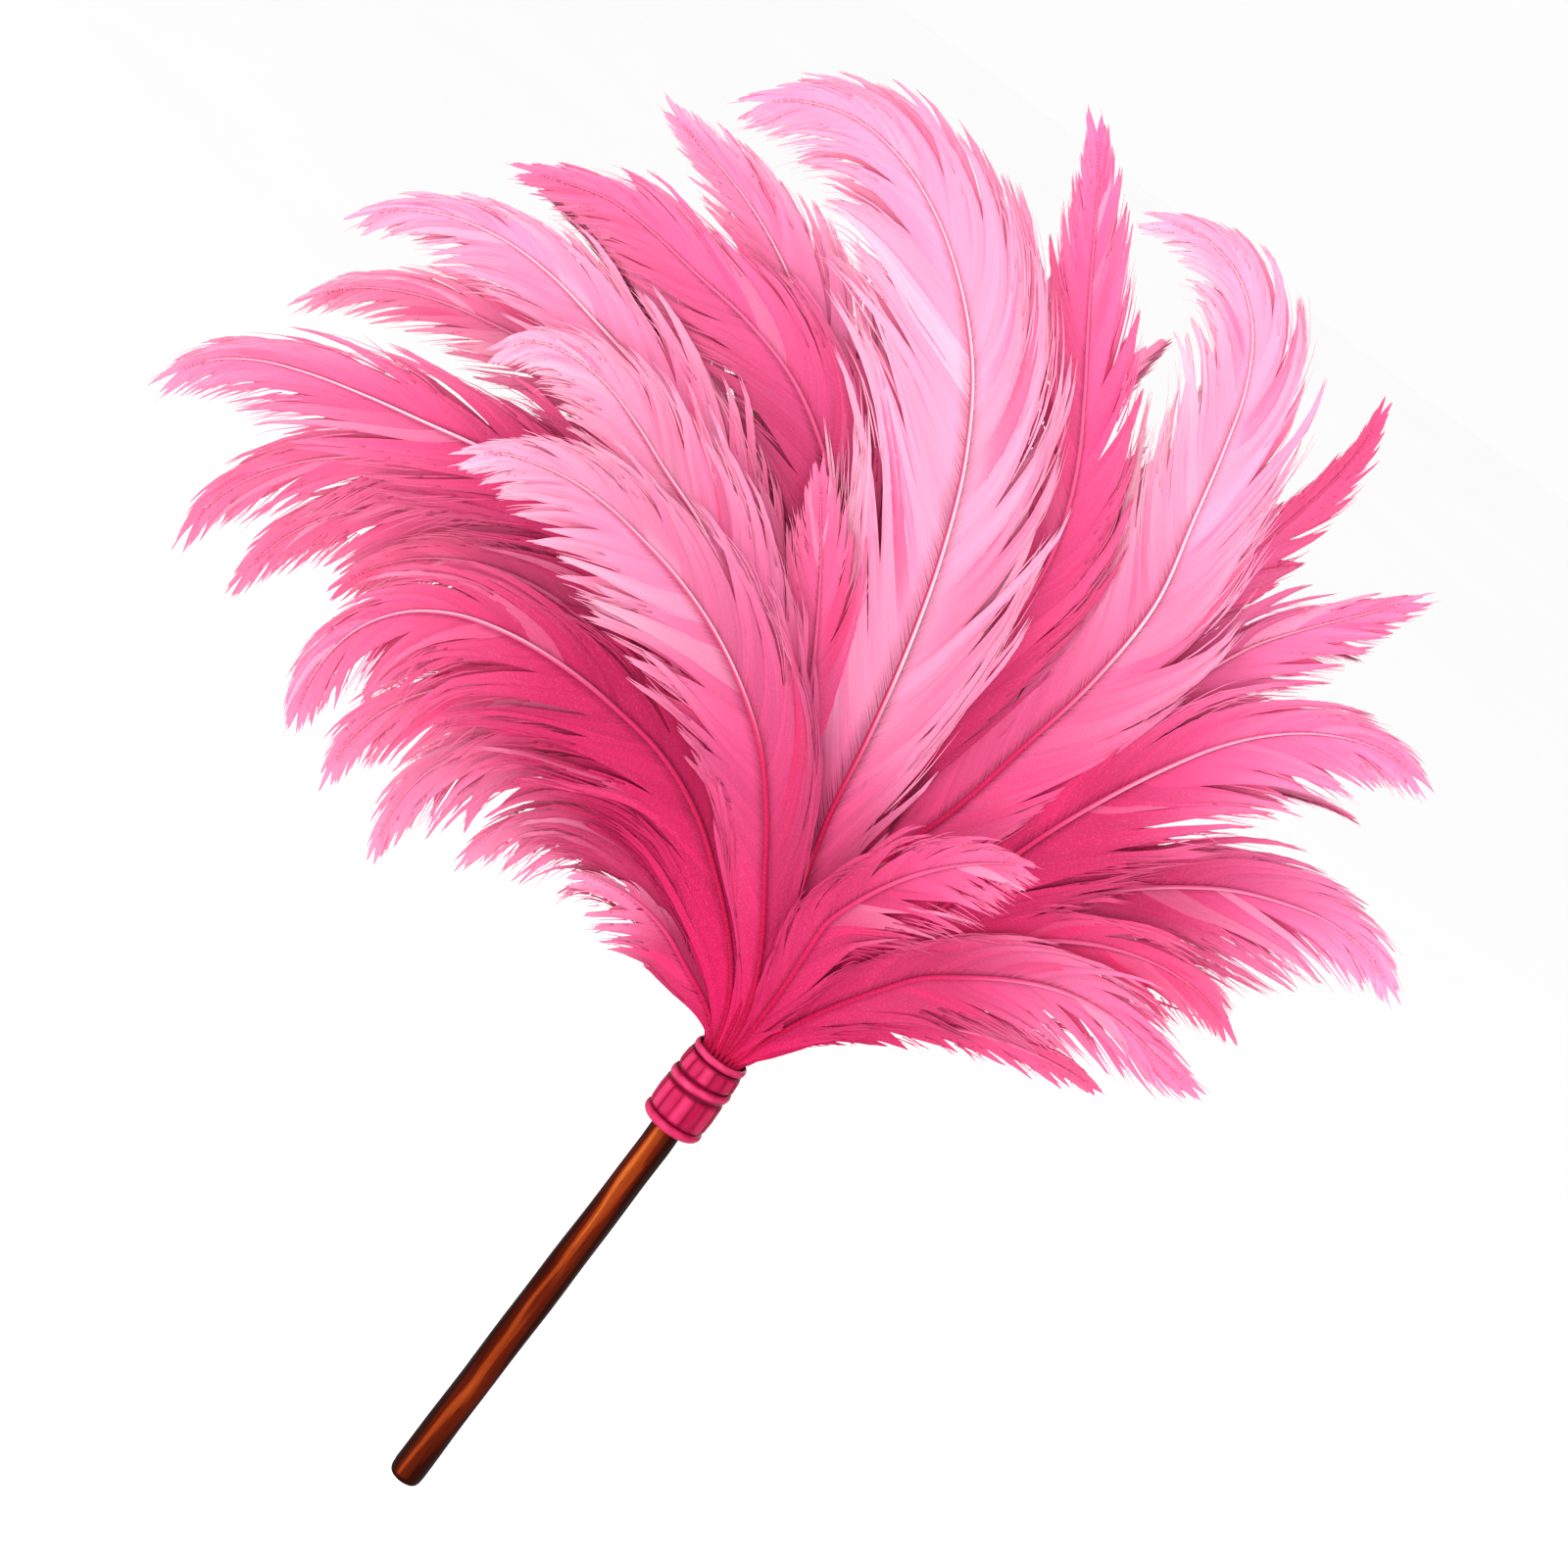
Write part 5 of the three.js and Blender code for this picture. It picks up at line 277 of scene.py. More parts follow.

# ------------------------------------------------------------------ feathers
# name: (x, y of the quill in the collar), half widths of the vane (right, left, seen from its face),
# dye: sRGB low, middle and end of the plume, style: where the low dye is reached, paleness of the
# right and left margins, how blunt the end is, how loose its locks are, how bright the painted highlight
# line on its quill is and where that line starts, and stations x, y, z in tenths of a millimetre with the facing
# direction in hundredths.
FEATHERS = {
    "feather_centre_tall": ((2.07, -6.37), (35.8, 47.7), ((246, 140, 182), (252, 158, 194), (250, 150, 192)), (0.3, 0.06, 0.26, 0, 0.15, 1.0, 0.26), [
        (21, -64, 2355, -4, -98, -18), (23, -89, 2491, 0, -99, -15), (3, -112, 2673, 4, -100, -8), (-53, -125, 2897, 5, -100, -1),
        (-153, -124, 3156, 3, -100, -2), (-237, -144, 3466, 0, -100, -10), (-300, -188, 3827, -3, -99, -13), (-388, -240, 4230, -2, -99, -14),
        (-502, -298, 4625, 2, -99, -15), (-655, -362, 5005, 6, -99, -15), (-846, -423, 5315, 12, -98, -13), (-1067, -479, 5542, 16, -98, -9),
        (-1289, -530, 5700, 18, -98, -6), (-1518, -578, 5796, 20, -98, -1), (-1743, -622, 5816, 20, -98, 4), (-1935, -664, 5752, 19, -98, 7),
        (-2075, -700, 5639, 19, -98, 8),
    ]),
    "feather_right_hooked": ((4.16, -7.92), (27.8, 33.8), ((234, 92, 144), (250, 152, 190), (252, 160, 198)), (0.4, 0.06, 0.55, 0, 0.25, 1.0, 0.42), [
        (42, -79, 2355, -10, -97, -21), (56, -108, 2483, -7, -98, -16), (64, -130, 2657, -5, -100, -7), (58, -134, 2877, -5, -100, 3),
        (33, -112, 3138, -10, -99, 6), (48, -100, 3443, -19, -98, 3), (145, -112, 3781, -25, -97, 3), (215, -121, 4170, -25, -97, 1),
        (275, -136, 4561, -24, -97, -3), (281, -159, 4956, -19, -98, -8), (201, -184, 5296, -15, -98, -11), (128, -207, 5594, -14, -98, -12),
        (48, -228, 5844, -10, -99, -14), (-79, -248, 6048, -2, -99, -14), (-256, -267, 6174, 5, -99, -11), (-450, -285, 6199, 10, -99, -6),
        (-616, -300, 6147, 10, -99, -4),
    ]),
    "feather_front_left_pale": ((-0, -8.95), (31.8, 26.8), ((228, 84, 136), (244, 130, 174), (250, 174, 208)), (0.42, 0.12, 0.26, 0, 0.3, 1.0, 0.4), [
        (0, -90, 2355, 0, -96, -28), (-5, -118, 2454, 4, -96, -26), (-26, -152, 2586, 13, -97, -21), (-76, -190, 2746, 22, -97, -12),
        (-167, -225, 2928, 29, -96, -2), (-295, -262, 3130, 38, -93, -1), (-433, -338, 3355, 49, -87, -2), (-605, -448, 3588, 56, -83, 4),
        (-814, -572, 3780, 59, -80, 13), (-1042, -712, 3938, 61, -77, 21), (-1254, -849, 4046, 61, -74, 28), (-1446, -978, 4117, 61, -72, 33),
        (-1610, -1094, 4167, 60, -70, 39), (-1761, -1205, 4190, 55, -69, 47), (-1897, -1310, 4186, 49, -68, 55), (-2014, -1409, 4160, 38, -68, 63),
        (-2101, -1500, 4106, 30, -69, 66),
    ]),
    "feather_left_pale_second": ((-2.14, -8.69), (27.8, 25.8), ((228, 90, 142), (246, 138, 180), (250, 166, 200)), (0.44, 0.12, 0.24, 0, 0.3, 1.0, 0.36), [
        (-21, -87, 2355, 4, -97, -25), (-33, -114, 2457, 7, -97, -22), (-61, -142, 2593, 11, -98, -14), (-115, -166, 2760, 15, -99, -3),
        (-207, -176, 2952, 16, -98, 6), (-331, -179, 3167, 23, -97, 3), (-476, -228, 3405, 33, -94, -1), (-670, -305, 3647, 38, -92, 1),
        (-884, -389, 3868, 40, -91, 4), (-1115, -482, 4068, 42, -90, 9), (-1341, -570, 4214, 43, -89, 14), (-1553, -653, 4314, 44, -88, 17),
        (-1731, -726, 4405, 44, -88, 17), (-1900, -796, 4472, 42, -88, 24), (-2062, -862, 4494, 36, -88, 33), (-2205, -924, 4464, 24, -88, 40),
        (-2289, -980, 4371, 14, -90, 41),
    ]),
    "feather_left_upper": ((-3.94, -5.42), (23.9, 26.8), ((224, 82, 134), (248, 136, 180), (252, 162, 200)), (0.44, 0.22, 0.2, 0, 0.4, 1.0, 0.36), [
        (-39, -54, 2355, 6, -99, -14), (-60, -73, 2480, 7, -99, -9), (-102, -85, 2646, 6, -100, 1), (-175, -76, 2847, 0, -100, 9),
        (-286, -45, 3077, -4, -100, 7), (-426, -30, 3341, -3, -100, -4), (-619, -60, 3621, 0, -99, -13), (-888, -102, 3893, 3, -99, -13),
        (-1193, -145, 4125, 5, -99, -12), (-1520, -186, 4324, 7, -99, -10), (-1832, -223, 4460, 8, -99, -9), (-2121, -256, 4531, 10, -99, -8),
        (-2372, -285, 4580, 10, -99, -8), (-2605, -312, 4585, 12, -99, -8), (-2812, -337, 4538, 16, -98, -9), (-2981, -360, 4450, 22, -97, -9),
        (-3095, -380, 4327, 26, -96, -8),
    ]),
    "feather_left_upper_under": ((-6.7, 0), (21.9, 21.9), ((220, 72, 124), (240, 110, 156), (248, 150, 188)), (0.46, 0.3, 0.2, 0, 0.6, 0.3, 0.5), [
        (-67, 0, 2355, 6, -100, 2), (-98, 1, 2475, 6, -100, 3), (-150, 3, 2631, 6, -100, 4), (-231, 7, 2822, 2, -100, 4),
        (-348, 15, 3040, -4, -100, 1), (-500, 21, 3286, -7, -100, -6), (-714, 14, 3537, -10, -99, -14), (-991, 2, 3782, -8, -98, -15),
        (-1295, -6, 3994, -6, -99, -15), (-1630, -11, 4153, -4, -99, -15), (-1948, -13, 4240, -2, -99, -15), (-2235, -14, 4260, 1, -98, -17),
        (-2480, -15, 4226, 4, -98, -19), (-2700, -17, 4173, 7, -98, -20), (-2889, -18, 4091, 13, -97, -22), (-3040, -19, 3983, 22, -95, -22),
        (-3138, -20, 3852, 29, -93, -21),
    ]),
    "feather_left_far": ((-5.42, -3.94), (29.8, 29.8), ((208, 52, 106), (240, 104, 152), (250, 146, 188)), (0.57, 0.16, 0.04, 0, 0.7, 1.0, 0.58), [
        (-54, -39, 2355, 8, -99, -10), (-81, -54, 2478, 9, -99, -8), (-133, -70, 2638, 11, -99, -5), (-219, -86, 2830, 9, -100, -2),
        (-347, -95, 3048, 7, -100, -1), (-521, -113, 3285, 8, -100, -4), (-774, -151, 3505, 10, -99, -7), (-1094, -198, 3703, 12, -99, -6),
        (-1443, -250, 3842, 14, -99, -3), (-1812, -310, 3903, 16, -99, -1), (-2144, -366, 3887, 17, -98, 0), (-2431, -419, 3837, 18, -98, 1),
        (-2676, -465, 3792, 19, -98, 1), (-2897, -509, 3739, 20, -98, 1), (-3090, -550, 3665, 22, -98, 1), (-3239, -587, 3554, 27, -96, 2),
        (-3321, -620, 3412, 31, -95, 4),
    ]),
    "feather_left_far_under": ((-6.37, -2.07), (23.9, 23.9), ((214, 56, 110), (238, 96, 146), (246, 122, 166)), (0.44, 0.08, 0.08, 0, 1.0, 0.5, 0.5), [
        (-64, -21, 2355, 8, -100, -4), (-94, -28, 2473, 9, -100, -2), (-152, -34, 2624, 10, -100, 2), (-247, -36, 2803, 7, -100, 5),
        (-389, -33, 3000, 4, -100, 4), (-573, -33, 3216, 3, -100, 0), (-821, -46, 3424, 2, -100, -5), (-1133, -64, 3613, 3, -100, -5),
        (-1473, -85, 3741, 5, -100, -4), (-1834, -108, 3785, 7, -100, -4), (-2153, -130, 3732, 9, -100, -5), (-2412, -150, 3619, 11, -99, -6),
        (-2614, -167, 3485, 15, -99, -8), (-2777, -182, 3334, 19, -98, -8), (-2896, -196, 3171, 26, -96, -7), (-2964, -209, 3002, 35, -94, -2),
        (-2974, -220, 2842, 40, -92, 4),
    ]),
    "feather_left_far_lower": ((-8.37, 3.17), (23.9, 21.9), ((210, 50, 104), (234, 90, 140), (246, 124, 168)), (0.44, 0.08, 0.08, 0, 1.0, 0.5, 0.5), [
        (-84, 32, 2355, 5, -99, 11), (-117, 41, 2458, 6, -99, 10), (-175, 49, 2591, 9, -99, 8), (-270, 50, 2748, 11, -99, 6),
        (-406, 42, 2920, 11, -99, 4), (-580, 30, 3106, 8, -100, 6), (-811, 31, 3281, 4, -100, 7), (-1100, 32, 3429, 2, -100, 8),
        (-1411, 35, 3527, 0, -100, 9), (-1734, 41, 3564, -2, -100, 8), (-2021, 49, 3529, -4, -100, 5), (-2257, 56, 3436, -3, -100, 0),
        (-2437, 62, 3314, 0, -100, -5), (-2576, 67, 3170, 6, -99, -8), (-2667, 72, 3014, 14, -98, -10), (-2718, 76, 2859, 22, -97, -8),
        (-2737, 80, 2715, 26, -96, -6),
    ]),
    "feather_left_curl": ((-4.16, -7.92), (24.8, 30.8), ((208, 44, 98), (234, 92, 140), (248, 134, 176)), (0.54, 0.06, 0.0, 0, 0.9, 0.8, 0.5), [
        (-42, -79, 2355, 9, -97, -22), (-60, -102, 2447, 13, -97, -19), (-102, -128, 2567, 19, -98, -11), (-178, -153, 2707, 22, -98, 0),
        (-302, -173, 2855, 22, -97, 11), (-468, -187, 3008, 26, -96, 13), (-666, -231, 3168, 36, -92, 14), (-909, -317, 3301, 40, -89, 21),
        (-1174, -412, 3370, 38, -88, 28), (-1444, -515, 3407, 36, -87, 33), (-1684, -611, 3403, 32, -87, 37), (-1886, -701, 3358, 26, -87, 42),
        (-2036, -781, 3265, 17, -88, 44), (-2128, -857, 3135, 9, -89, 44), (-2159, -928, 2994, 4, -90, 44), (-2146, -992, 2864, 0, -89, 46),
        (-2105, -1050, 2756, -3, -89, 46),
    ]),
    "feather_left_curl_under": ((-7.37, -5.08), (23.9, 23.9), ((204, 36, 90), (232, 88, 136), (248, 138, 180)), (0.44, 0.08, 0.08, 0, 1.0, 0.5, 0.5), [
        (-74, -51, 2355, 12, -99, -12), (-97, -63, 2432, 14, -98, -10), (-140, -78, 2531, 20, -98, -4), (-211, -94, 2644, 25, -97, 7),
        (-321, -108, 2764, 27, -94, 19), (-469, -119, 2882, 28, -92, 29), (-649, -132, 3003, 34, -88, 35), (-862, -179, 3112, 36, -84, 39),
        (-1088, -238, 3182, 30, -83, 46), (-1323, -300, 3198, 20, -84, 51), (-1528, -356, 3156, 7, -85, 52), (-1692, -407, 3076, -3, -87, 49),
        (-1806, -452, 2969, -11, -90, 43), (-1882, -494, 2848, -15, -92, 38), (-1925, -533, 2726, -16, -93, 33), (-1935, -569, 2610, -16, -95, 28),
        (-1915, -600, 2508, -15, -95, 26),
    ]),
    "feather_left_low": ((-8.88, -1.08), (19.9, 23.9), ((214, 66, 114), (240, 122, 166), (250, 152, 192)), (0.5, 0.1, 0.02, 0, 0.9, 0.5, 0.5), [
        (-89, -11, 2355, 10, -100, -1), (-112, -14, 2422, 12, -99, 0), (-154, -19, 2506, 19, -98, 4), (-222, -28, 2601, 27, -95, 12),
        (-322, -42, 2699, 32, -91, 25), (-459, -61, 2790, 34, -86, 38), (-626, -85, 2872, 33, -80, 50), (-820, -110, 2954, 26, -78, 57),
        (-1027, -129, 2994, 12, -78, 62), (-1237, -149, 2982, -4, -79, 62), (-1410, -171, 2914, -19, -81, 55), (-1535, -194, 2810, -30, -85, 43),
        (-1610, -214, 2693, -34, -89, 31), (-1648, -232, 2571, -33, -92, 21), (-1658, -250, 2455, -31, -94, 14), (-1647, -266, 2351, -28, -95, 10),
        (-1625, -280, 2260, -27, -96, 9),
    ]),
    "feather_left_low_short": ((-8.88, 1.08), (14, 24), ((212, 60, 108), (238, 118, 162), (248, 148, 188)), (0.44, 0.08, 0.08, 0, 1.2, 0.2, 0.5), [
        (-89, 11, 2355, 8, -100, 6), (-106, 12, 2402, 10, -99, 6), (-138, 13, 2460, 16, -98, 11), (-189, 12, 2526, 24, -95, 20),
        (-264, 9, 2591, 28, -90, 33), (-363, 4, 2650, 28, -84, 46), (-485, -4, 2703, 29, -76, 58), (-622, -12, 2761, 29, -74, 61),
        (-762, -24, 2812, 23, -73, 64), (-909, -38, 2832, 6, -73, 68), (-1039, -48, 2810, -16, -75, 64), (-1141, -56, 2755, -33, -78, 53),
        (-1211, -62, 2684, -42, -82, 40), (-1260, -67, 2608, -44, -84, 30), (-1295, -72, 2533, -45, -86, 23), (-1318, -76, 2462, -44, -88, 18),
        (-1334, -80, 2397, -44, -88, 16),
    ]),
    "feather_left_neck_short": ((-5.93, -6.7), (8, 21), ((212, 60, 110), (238, 118, 162), (248, 148, 188)), (0.44, 0.08, 0.08, 0, 1.5, 0.0, 0.5), [
        (-59, -67, 2355, 14, -98, -17), (-68, -74, 2384, 18, -97, -14), (-87, -82, 2420, 26, -96, -4), (-119, -90, 2461, 31, -94, 11),
        (-166, -99, 2501, 33, -91, 25), (-228, -108, 2539, 32, -87, 38), (-302, -117, 2575, 37, -81, 45), (-383, -133, 2619, 45, -78, 43),
        (-461, -160, 2664, 48, -76, 44), (-544, -188, 2698, 43, -75, 50), (-620, -216, 2718, 38, -74, 56), (-687, -241, 2727, 34, -73, 60),
        (-745, -264, 2729, 28, -73, 62), (-798, -286, 2726, 24, -73, 64), (-846, -305, 2720, 19, -73, 66), (-888, -324, 2710, 15, -73, 66),
        (-925, -340, 2699, 12, -74, 67),
    ]),
    "feather_top_left_dark": ((-0, -6.7), (27, 28), ((216, 62, 116), (238, 98, 150), (248, 128, 178)), (0.5, 0.08, 0.08, 0, 0.35, 0.15, 0.5), [
        (0, -67, 2355, -1, -98, -18), (-5, -90, 2481, 2, -99, -12), (-28, -103, 2650, 3, -100, -1), (-80, -96, 2856, 0, -100, 10),
        (-169, -59, 3094, -4, -99, 13), (-280, -24, 3368, -4, -100, 4), (-415, -24, 3683, -5, -100, -3), (-590, -24, 4025, -4, -100, -3),
        (-811, -26, 4339, -1, -100, -2), (-1094, -31, 4598, 1, -100, 0), (-1386, -36, 4775, 2, -100, 1), (-1673, -41, 4854, 2, -100, 1),
        (-1928, -45, 4882, 2, -100, 1), (-2161, -49, 4912, 2, -100, 1), (-2374, -53, 4915, 2, -100, -1), (-2558, -57, 4864, 3, -100, -3),
        (-2719, -60, 4806, 3, -100, -4),
    ]),
    "feather_top_left_light": ((3.94, -5.42), (32.8, 21.9), ((222, 74, 128), (244, 124, 174), (250, 150, 194)), (0.44, 0.34, 0.26, 0, 0.6, 1.0, 0.4), [
        (39, -54, 2355, -7, -99, -13), (49, -72, 2478, -4, -100, -9), (42, -80, 2644, -1, -100, -1), (6, -74, 2849, -2, -100, 9),
        (-73, -39, 3083, -7, -99, 14), (-177, 8, 3351, -10, -99, 9), (-304, 35, 3656, -12, -99, 4), (-492, 71, 3977, -12, -99, 4),
        (-720, 109, 4269, -11, -99, 4), (-977, 145, 4537, -10, -99, 3), (-1228, 176, 4752, -10, -100, 3), (-1460, 203, 4925, -10, -100, 3),
        (-1669, 226, 5060, -10, -100, 2), (-1875, 247, 5155, -10, -100, 1), (-2072, 266, 5216, -10, -100, -1), (-2255, 284, 5251, -10, -100, -2),
        (-2416, 300, 5285, -10, -100, -1),
    ]),
    "feather_top_right_dark": ((5.42, -3.94), (21.9, 23.9), ((214, 58, 112), (234, 84, 138), (250, 118, 172)), (0.44, 0.08, 0.08, 0, 0.6, 0.1, 0.5), [
        (54, -39, 2355, -9, -99, -9), (72, -52, 2480, -7, -100, -6), (80, -59, 2649, -3, -100, 0), (66, -52, 2859, 0, -100, 8),
        (22, -23, 3107, 0, -100, 9), (-26, -2, 3398, 0, -100, 0), (-46, -27, 3734, 0, -100, -9), (-73, -65, 4112, 1, -100, -10),
        (-114, -102, 4489, 1, -100, -9), (-159, -135, 4865, 4, -100, -8), (-276, -163, 5180, 9, -100, -5), (-425, -188, 5434, 11, -99, -3),
        (-564, -209, 5646, 11, -99, -3), (-689, -229, 5841, 11, -99, -3), (-799, -247, 6020, 12, -99, -3), (-903, -264, 6179, 12, -99, -2),
        (-1011, -280, 6308, 13, -99, -1),
    ]),
    "feather_right_pointed": ((6.7, 0), (14.9, 13.9), ((218, 62, 118), (242, 108, 162), (234, 84, 138)), (0.44, 0.08, 0.08, 0, 0.5, 0.0, 0.5), [
        (67, 0, 2355, -9, -100, 3), (90, 1, 2465, -8, -100, 4), (114, 6, 2612, -8, -99, 8), (136, 25, 2796, -9, -99, 12),
        (150, 52, 3017, -12, -98, 12), (164, 81, 3276, -17, -98, 12), (230, 106, 3566, -23, -96, 13), (302, 133, 3893, -24, -96, 13),
        (356, 163, 4223, -23, -96, 12), (388, 196, 4556, -23, -97, 12), (410, 229, 4852, -23, -96, 14), (449, 259, 5108, -23, -96, 16),
        (498, 287, 5325, -22, -96, 18), (543, 313, 5524, -23, -96, 17), (572, 338, 5706, -23, -96, 15), (576, 360, 5872, -23, -97, 12),
        (552, 380, 6018, -23, -97, 10),
    ]),
    "feather_right_upper": ((6.37, -2.07), (21.9, 32.8), ((222, 68, 122), (246, 118, 172), (248, 124, 174)), (0.54, 0.08, 0.08, 0, 0.5, 0.6, 0.5), [
        (64, -21, 2355, -11, -99, -3), (85, -26, 2454, -10, -99, -2), (112, -30, 2587, -11, -99, 3), (144, -24, 2750, -14, -99, 8),
        (182, -9, 2947, -18, -98, 12), (225, 14, 3178, -23, -96, 12), (278, 28, 3444, -30, -95, 10), (344, 37, 3743, -32, -94, 10),
        (412, 46, 4042, -32, -94, 10), (479, 54, 4341, -32, -94, 11), (550, 62, 4604, -33, -94, 13), (625, 69, 4829, -33, -93, 16),
        (710, 76, 5013, -31, -92, 22), (817, 82, 5166, -29, -92, 26), (922, 89, 5299, -28, -92, 27), (1017, 95, 5418, -29, -92, 27),
        (1098, 100, 5527, -29, -92, 26),
    ]),
    "feather_right_middle": ((7.37, -5.08), (27.8, 32.8), ((214, 50, 106), (240, 104, 156), (246, 136, 184)), (0.54, 0.14, 0.1, 0, 0.6, 0.6, 0.5), [
        (74, -51, 2355, -15, -98, -11), (97, -65, 2449, -14, -98, -10), (128, -80, 2576, -14, -99, -7), (167, -95, 2736, -16, -99, -2),
        (214, -102, 2928, -18, -98, 4), (270, -97, 3151, -22, -97, 4), (339, -109, 3404, -29, -96, 0), (417, -140, 3686, -31, -95, -2),
        (499, -172, 3966, -32, -95, 0), (602, -206, 4239, -34, -94, 1), (709, -239, 4474, -35, -94, 4), (819, -271, 4672, -36, -93, 8),
        (940, -300, 4824, -36, -92, 14), (1074, -327, 4940, -33, -92, 22), (1215, -354, 5018, -28, -92, 28), (1356, -378, 5053, -19, -92, 33),
        (1484, -400, 5042, -13, -93, 34),
    ]),
    "feather_right_lower": ((8.88, 1.08), (32.8, 26.8), ((214, 56, 110), (240, 120, 170), (250, 158, 204)), (0.6, 0.08, 0.08, 0, 0.7, 0.4, 0.5), [
        (89, 11, 2355, -11, -99, 6), (115, 13, 2440, -12, -99, 5), (150, 14, 2554, -12, -99, 2), (196, 8, 2699, -11, -99, -2),
        (254, -4, 2870, -9, -100, -5), (327, -22, 3067, -6, -100, -6), (418, -38, 3285, -3, -100, -4), (552, -47, 3515, -3, -100, -2),
        (708, -57, 3730, -5, -100, -1), (881, -66, 3932, -6, -100, 1), (1060, -75, 4087, -7, -100, 2), (1232, -83, 4202, -7, -100, 4),
        (1396, -91, 4273, -7, -100, 4), (1552, -99, 4320, -6, -100, 4), (1700, -107, 4330, -5, -100, 3), (1831, -114, 4306, -5, -100, 0),
        (1938, -120, 4255, -6, -100, -1),
    ]),
    "feather_right_low": ((5.93, -6.7), (19.9, 21.9), ((214, 62, 114), (236, 108, 156), (240, 120, 168)), (0.44, 0.08, 0.08, 0, 0.8, 0.35, 0.5), [
        (59, -67, 2355, -15, -97, -18), (73, -81, 2419, -16, -97, -18), (95, -100, 2503, -17, -97, -16), (128, -122, 2607, -16, -98, -15),
        (176, -148, 2728, -15, -98, -14), (244, -177, 2866, -13, -98, -14), (331, -209, 3017, -11, -98, -16), (438, -249, 3182, -19, -96, -18),
        (574, -312, 3315, -28, -94, -17), (718, -379, 3436, -32, -94, -15), (858, -441, 3526, -36, -93, -9), (992, -499, 3580, -38, -92, -3),
        (1112, -550, 3606, -40, -92, 2), (1224, -598, 3613, -40, -92, 6), (1326, -643, 3610, -40, -91, 7), (1418, -684, 3610, -41, -91, 5),
        (1498, -720, 3620, -41, -91, 3),
    ]),
    "feather_right_neck_short": ((8.88, -1.08), (8.9, 12.9), ((212, 48, 102), (228, 78, 130), (236, 100, 148)), (0.44, 0.08, 0.08, 0, 0.8, 0.35, 0.5), [
        (89, -11, 2355, -14, -99, 0), (104, -13, 2400, -15, -99, -1), (126, -17, 2460, -18, -98, -5), (160, -30, 2534, -17, -98, -10),
        (208, -48, 2619, -15, -98, -12), (272, -70, 2710, -12, -98, -15), (350, -94, 2807, -6, -98, -19), (443, -119, 2912, -6, -98, -18),
        (551, -143, 3000, -9, -98, -16), (667, -168, 3077, -12, -98, -15), (777, -191, 3135, -15, -98, -13), (877, -213, 3177, -17, -98, -12),
        (966, -233, 3207, -19, -98, -11), (1048, -252, 3229, -20, -97, -10), (1124, -269, 3245, -21, -97, -10), (1193, -285, 3255, -22, -97, -9),
        (1255, -300, 3260, -22, -97, -8),
    ]),
    "feather_front_right_short": ((2.14, -8.69), (20, 20), ((210, 56, 108), (228, 86, 138), (240, 114, 162)), (0.5, 0.1, 0.0, 0.12, 1.15, 0.0, 0.5), [
        (21, -87, 2355, -8, -96, -28), (25, -105, 2416, -7, -96, -29), (29, -131, 2498, -5, -95, -31), (31, -165, 2599, -2, -94, -34),
        (30, -209, 2719, 2, -93, -36), (24, -266, 2858, 6, -92, -38), (13, -334, 3014, 7, -91, -41), (6, -416, 3188, -5, -87, -49),
        (42, -521, 3345, -23, -82, -52), (90, -632, 3494, -31, -80, -51), (143, -734, 3620, -39, -78, -48), (198, -826, 3725, -46, -77, -45),
        (249, -908, 3809, -52, -75, -42), (301, -984, 3882, -56, -73, -38), (351, -1056, 3944, -61, -72, -34), (399, -1121, 3996, -64, -70, -30),
        (444, -1180, 4038, -66, -70, -28),
    ]),
    "feather_centre_inner": ((-2.07, -6.37), (26, 24), ((214, 62, 114), (228, 86, 138), (240, 112, 160)), (0.44, 0.08, 0.08, 0, 0.9, 0.0, 0.5), [
        (-21, -64, 2355, 2, -98, -19), (-27, -78, 2429, 3, -98, -17), (-41, -95, 2527, 5, -99, -13), (-66, -109, 2650, 6, -100, -7),
        (-107, -118, 2795, 5, -100, -1), (-171, -117, 2959, 4, -100, 4), (-254, -108, 3143, 3, -100, 3), (-347, -113, 3349, 6, -100, -3),
        (-447, -130, 3552, 8, -100, -5), (-552, -150, 3752, 10, -99, -6), (-646, -174, 3929, 11, -99, -8), (-731, -198, 4081, 13, -99, -9),
        (-807, -221, 4209, 14, -99, -9), (-881, -243, 4325, 15, -98, -9), (-951, -264, 4427, 16, -98, -9), (-1016, -283, 4518, 17, -98, -9),
        (-1076, -300, 4597, 17, -98, -8),
    ]),
    "feather_left_inner": ((-8.37, -3.17), (21.9, 21.9), ((208, 42, 98), (232, 84, 134), (240, 108, 152)), (0.44, 0.08, 0.08, 0, 1.0, 0.3, 0.5), [
        (-84, -32, 2355, 11, -99, -6), (-111, -40, 2440, 12, -99, -4), (-156, -49, 2550, 14, -99, -1), (-228, -58, 2680, 14, -99, 4),
        (-333, -63, 2825, 12, -99, 8), (-474, -65, 2979, 11, -99, 8), (-646, -70, 3145, 11, -99, 8), (-867, -83, 3298, 11, -99, 10),
        (-1110, -96, 3411, 10, -99, 13), (-1368, -111, 3483, 9, -98, 15), (-1604, -127, 3505, 7, -99, 15), (-1811, -141, 3483, 4, -99, 14),
        (-1981, -154, 3427, 3, -99, 12), (-2122, -167, 3345, 3, -100, 9), (-2232, -179, 3245, 5, -100, 6), (-2311, -190, 3137, 9, -100, 4),
        (-2360, -200, 3029, 11, -99, 4),
    ]),
    "feather_right_low_inner": ((8.37, -3.17), (21.9, 19.9), ((206, 34, 90), (222, 64, 118), (236, 98, 146)), (0.44, 0.08, 0.08, 0, 1.0, 0.2, 0.5), [
        (84, -32, 2355, -15, -99, -6), (102, -39, 2421, -15, -99, -6), (127, -48, 2508, -14, -99, -2), (165, -52, 2618, -11, -99, 0),
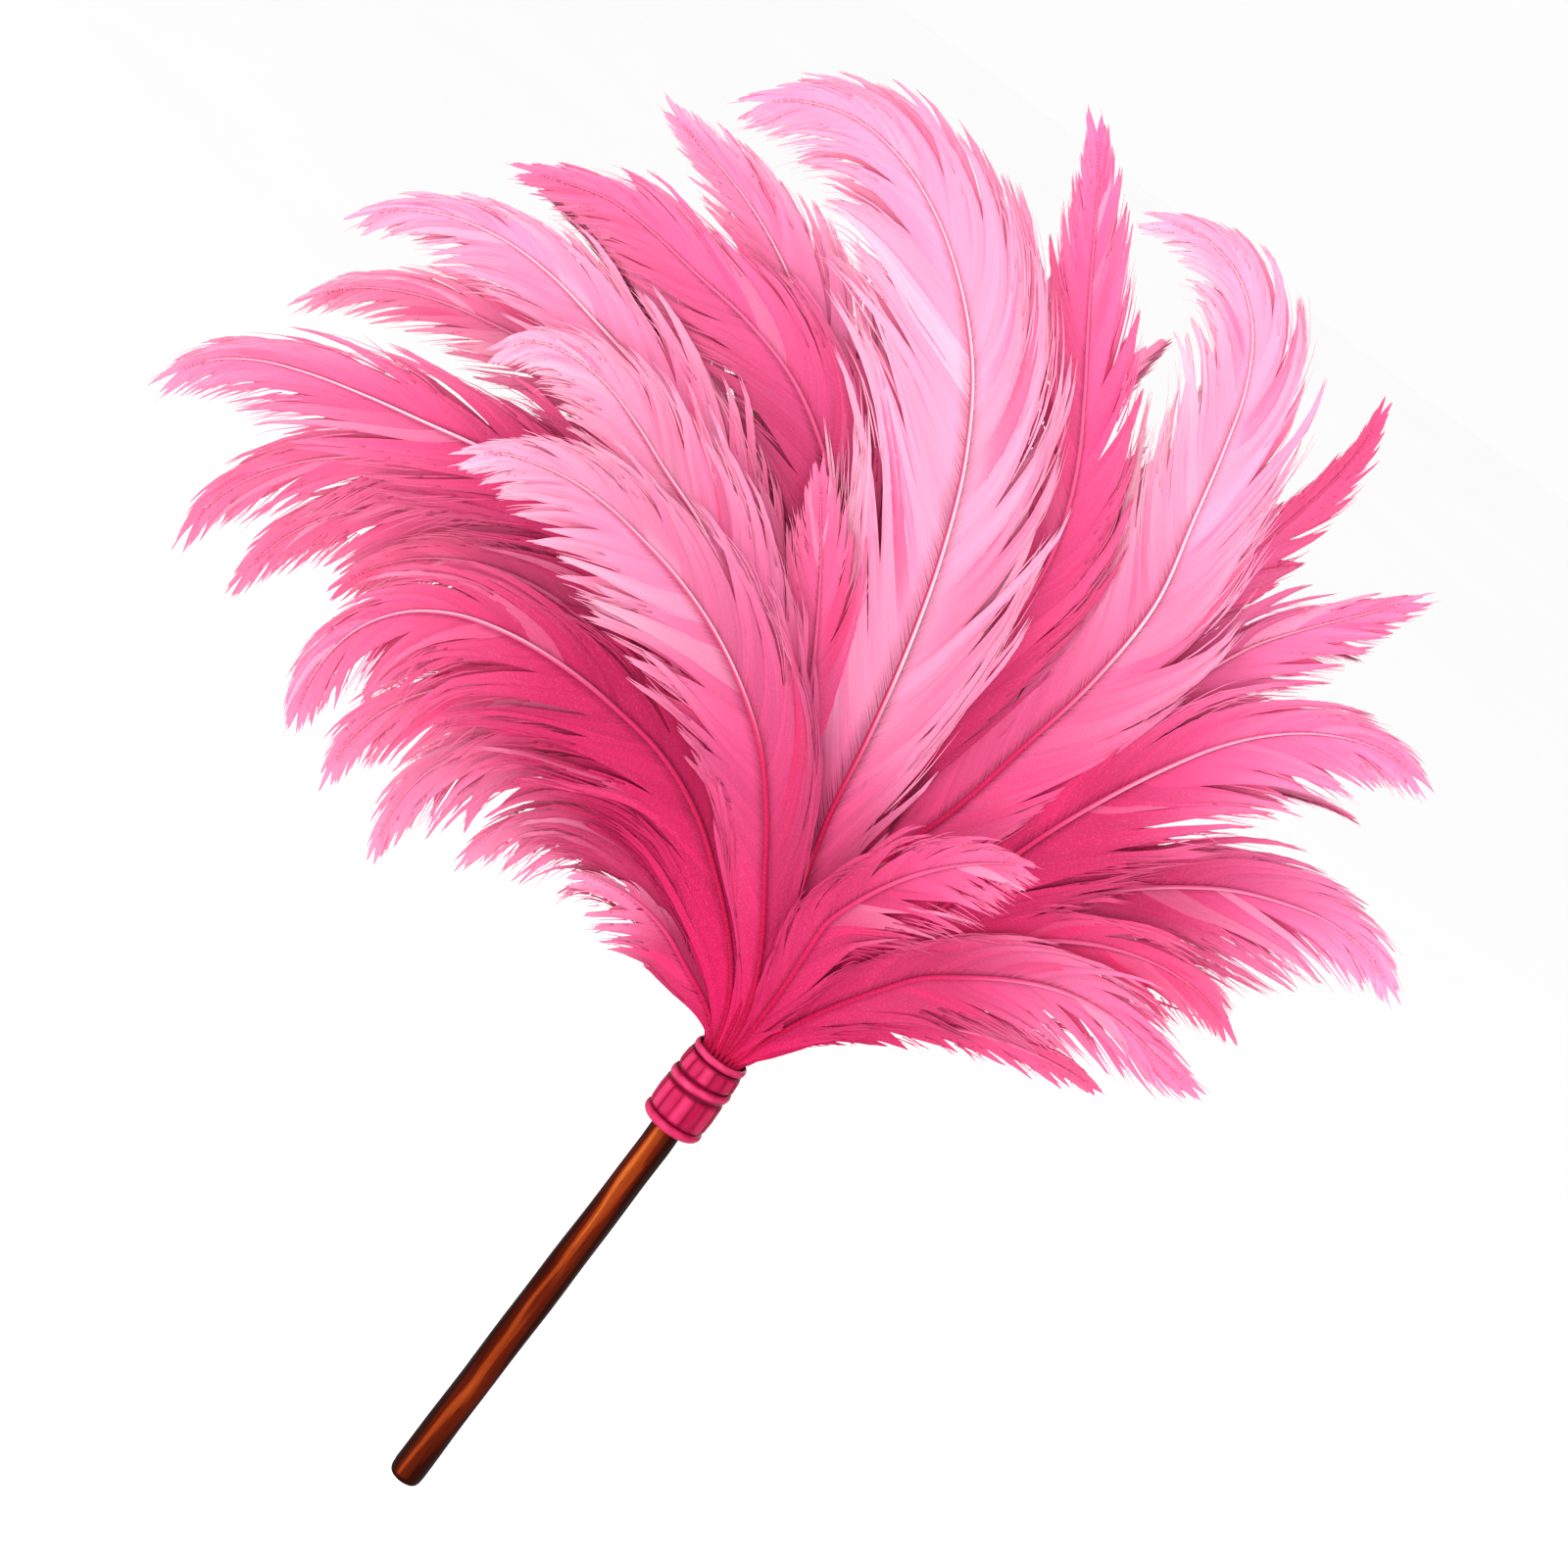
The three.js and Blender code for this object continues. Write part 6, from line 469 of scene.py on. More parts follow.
        (214, -58, 2747, -10, -99, -3), (272, -70, 2896, -9, -99, -6), (342, -88, 3064, -8, -99, -9), (428, -114, 3248, -13, -99, -10),
        (550, -153, 3408, -19, -98, -9), (689, -194, 3555, -22, -97, -6), (827, -233, 3670, -24, -97, -3), (960, -268, 3753, -25, -97, 1),
        (1083, -299, 3806, -25, -97, 4), (1202, -327, 3837, -25, -97, 8), (1313, -354, 3845, -23, -97, 11), (1412, -378, 3831, -21, -97, 12),
        (1495, -400, 3800, -20, -97, 13),
    ]),
    # painted light: the feathers at the back sit in shade and are given paler dyes to lift it, so the gaps between the
    # front plumes read pink
    "feather_back_crown_1": ((3.94, 5.42), (29.8, 31.8), ((226, 84, 134), (246, 124, 172), (250, 146, 192)), (0.46, 0.08, 0.08, 0, 0.15, 0.5, 0.5), [
        (39, 54, 2355, 82, 54, -16), (50, 72, 2465, 82, 56, -11), (50, 90, 2613, 82, 58, 0), (27, 101, 2797, 79, 60, 14),
        (-28, 102, 3014, 77, 60, 22), (-107, 102, 3262, 77, 60, 21), (-191, 128, 3547, 78, 60, 16), (-283, 167, 3867, 79, 60, 15),
        (-372, 208, 4187, 79, 60, 13), (-458, 256, 4508, 80, 59, 11), (-528, 307, 4793, 81, 59, 7), (-583, 364, 5041, 81, 58, 2),
        (-623, 424, 5253, 82, 57, -4), (-652, 490, 5444, 82, 56, -10), (-672, 559, 5616, 82, 54, -16), (-684, 630, 5768, 82, 53, -22),
        (-688, 700, 5899, 82, 52, -25),
    ]),
    "feather_back_crown_2": ((-2.07, 6.37), (29.8, 31.8), ((220, 76, 126), (242, 112, 160), (246, 130, 176)), (0.46, 0.08, 0.08, 0, 0.15, 0.5, 0.5), [
        (-21, 64, 2355, 20, 97, -16), (-31, 85, 2467, 18, 97, -13), (-52, 104, 2618, 16, 98, -6), (-90, 115, 2805, 13, 99, 2),
        (-152, 109, 3026, 12, 99, 7), (-236, 100, 3280, 14, 99, 1), (-355, 134, 3560, 16, 98, -7), (-492, 183, 3872, 17, 98, -9),
        (-632, 238, 4183, 18, 98, -10), (-774, 300, 4490, 18, 97, -13), (-906, 366, 4759, 20, 97, -16), (-1027, 435, 4988, 21, 96, -20),
        (-1135, 506, 5178, 22, 94, -25), (-1238, 581, 5345, 24, 92, -30), (-1335, 660, 5490, 26, 90, -35), (-1425, 740, 5614, 27, 88, -40),
        (-1506, 818, 5717, 28, 86, -43),
    ]),
    "feather_back_upper_1": ((6.37, 2.07), (27.8, 27.8), ((230, 92, 142), (248, 136, 182), (252, 158, 200)), (0.46, 0.08, 0.08, 0, 0.15, 0.5, 0.5), [
        (64, 21, 2355, 90, 38, -19), (82, 28, 2459, 91, 39, -15), (95, 39, 2599, 91, 40, -6), (91, 53, 2774, 91, 42, 5),
        (60, 72, 2982, 90, 43, 12), (7, 98, 3222, 90, 43, 10), (-32, 139, 3498, 91, 42, 2), (-54, 197, 3809, 91, 41, -3),
        (-65, 263, 4119, 91, 40, -8), (-63, 336, 4428, 91, 39, -13), (-47, 410, 4699, 90, 38, -19), (-17, 483, 4933, 89, 36, -27),
        (23, 554, 5128, 87, 34, -35), (73, 626, 5301, 85, 32, -42), (131, 697, 5451, 82, 29, -50), (193, 766, 5580, 78, 26, -57),
        (257, 832, 5687, 76, 24, -60),
    ]),
    "feather_back_upper_2": ((2.07, 6.37), (13, 13), ((236, 110, 160), (252, 150, 196), (252, 170, 208)), (0.46, 0.08, 0.08, 0, 0.15, 0.5, 0.5), [
        (21, 64, 2355, 63, 76, -18), (26, 86, 2465, 62, 76, -16), (25, 113, 2611, 62, 78, -12), (14, 145, 2795, 61, 79, -6),
        (-18, 177, 3015, 60, 80, -2), (-66, 214, 3268, 61, 79, -6), (-126, 301, 3547, 62, 77, -14), (-188, 420, 3855, 63, 75, -19),
        (-243, 555, 4158, 63, 74, -24), (-289, 704, 4454, 64, 71, -30), (-319, 854, 4710, 64, 68, -37), (-335, 1001, 4925, 63, 64, -44),
        (-338, 1142, 5100, 62, 59, -52), (-333, 1282, 5249, 61, 53, -59), (-319, 1420, 5374, 59, 48, -65), (-299, 1552, 5476, 57, 42, -71),
        (-276, 1675, 5557, 55, 38, -74),
    ]),
    "feather_back_upper_3": ((0, 6.7), (33.8, 31.8), ((226, 84, 134), (246, 124, 172), (250, 146, 192)), (0.46, 0.08, 0.08, 0, 0.15, 0.5, 0.5), [
        (0, 67, 2355, 28, 94, -19), (-3, 91, 2467, 27, 95, -16), (-16, 118, 2618, 26, 96, -12), (-44, 144, 2807, 24, 97, -6),
        (-97, 164, 3031, 23, 97, -3), (-176, 190, 3286, 25, 96, -11), (-284, 275, 3560, 29, 93, -21), (-408, 392, 3859, 30, 92, -26),
        (-532, 525, 4152, 31, 90, -30), (-654, 674, 4438, 32, 88, -35), (-761, 822, 4684, 34, 85, -41), (-852, 970, 4888, 35, 80, -48),
        (-928, 1114, 5051, 37, 75, -55), (-994, 1259, 5188, 38, 69, -62), (-1051, 1404, 5300, 39, 62, -68), (-1099, 1544, 5388, 39, 55, -74),
        (-1138, 1676, 5455, 39, 51, -77),
    ]),
    "feather_back_upper_4": ((-3.94, 5.42), (29.8, 31.8), ((220, 76, 126), (242, 112, 160), (246, 130, 176)), (0.46, 0.08, 0.08, 0, 0.15, 0.5, 0.5), [
        (-39, 54, 2355, -36, 91, -21), (-56, 73, 2465, -35, 91, -22), (-85, 97, 2611, -35, 91, -24), (-133, 129, 2789, -34, 90, -26),
        (-204, 163, 2999, -33, 90, -27), (-303, 203, 3240, -28, 88, -37), (-457, 284, 3484, -23, 85, -47), (-643, 389, 3746, -21, 83, -52),
        (-836, 508, 3996, -18, 81, -56), (-1036, 642, 4233, -15, 78, -61), (-1220, 776, 4429, -11, 74, -67), (-1387, 909, 4583, -6, 68, -73),
        (-1534, 1035, 4697, -1, 62, -78), (-1672, 1162, 4785, 4, 55, -84), (-1798, 1286, 4848, 9, 47, -88), (-1912, 1404, 4891, 14, 40, -91),
        (-2012, 1514, 4914, 17, 35, -92),
    ]),
    "feather_back_upper_5": ((-5.42, 3.94), (27.8, 29.8), ((230, 92, 142), (248, 136, 182), (252, 158, 200)), (0.46, 0.08, 0.08, 0, 0.15, 0.5, 0.5), [
        (-54, 39, 2355, -84, 48, -23), (-77, 53, 2466, -84, 48, -25), (-115, 67, 2613, -82, 48, -29), (-176, 81, 2793, -81, 48, -34),
        (-265, 90, 3004, -78, 48, -40), (-389, 102, 3239, -70, 47, -54), (-586, 145, 3467, -60, 44, -66), (-826, 202, 3705, -56, 42, -71),
        (-1080, 266, 3926, -51, 41, -76), (-1346, 338, 4130, -46, 39, -80), (-1593, 408, 4293, -40, 37, -84), (-1819, 476, 4417, -33, 34, -88),
        (-2021, 540, 4504, -25, 30, -92), (-2210, 603, 4566, -17, 27, -95), (-2386, 665, 4605, -9, 23, -97), (-2547, 723, 4626, -1, 19, -98),
        (-2689, 776, 4630, 3, 17, -98),
    ]),
    "feather_back_middle_1": ((7.37, 5.08), (10, 10), ((236, 110, 160), (252, 150, 196), (252, 170, 208)), (0.46, 0.08, 0.08, 0, 0.15, 0.5, 0.5), [
        (74, 51, 2355, 93, 25, -26), (94, 65, 2441, 93, 26, -25), (118, 82, 2556, 94, 26, -22), (146, 102, 2701, 94, 26, -19),
        (172, 121, 2876, 95, 27, -15), (197, 139, 3082, 95, 27, -16), (234, 166, 3315, 92, 24, -30), (330, 227, 3556, 86, 21, -46),
        (452, 296, 3784, 81, 19, -55), (595, 370, 3997, 76, 16, -63), (744, 440, 4169, 68, 13, -72), (890, 506, 4300, 59, 9, -80),
        (1029, 565, 4395, 49, 5, -87), (1166, 620, 4464, 39, 2, -92), (1298, 671, 4510, 28, -2, -96), (1421, 716, 4537, 17, -6, -98),
        (1533, 756, 4547, 11, -8, -99),
    ]),
    "feather_back_middle_2": ((5.42, 3.94), (29.8, 29.8), ((226, 84, 134), (246, 124, 172), (250, 146, 192)), (0.46, 0.08, 0.08, 0, 0.15, 0.5, 0.5), [
        (54, 39, 2355, 84, 50, -21), (71, 54, 2456, 84, 50, -20), (88, 75, 2590, 84, 52, -14), (93, 100, 2762, 84, 53, -9),
        (88, 137, 2967, 84, 53, -8), (77, 188, 3204, 84, 52, -16), (96, 275, 3464, 83, 47, -31), (157, 402, 3740, 80, 42, -43),
        (243, 546, 4001, 77, 38, -52), (351, 703, 4248, 73, 34, -59), (466, 853, 4450, 68, 29, -67), (585, 993, 4610, 63, 23, -74),
        (700, 1118, 4728, 56, 17, -81), (817, 1237, 4820, 48, 11, -87), (932, 1346, 4886, 40, 5, -91), (1042, 1446, 4930, 32, -2, -95),
        (1144, 1534, 4955, 27, -5, -96),
    ]),
    "feather_back_middle_3": ((4.16, 7.92), (29.8, 29.8), ((220, 76, 126), (242, 112, 160), (246, 130, 176)), (0.46, 0.08, 0.08, 0, 0.15, 0.5, 0.5), [
        (42, 79, 2355, 60, 76, -27), (53, 106, 2455, 60, 76, -24), (59, 141, 2590, 59, 78, -22), (58, 185, 2757, 59, 79, -18),
        (38, 238, 2956, 58, 80, -14), (0, 301, 3185, 60, 77, -22), (-25, 425, 3431, 60, 70, -37), (-38, 600, 3689, 60, 65, -46),
        (-37, 794, 3934, 59, 60, -54), (-22, 1007, 4162, 58, 54, -61), (5, 1212, 4347, 56, 47, -68), (43, 1405, 4489, 53, 38, -76),
        (88, 1580, 4590, 49, 28, -83), (140, 1748, 4663, 44, 18, -88), (197, 1905, 4710, 38, 7, -92), (256, 2048, 4735, 32, -3, -94),
        (313, 2174, 4742, 29, -8, -95),
    ]),
    "feather_back_middle_4": ((2.14, 8.69), (29.8, 29.8), ((230, 92, 142), (248, 136, 182), (252, 158, 200)), (0.46, 0.08, 0.08, 0, 0.15, 0.5, 0.5), [
        (21, 87, 2355, 26, 92, -28), (25, 115, 2452, 26, 93, -27), (19, 154, 2580, 26, 92, -28), (-1, 210, 2737, 26, 92, -28),
        (-49, 278, 2920, 26, 93, -27), (-124, 356, 3128, 28, 89, -35), (-202, 492, 3344, 32, 81, -50), (-282, 687, 3561, 34, 73, -59),
        (-356, 902, 3760, 35, 67, -66), (-422, 1135, 3938, 36, 59, -72), (-474, 1359, 4075, 37, 50, -79), (-509, 1569, 4171, 37, 38, -85),
        (-532, 1760, 4231, 37, 26, -89), (-544, 1940, 4264, 36, 13, -92), (-548, 2108, 4275, 34, 1, -94), (-545, 2259, 4267, 32, -11, -94),
        (-537, 2391, 4245, 31, -18, -93),
    ]),
    "feather_back_middle_5": ((-2.14, 8.69), (29.8, 29.8), ((216, 70, 120), (238, 104, 152), (244, 122, 168)), (0.46, 0.08, 0.08, 0, 0.15, 0.5, 0.5), [
        (-21, 87, 2355, -18, 94, -29), (-32, 115, 2454, -17, 94, -29), (-56, 152, 2585, -17, 94, -30), (-100, 195, 2746, -17, 94, -30),
        (-175, 244, 2934, -16, 93, -33), (-278, 304, 3144, -10, 88, -46), (-414, 431, 3347, -1, 79, -62), (-575, 610, 3543, 4, 72, -70),
        (-737, 810, 3717, 8, 65, -75), (-900, 1027, 3869, 12, 58, -80), (-1044, 1236, 3980, 16, 50, -85), (-1168, 1431, 4052, 21, 39, -90),
        (-1269, 1608, 4090, 25, 28, -93), (-1357, 1775, 4104, 30, 16, -94), (-1431, 1931, 4095, 33, 4, -94), (-1492, 2071, 4070, 36, -7, -93),
        (-1540, 2195, 4032, 37, -13, -92),
    ]),
    "feather_back_middle_6": ((-5.93, 6.7), (29.8, 27.8), ((226, 84, 134), (246, 124, 172), (250, 146, 192)), (0.46, 0.08, 0.08, 0, 0.15, 0.5, 0.5), [
        (-59, 67, 2355, -62, 73, -30), (-82, 88, 2452, -61, 72, -33), (-121, 116, 2578, -58, 72, -38), (-186, 153, 2729, -55, 71, -44),
        (-283, 194, 2902, -52, 70, -49), (-410, 240, 3097, -44, 66, -61), (-592, 333, 3273, -31, 58, -76), (-815, 463, 3432, -22, 52, -83),
        (-1047, 607, 3566, -15, 47, -87), (-1285, 763, 3673, -8, 41, -91), (-1500, 913, 3740, 1, 33, -94), (-1688, 1052, 3772, 10, 25, -96),
        (-1848, 1177, 3774, 19, 16, -97), (-1990, 1295, 3752, 28, 7, -96), (-2113, 1404, 3712, 36, -2, -93), (-2217, 1501, 3659, 44, -11, -89),
        (-2302, 1586, 3597, 47, -16, -87),
    ]),
    "feather_back_middle_7": ((-6.37, 2.07), (27.8, 25.8), ((220, 76, 126), (242, 112, 160), (246, 130, 176)), (0.46, 0.08, 0.08, 0, 0.15, 0.5, 0.5), [
        (-64, 21, 2355, -91, 32, -26), (-89, 28, 2455, -89, 32, -31), (-136, 39, 2584, -84, 32, -43), (-217, 62, 2731, -77, 31, -55),
        (-337, 90, 2895, -71, 30, -63), (-495, 122, 3074, -61, 28, -74), (-714, 166, 3235, -48, 25, -84), (-982, 222, 3379, -38, 23, -90),
        (-1260, 282, 3496, -29, 20, -93), (-1546, 346, 3584, -20, 18, -96), (-1807, 409, 3632, -9, 14, -99), (-2038, 469, 3645, 3, 11, -99),
        (-2236, 523, 3630, 15, 7, -99), (-2414, 574, 3594, 26, 3, -96), (-2571, 621, 3542, 37, -1, -93), (-2705, 664, 3478, 47, -5, -88),
        (-2817, 701, 3407, 52, -7, -85),
    ]),
    "feather_back_low_1": ((5.93, 6.7), (23.9, 23.9), ((230, 92, 142), (248, 136, 182), (252, 158, 200)), (0.46, 0.08, 0.08, 0, 0.15, 0.5, 0.5), [
        (59, 67, 2355, 72, 63, -29), (73, 84, 2425, 72, 62, -30), (90, 111, 2518, 72, 62, -32), (108, 151, 2632, 72, 60, -35),
        (127, 210, 2766, 71, 59, -38), (145, 291, 2916, 71, 57, -41), (162, 392, 3083, 69, 52, -50), (210, 526, 3249, 63, 40, -67),
        (293, 682, 3380, 55, 27, -79), (392, 848, 3487, 48, 18, -86), (492, 1000, 3559, 40, 7, -91), (591, 1135, 3597, 30, -4, -95),
        (682, 1250, 3608, 20, -16, -97), (770, 1351, 3599, 9, -26, -96), (852, 1438, 3572, -2, -36, -93), (926, 1510, 3534, -12, -46, -88),
        (990, 1567, 3487, -18, -50, -85),
    ]),
    "feather_back_low_2": ((-0, 8.95), (23.9, 23.9), ((216, 70, 120), (238, 104, 152), (244, 122, 168)), (0.46, 0.08, 0.08, 0, 0.15, 0.5, 0.5), [
        (0, 90, 2355, 25, 92, -30), (-1, 111, 2421, 26, 91, -33), (-5, 146, 2507, 28, 88, -39), (-16, 199, 2610, 30, 84, -46),
        (-35, 276, 2725, 31, 79, -53), (-66, 380, 2847, 33, 74, -59), (-107, 508, 2975, 34, 66, -67), (-145, 673, 3097, 36, 50, -79),
        (-165, 866, 3173, 37, 31, -88), (-176, 1069, 3224, 36, 18, -92), (-176, 1254, 3243, 35, 3, -94), (-168, 1416, 3236, 32, -13, -94),
        (-153, 1553, 3210, 29, -28, -91), (-134, 1672, 3168, 25, -43, -87), (-110, 1772, 3115, 21, -56, -80), (-85, 1854, 3054, 16, -67, -72),
        (-60, 1917, 2991, 13, -73, -67),
    ]),
    "feather_back_low_3": ((-4.16, 7.92), (23.9, 23.9), ((226, 84, 134), (246, 124, 172), (250, 146, 192)), (0.46, 0.08, 0.08, 0, 0.15, 0.5, 0.5), [
        (-42, 79, 2355, -38, 87, -32), (-54, 99, 2422, -35, 86, -37), (-78, 130, 2508, -30, 83, -46), (-121, 178, 2607, -24, 79, -57),
        (-189, 244, 2712, -17, 72, -67), (-285, 330, 2815, -11, 67, -74), (-405, 435, 2917, -3, 58, -81), (-539, 576, 3000, 8, 43, -90),
        (-670, 740, 3037, 19, 27, -94), (-796, 910, 3046, 26, 15, -95), (-901, 1066, 3027, 33, 2, -94), (-984, 1203, 2986, 40, -12, -91),
        (-1046, 1318, 2931, 46, -26, -85), (-1094, 1418, 2863, 50, -38, -78), (-1127, 1503, 2788, 53, -50, -69), (-1148, 1572, 2710, 55, -60, -58),
        (-1158, 1625, 2632, 56, -65, -52),
    ]),
    "feather_back_low_4": ((-7.37, 5.08), (21.9, 21.9), ((220, 76, 126), (242, 112, 160), (246, 130, 176)), (0.46, 0.08, 0.08, 0, 0.15, 0.5, 0.5), [
        (-74, 51, 2355, -82, 45, -34), (-93, 62, 2419, -80, 45, -40), (-130, 80, 2499, -72, 44, -53), (-193, 104, 2589, -62, 41, -66),
        (-287, 135, 2680, -49, 37, -78), (-416, 173, 2763, -38, 33, -86), (-574, 218, 2838, -27, 29, -92), (-757, 280, 2896, -9, 21, -97),
        (-944, 357, 2902, 10, 13, -99), (-1128, 437, 2880, 22, 6, -97), (-1286, 510, 2834, 35, 0, -94), (-1416, 574, 2771, 48, -8, -88),
        (-1516, 627, 2698, 60, -15, -79), (-1597, 674, 2616, 69, -21, -69), (-1658, 712, 2530, 77, -27, -57), (-1701, 743, 2444, 83, -32, -45),
        (-1728, 767, 2361, 86, -34, -38),
    ]),
    "feather_back_low_5": ((8.37, 3.17), (21.9, 21.9), ((230, 92, 142), (248, 136, 182), (252, 158, 200)), (0.46, 0.08, 0.08, 0, 0.15, 0.5, 0.5), [
        (84, 32, 2355, 92, 28, -29), (103, 40, 2423, 92, 28, -29), (128, 51, 2513, 91, 27, -30), (160, 69, 2625, 91, 27, -31),
        (199, 95, 2758, 91, 27, -32), (244, 132, 2913, 90, 27, -34), (297, 177, 3088, 88, 25, -40), (379, 236, 3274, 79, 20, -58),
        (510, 306, 3424, 66, 13, -74), (661, 381, 3554, 57, 9, -82), (809, 451, 3647, 45, 4, -89), (950, 512, 3707, 32, -1, -95),
        (1077, 565, 3737, 18, -6, -98), (1198, 612, 3746, 4, -11, -99), (1308, 652, 3736, -10, -16, -98), (1406, 686, 3712, -24, -20, -95),
        (1489, 713, 3678, -31, -22, -92),
    ]),
}

# outline of a vane along its plume: fraction of the length -> fraction of the widest half width
OUTLINE = np.array([(0.0, 0.07), (0.04, 0.10), (0.10, 0.19), (0.18, 0.35), (0.28, 0.56), (0.40, 0.80), (0.52, 0.96),
                    (0.62, 1.0), (0.73, 0.95), (0.82, 0.80), (0.89, 0.60), (0.945, 0.38), (0.985, 0.19), (1.02, 0.05), (1.3, 0.03)])
BARB_STEP = 1.5        # mm between barbs along the quill
RINGS = 10
# deep crimson towards the roots: dye, and painted shade in the crowded neck
ROOT_DYE_AND_NECK_SHADE = np.array((190, 24, 82), dtype=float)
# deep crimson: deep dye for a few random locks and strands, and painted shade at lock edges and on the layer behind
DEEP_DYE_AND_PAINTED_SHADE = np.array((220, 44, 102), dtype=float)
DYE_PALE = np.array((255, 216, 230), dtype=float)
DYE_GAIN = np.array((0.85, 0.80, 0.77))    # strength of the dye under the studio's light
HANG = np.array((0.598, -0.207, -0.7745))  # the way the barbs hang


class Plume:
    """A smooth quill with a moving frame; vane points are given along and across it."""

    def __init__(self, root, stations):
        st = np.array(stations, dtype=float)
        C = st[:, :3] / 10.0
        N = st[:, 3:] / 100.0
        C = np.vstack([[root[0], root[1], MOUTH_Z - 26.0], [root[0], root[1], MOUTH_Z - 8.0], C])
        N = np.vstack([N[0], N[0], N])
        d = np.r_[0, np.cumsum(np.linalg.norm(np.diff(C, axis=0), axis=1))]
        tan = np.zeros_like(C)
        h = np.diff(d)[:, None]
        sl = np.diff(C, axis=0) / h
        tan[1:-1] = (sl[:-1] * h[1:] + sl[1:] * h[:-1]) / (h[1:] + h[:-1])
        tan[0], tan[-1] = sl[0], 1.5 * sl[-1] - 0.5 * tan[-2]
        q = np.linspace(0, d[-1], 900)
        k = np.clip(np.searchsorted(d, q, side="right") - 1, 0, len(d) - 2)
        u = ((q - d[k]) / (d[k + 1] - d[k]))[:, None]
        hk = (d[k + 1] - d[k])[:, None]
        P = ((2 * u**3 - 3 * u**2 + 1) * C[k] + (u**3 - 2 * u**2 + u) * hk * tan[k]
             + (-2 * u**3 + 3 * u**2) * C[k + 1] + (u**3 - u**2) * hk * tan[k + 1])
        Nn = (1 - u) * N[k] + u * N[k + 1]
        s = np.r_[0, np.cumsum(np.linalg.norm(np.diff(P, axis=0), axis=1))]
        mouth = np.interp(d[2], q, s)
        self.s = s - mouth
        T = unit(np.gradient(P, axis=0))
        # even out the facing direction along the quill
        for c in range(3):
            Nn[:, c] = np.convolve(np.pad(Nn[:, c], 30, mode="edge"), np.ones(61) / 61, mode="valid")
        Nn = unit(Nn - (Nn * T).sum(1, keepdims=True) * T)
        self.P, self.T, self.N = P, T, Nn
        self.S = np.cross(Nn, T)
        self.L = self.s[-1]

    def at(self, s):
        s = np.asarray(s, dtype=float)
        over = np.maximum(0.0, s - self.L)[..., None]
        f = lambda A: np.stack([np.interp(s, self.s, A[:, c]) for c in range(3)], -1)
        P, T, N = f(self.P), unit(f(self.T)), unit(f(self.N))
        S = unit(np.cross(N, T))
        return P + over * T, T, N, S

    def point(self, s, b, c):
        P, T, N, S = self.at(s)
        return P + S * b[..., None] + N * c[..., None]


def strips(paths, normals, half, thick):
    """Closed three-sided strips, one for each path: flat behind, with a low ridge in front."""
    nb, nr, _ = paths.shape
    tan = unit(np.gradient(paths, axis=1))
    side = unit(np.cross(normals, tan))
    nrm = unit(np.cross(tan, side))
    v = np.empty((nb, nr, 3, 3))
    v[:, :, 0] = paths - side * half[..., None]
    v[:, :, 1] = paths + nrm * thick[..., None]
    v[:, :, 2] = paths + side * half[..., None]
    base = (np.arange(nb) * nr * 3)[:, None, None] + (np.arange(nr - 1) * 3)[None, :, None]
    j = np.arange(3)[None, None, :]
    j2 = (j + 1) % 3
    quads = np.stack([base + j, base + j2, base + 3 + j2, base + 3 + j], -1).reshape(-1, 4)[:, ::-1]
    b0 = np.arange(nb) * nr * 3
    e0 = b0 + (nr - 1) * 3
    tris = np.vstack([np.stack([b0, b0 + 1, b0 + 2], -1), np.stack([e0 + 2, e0 + 1, e0], -1)])
    return v.reshape(-1, 3), quads, tris


def dyed(rgb):
    return srgb(np.clip(rgb, 0, 255)) * DYE_GAIN


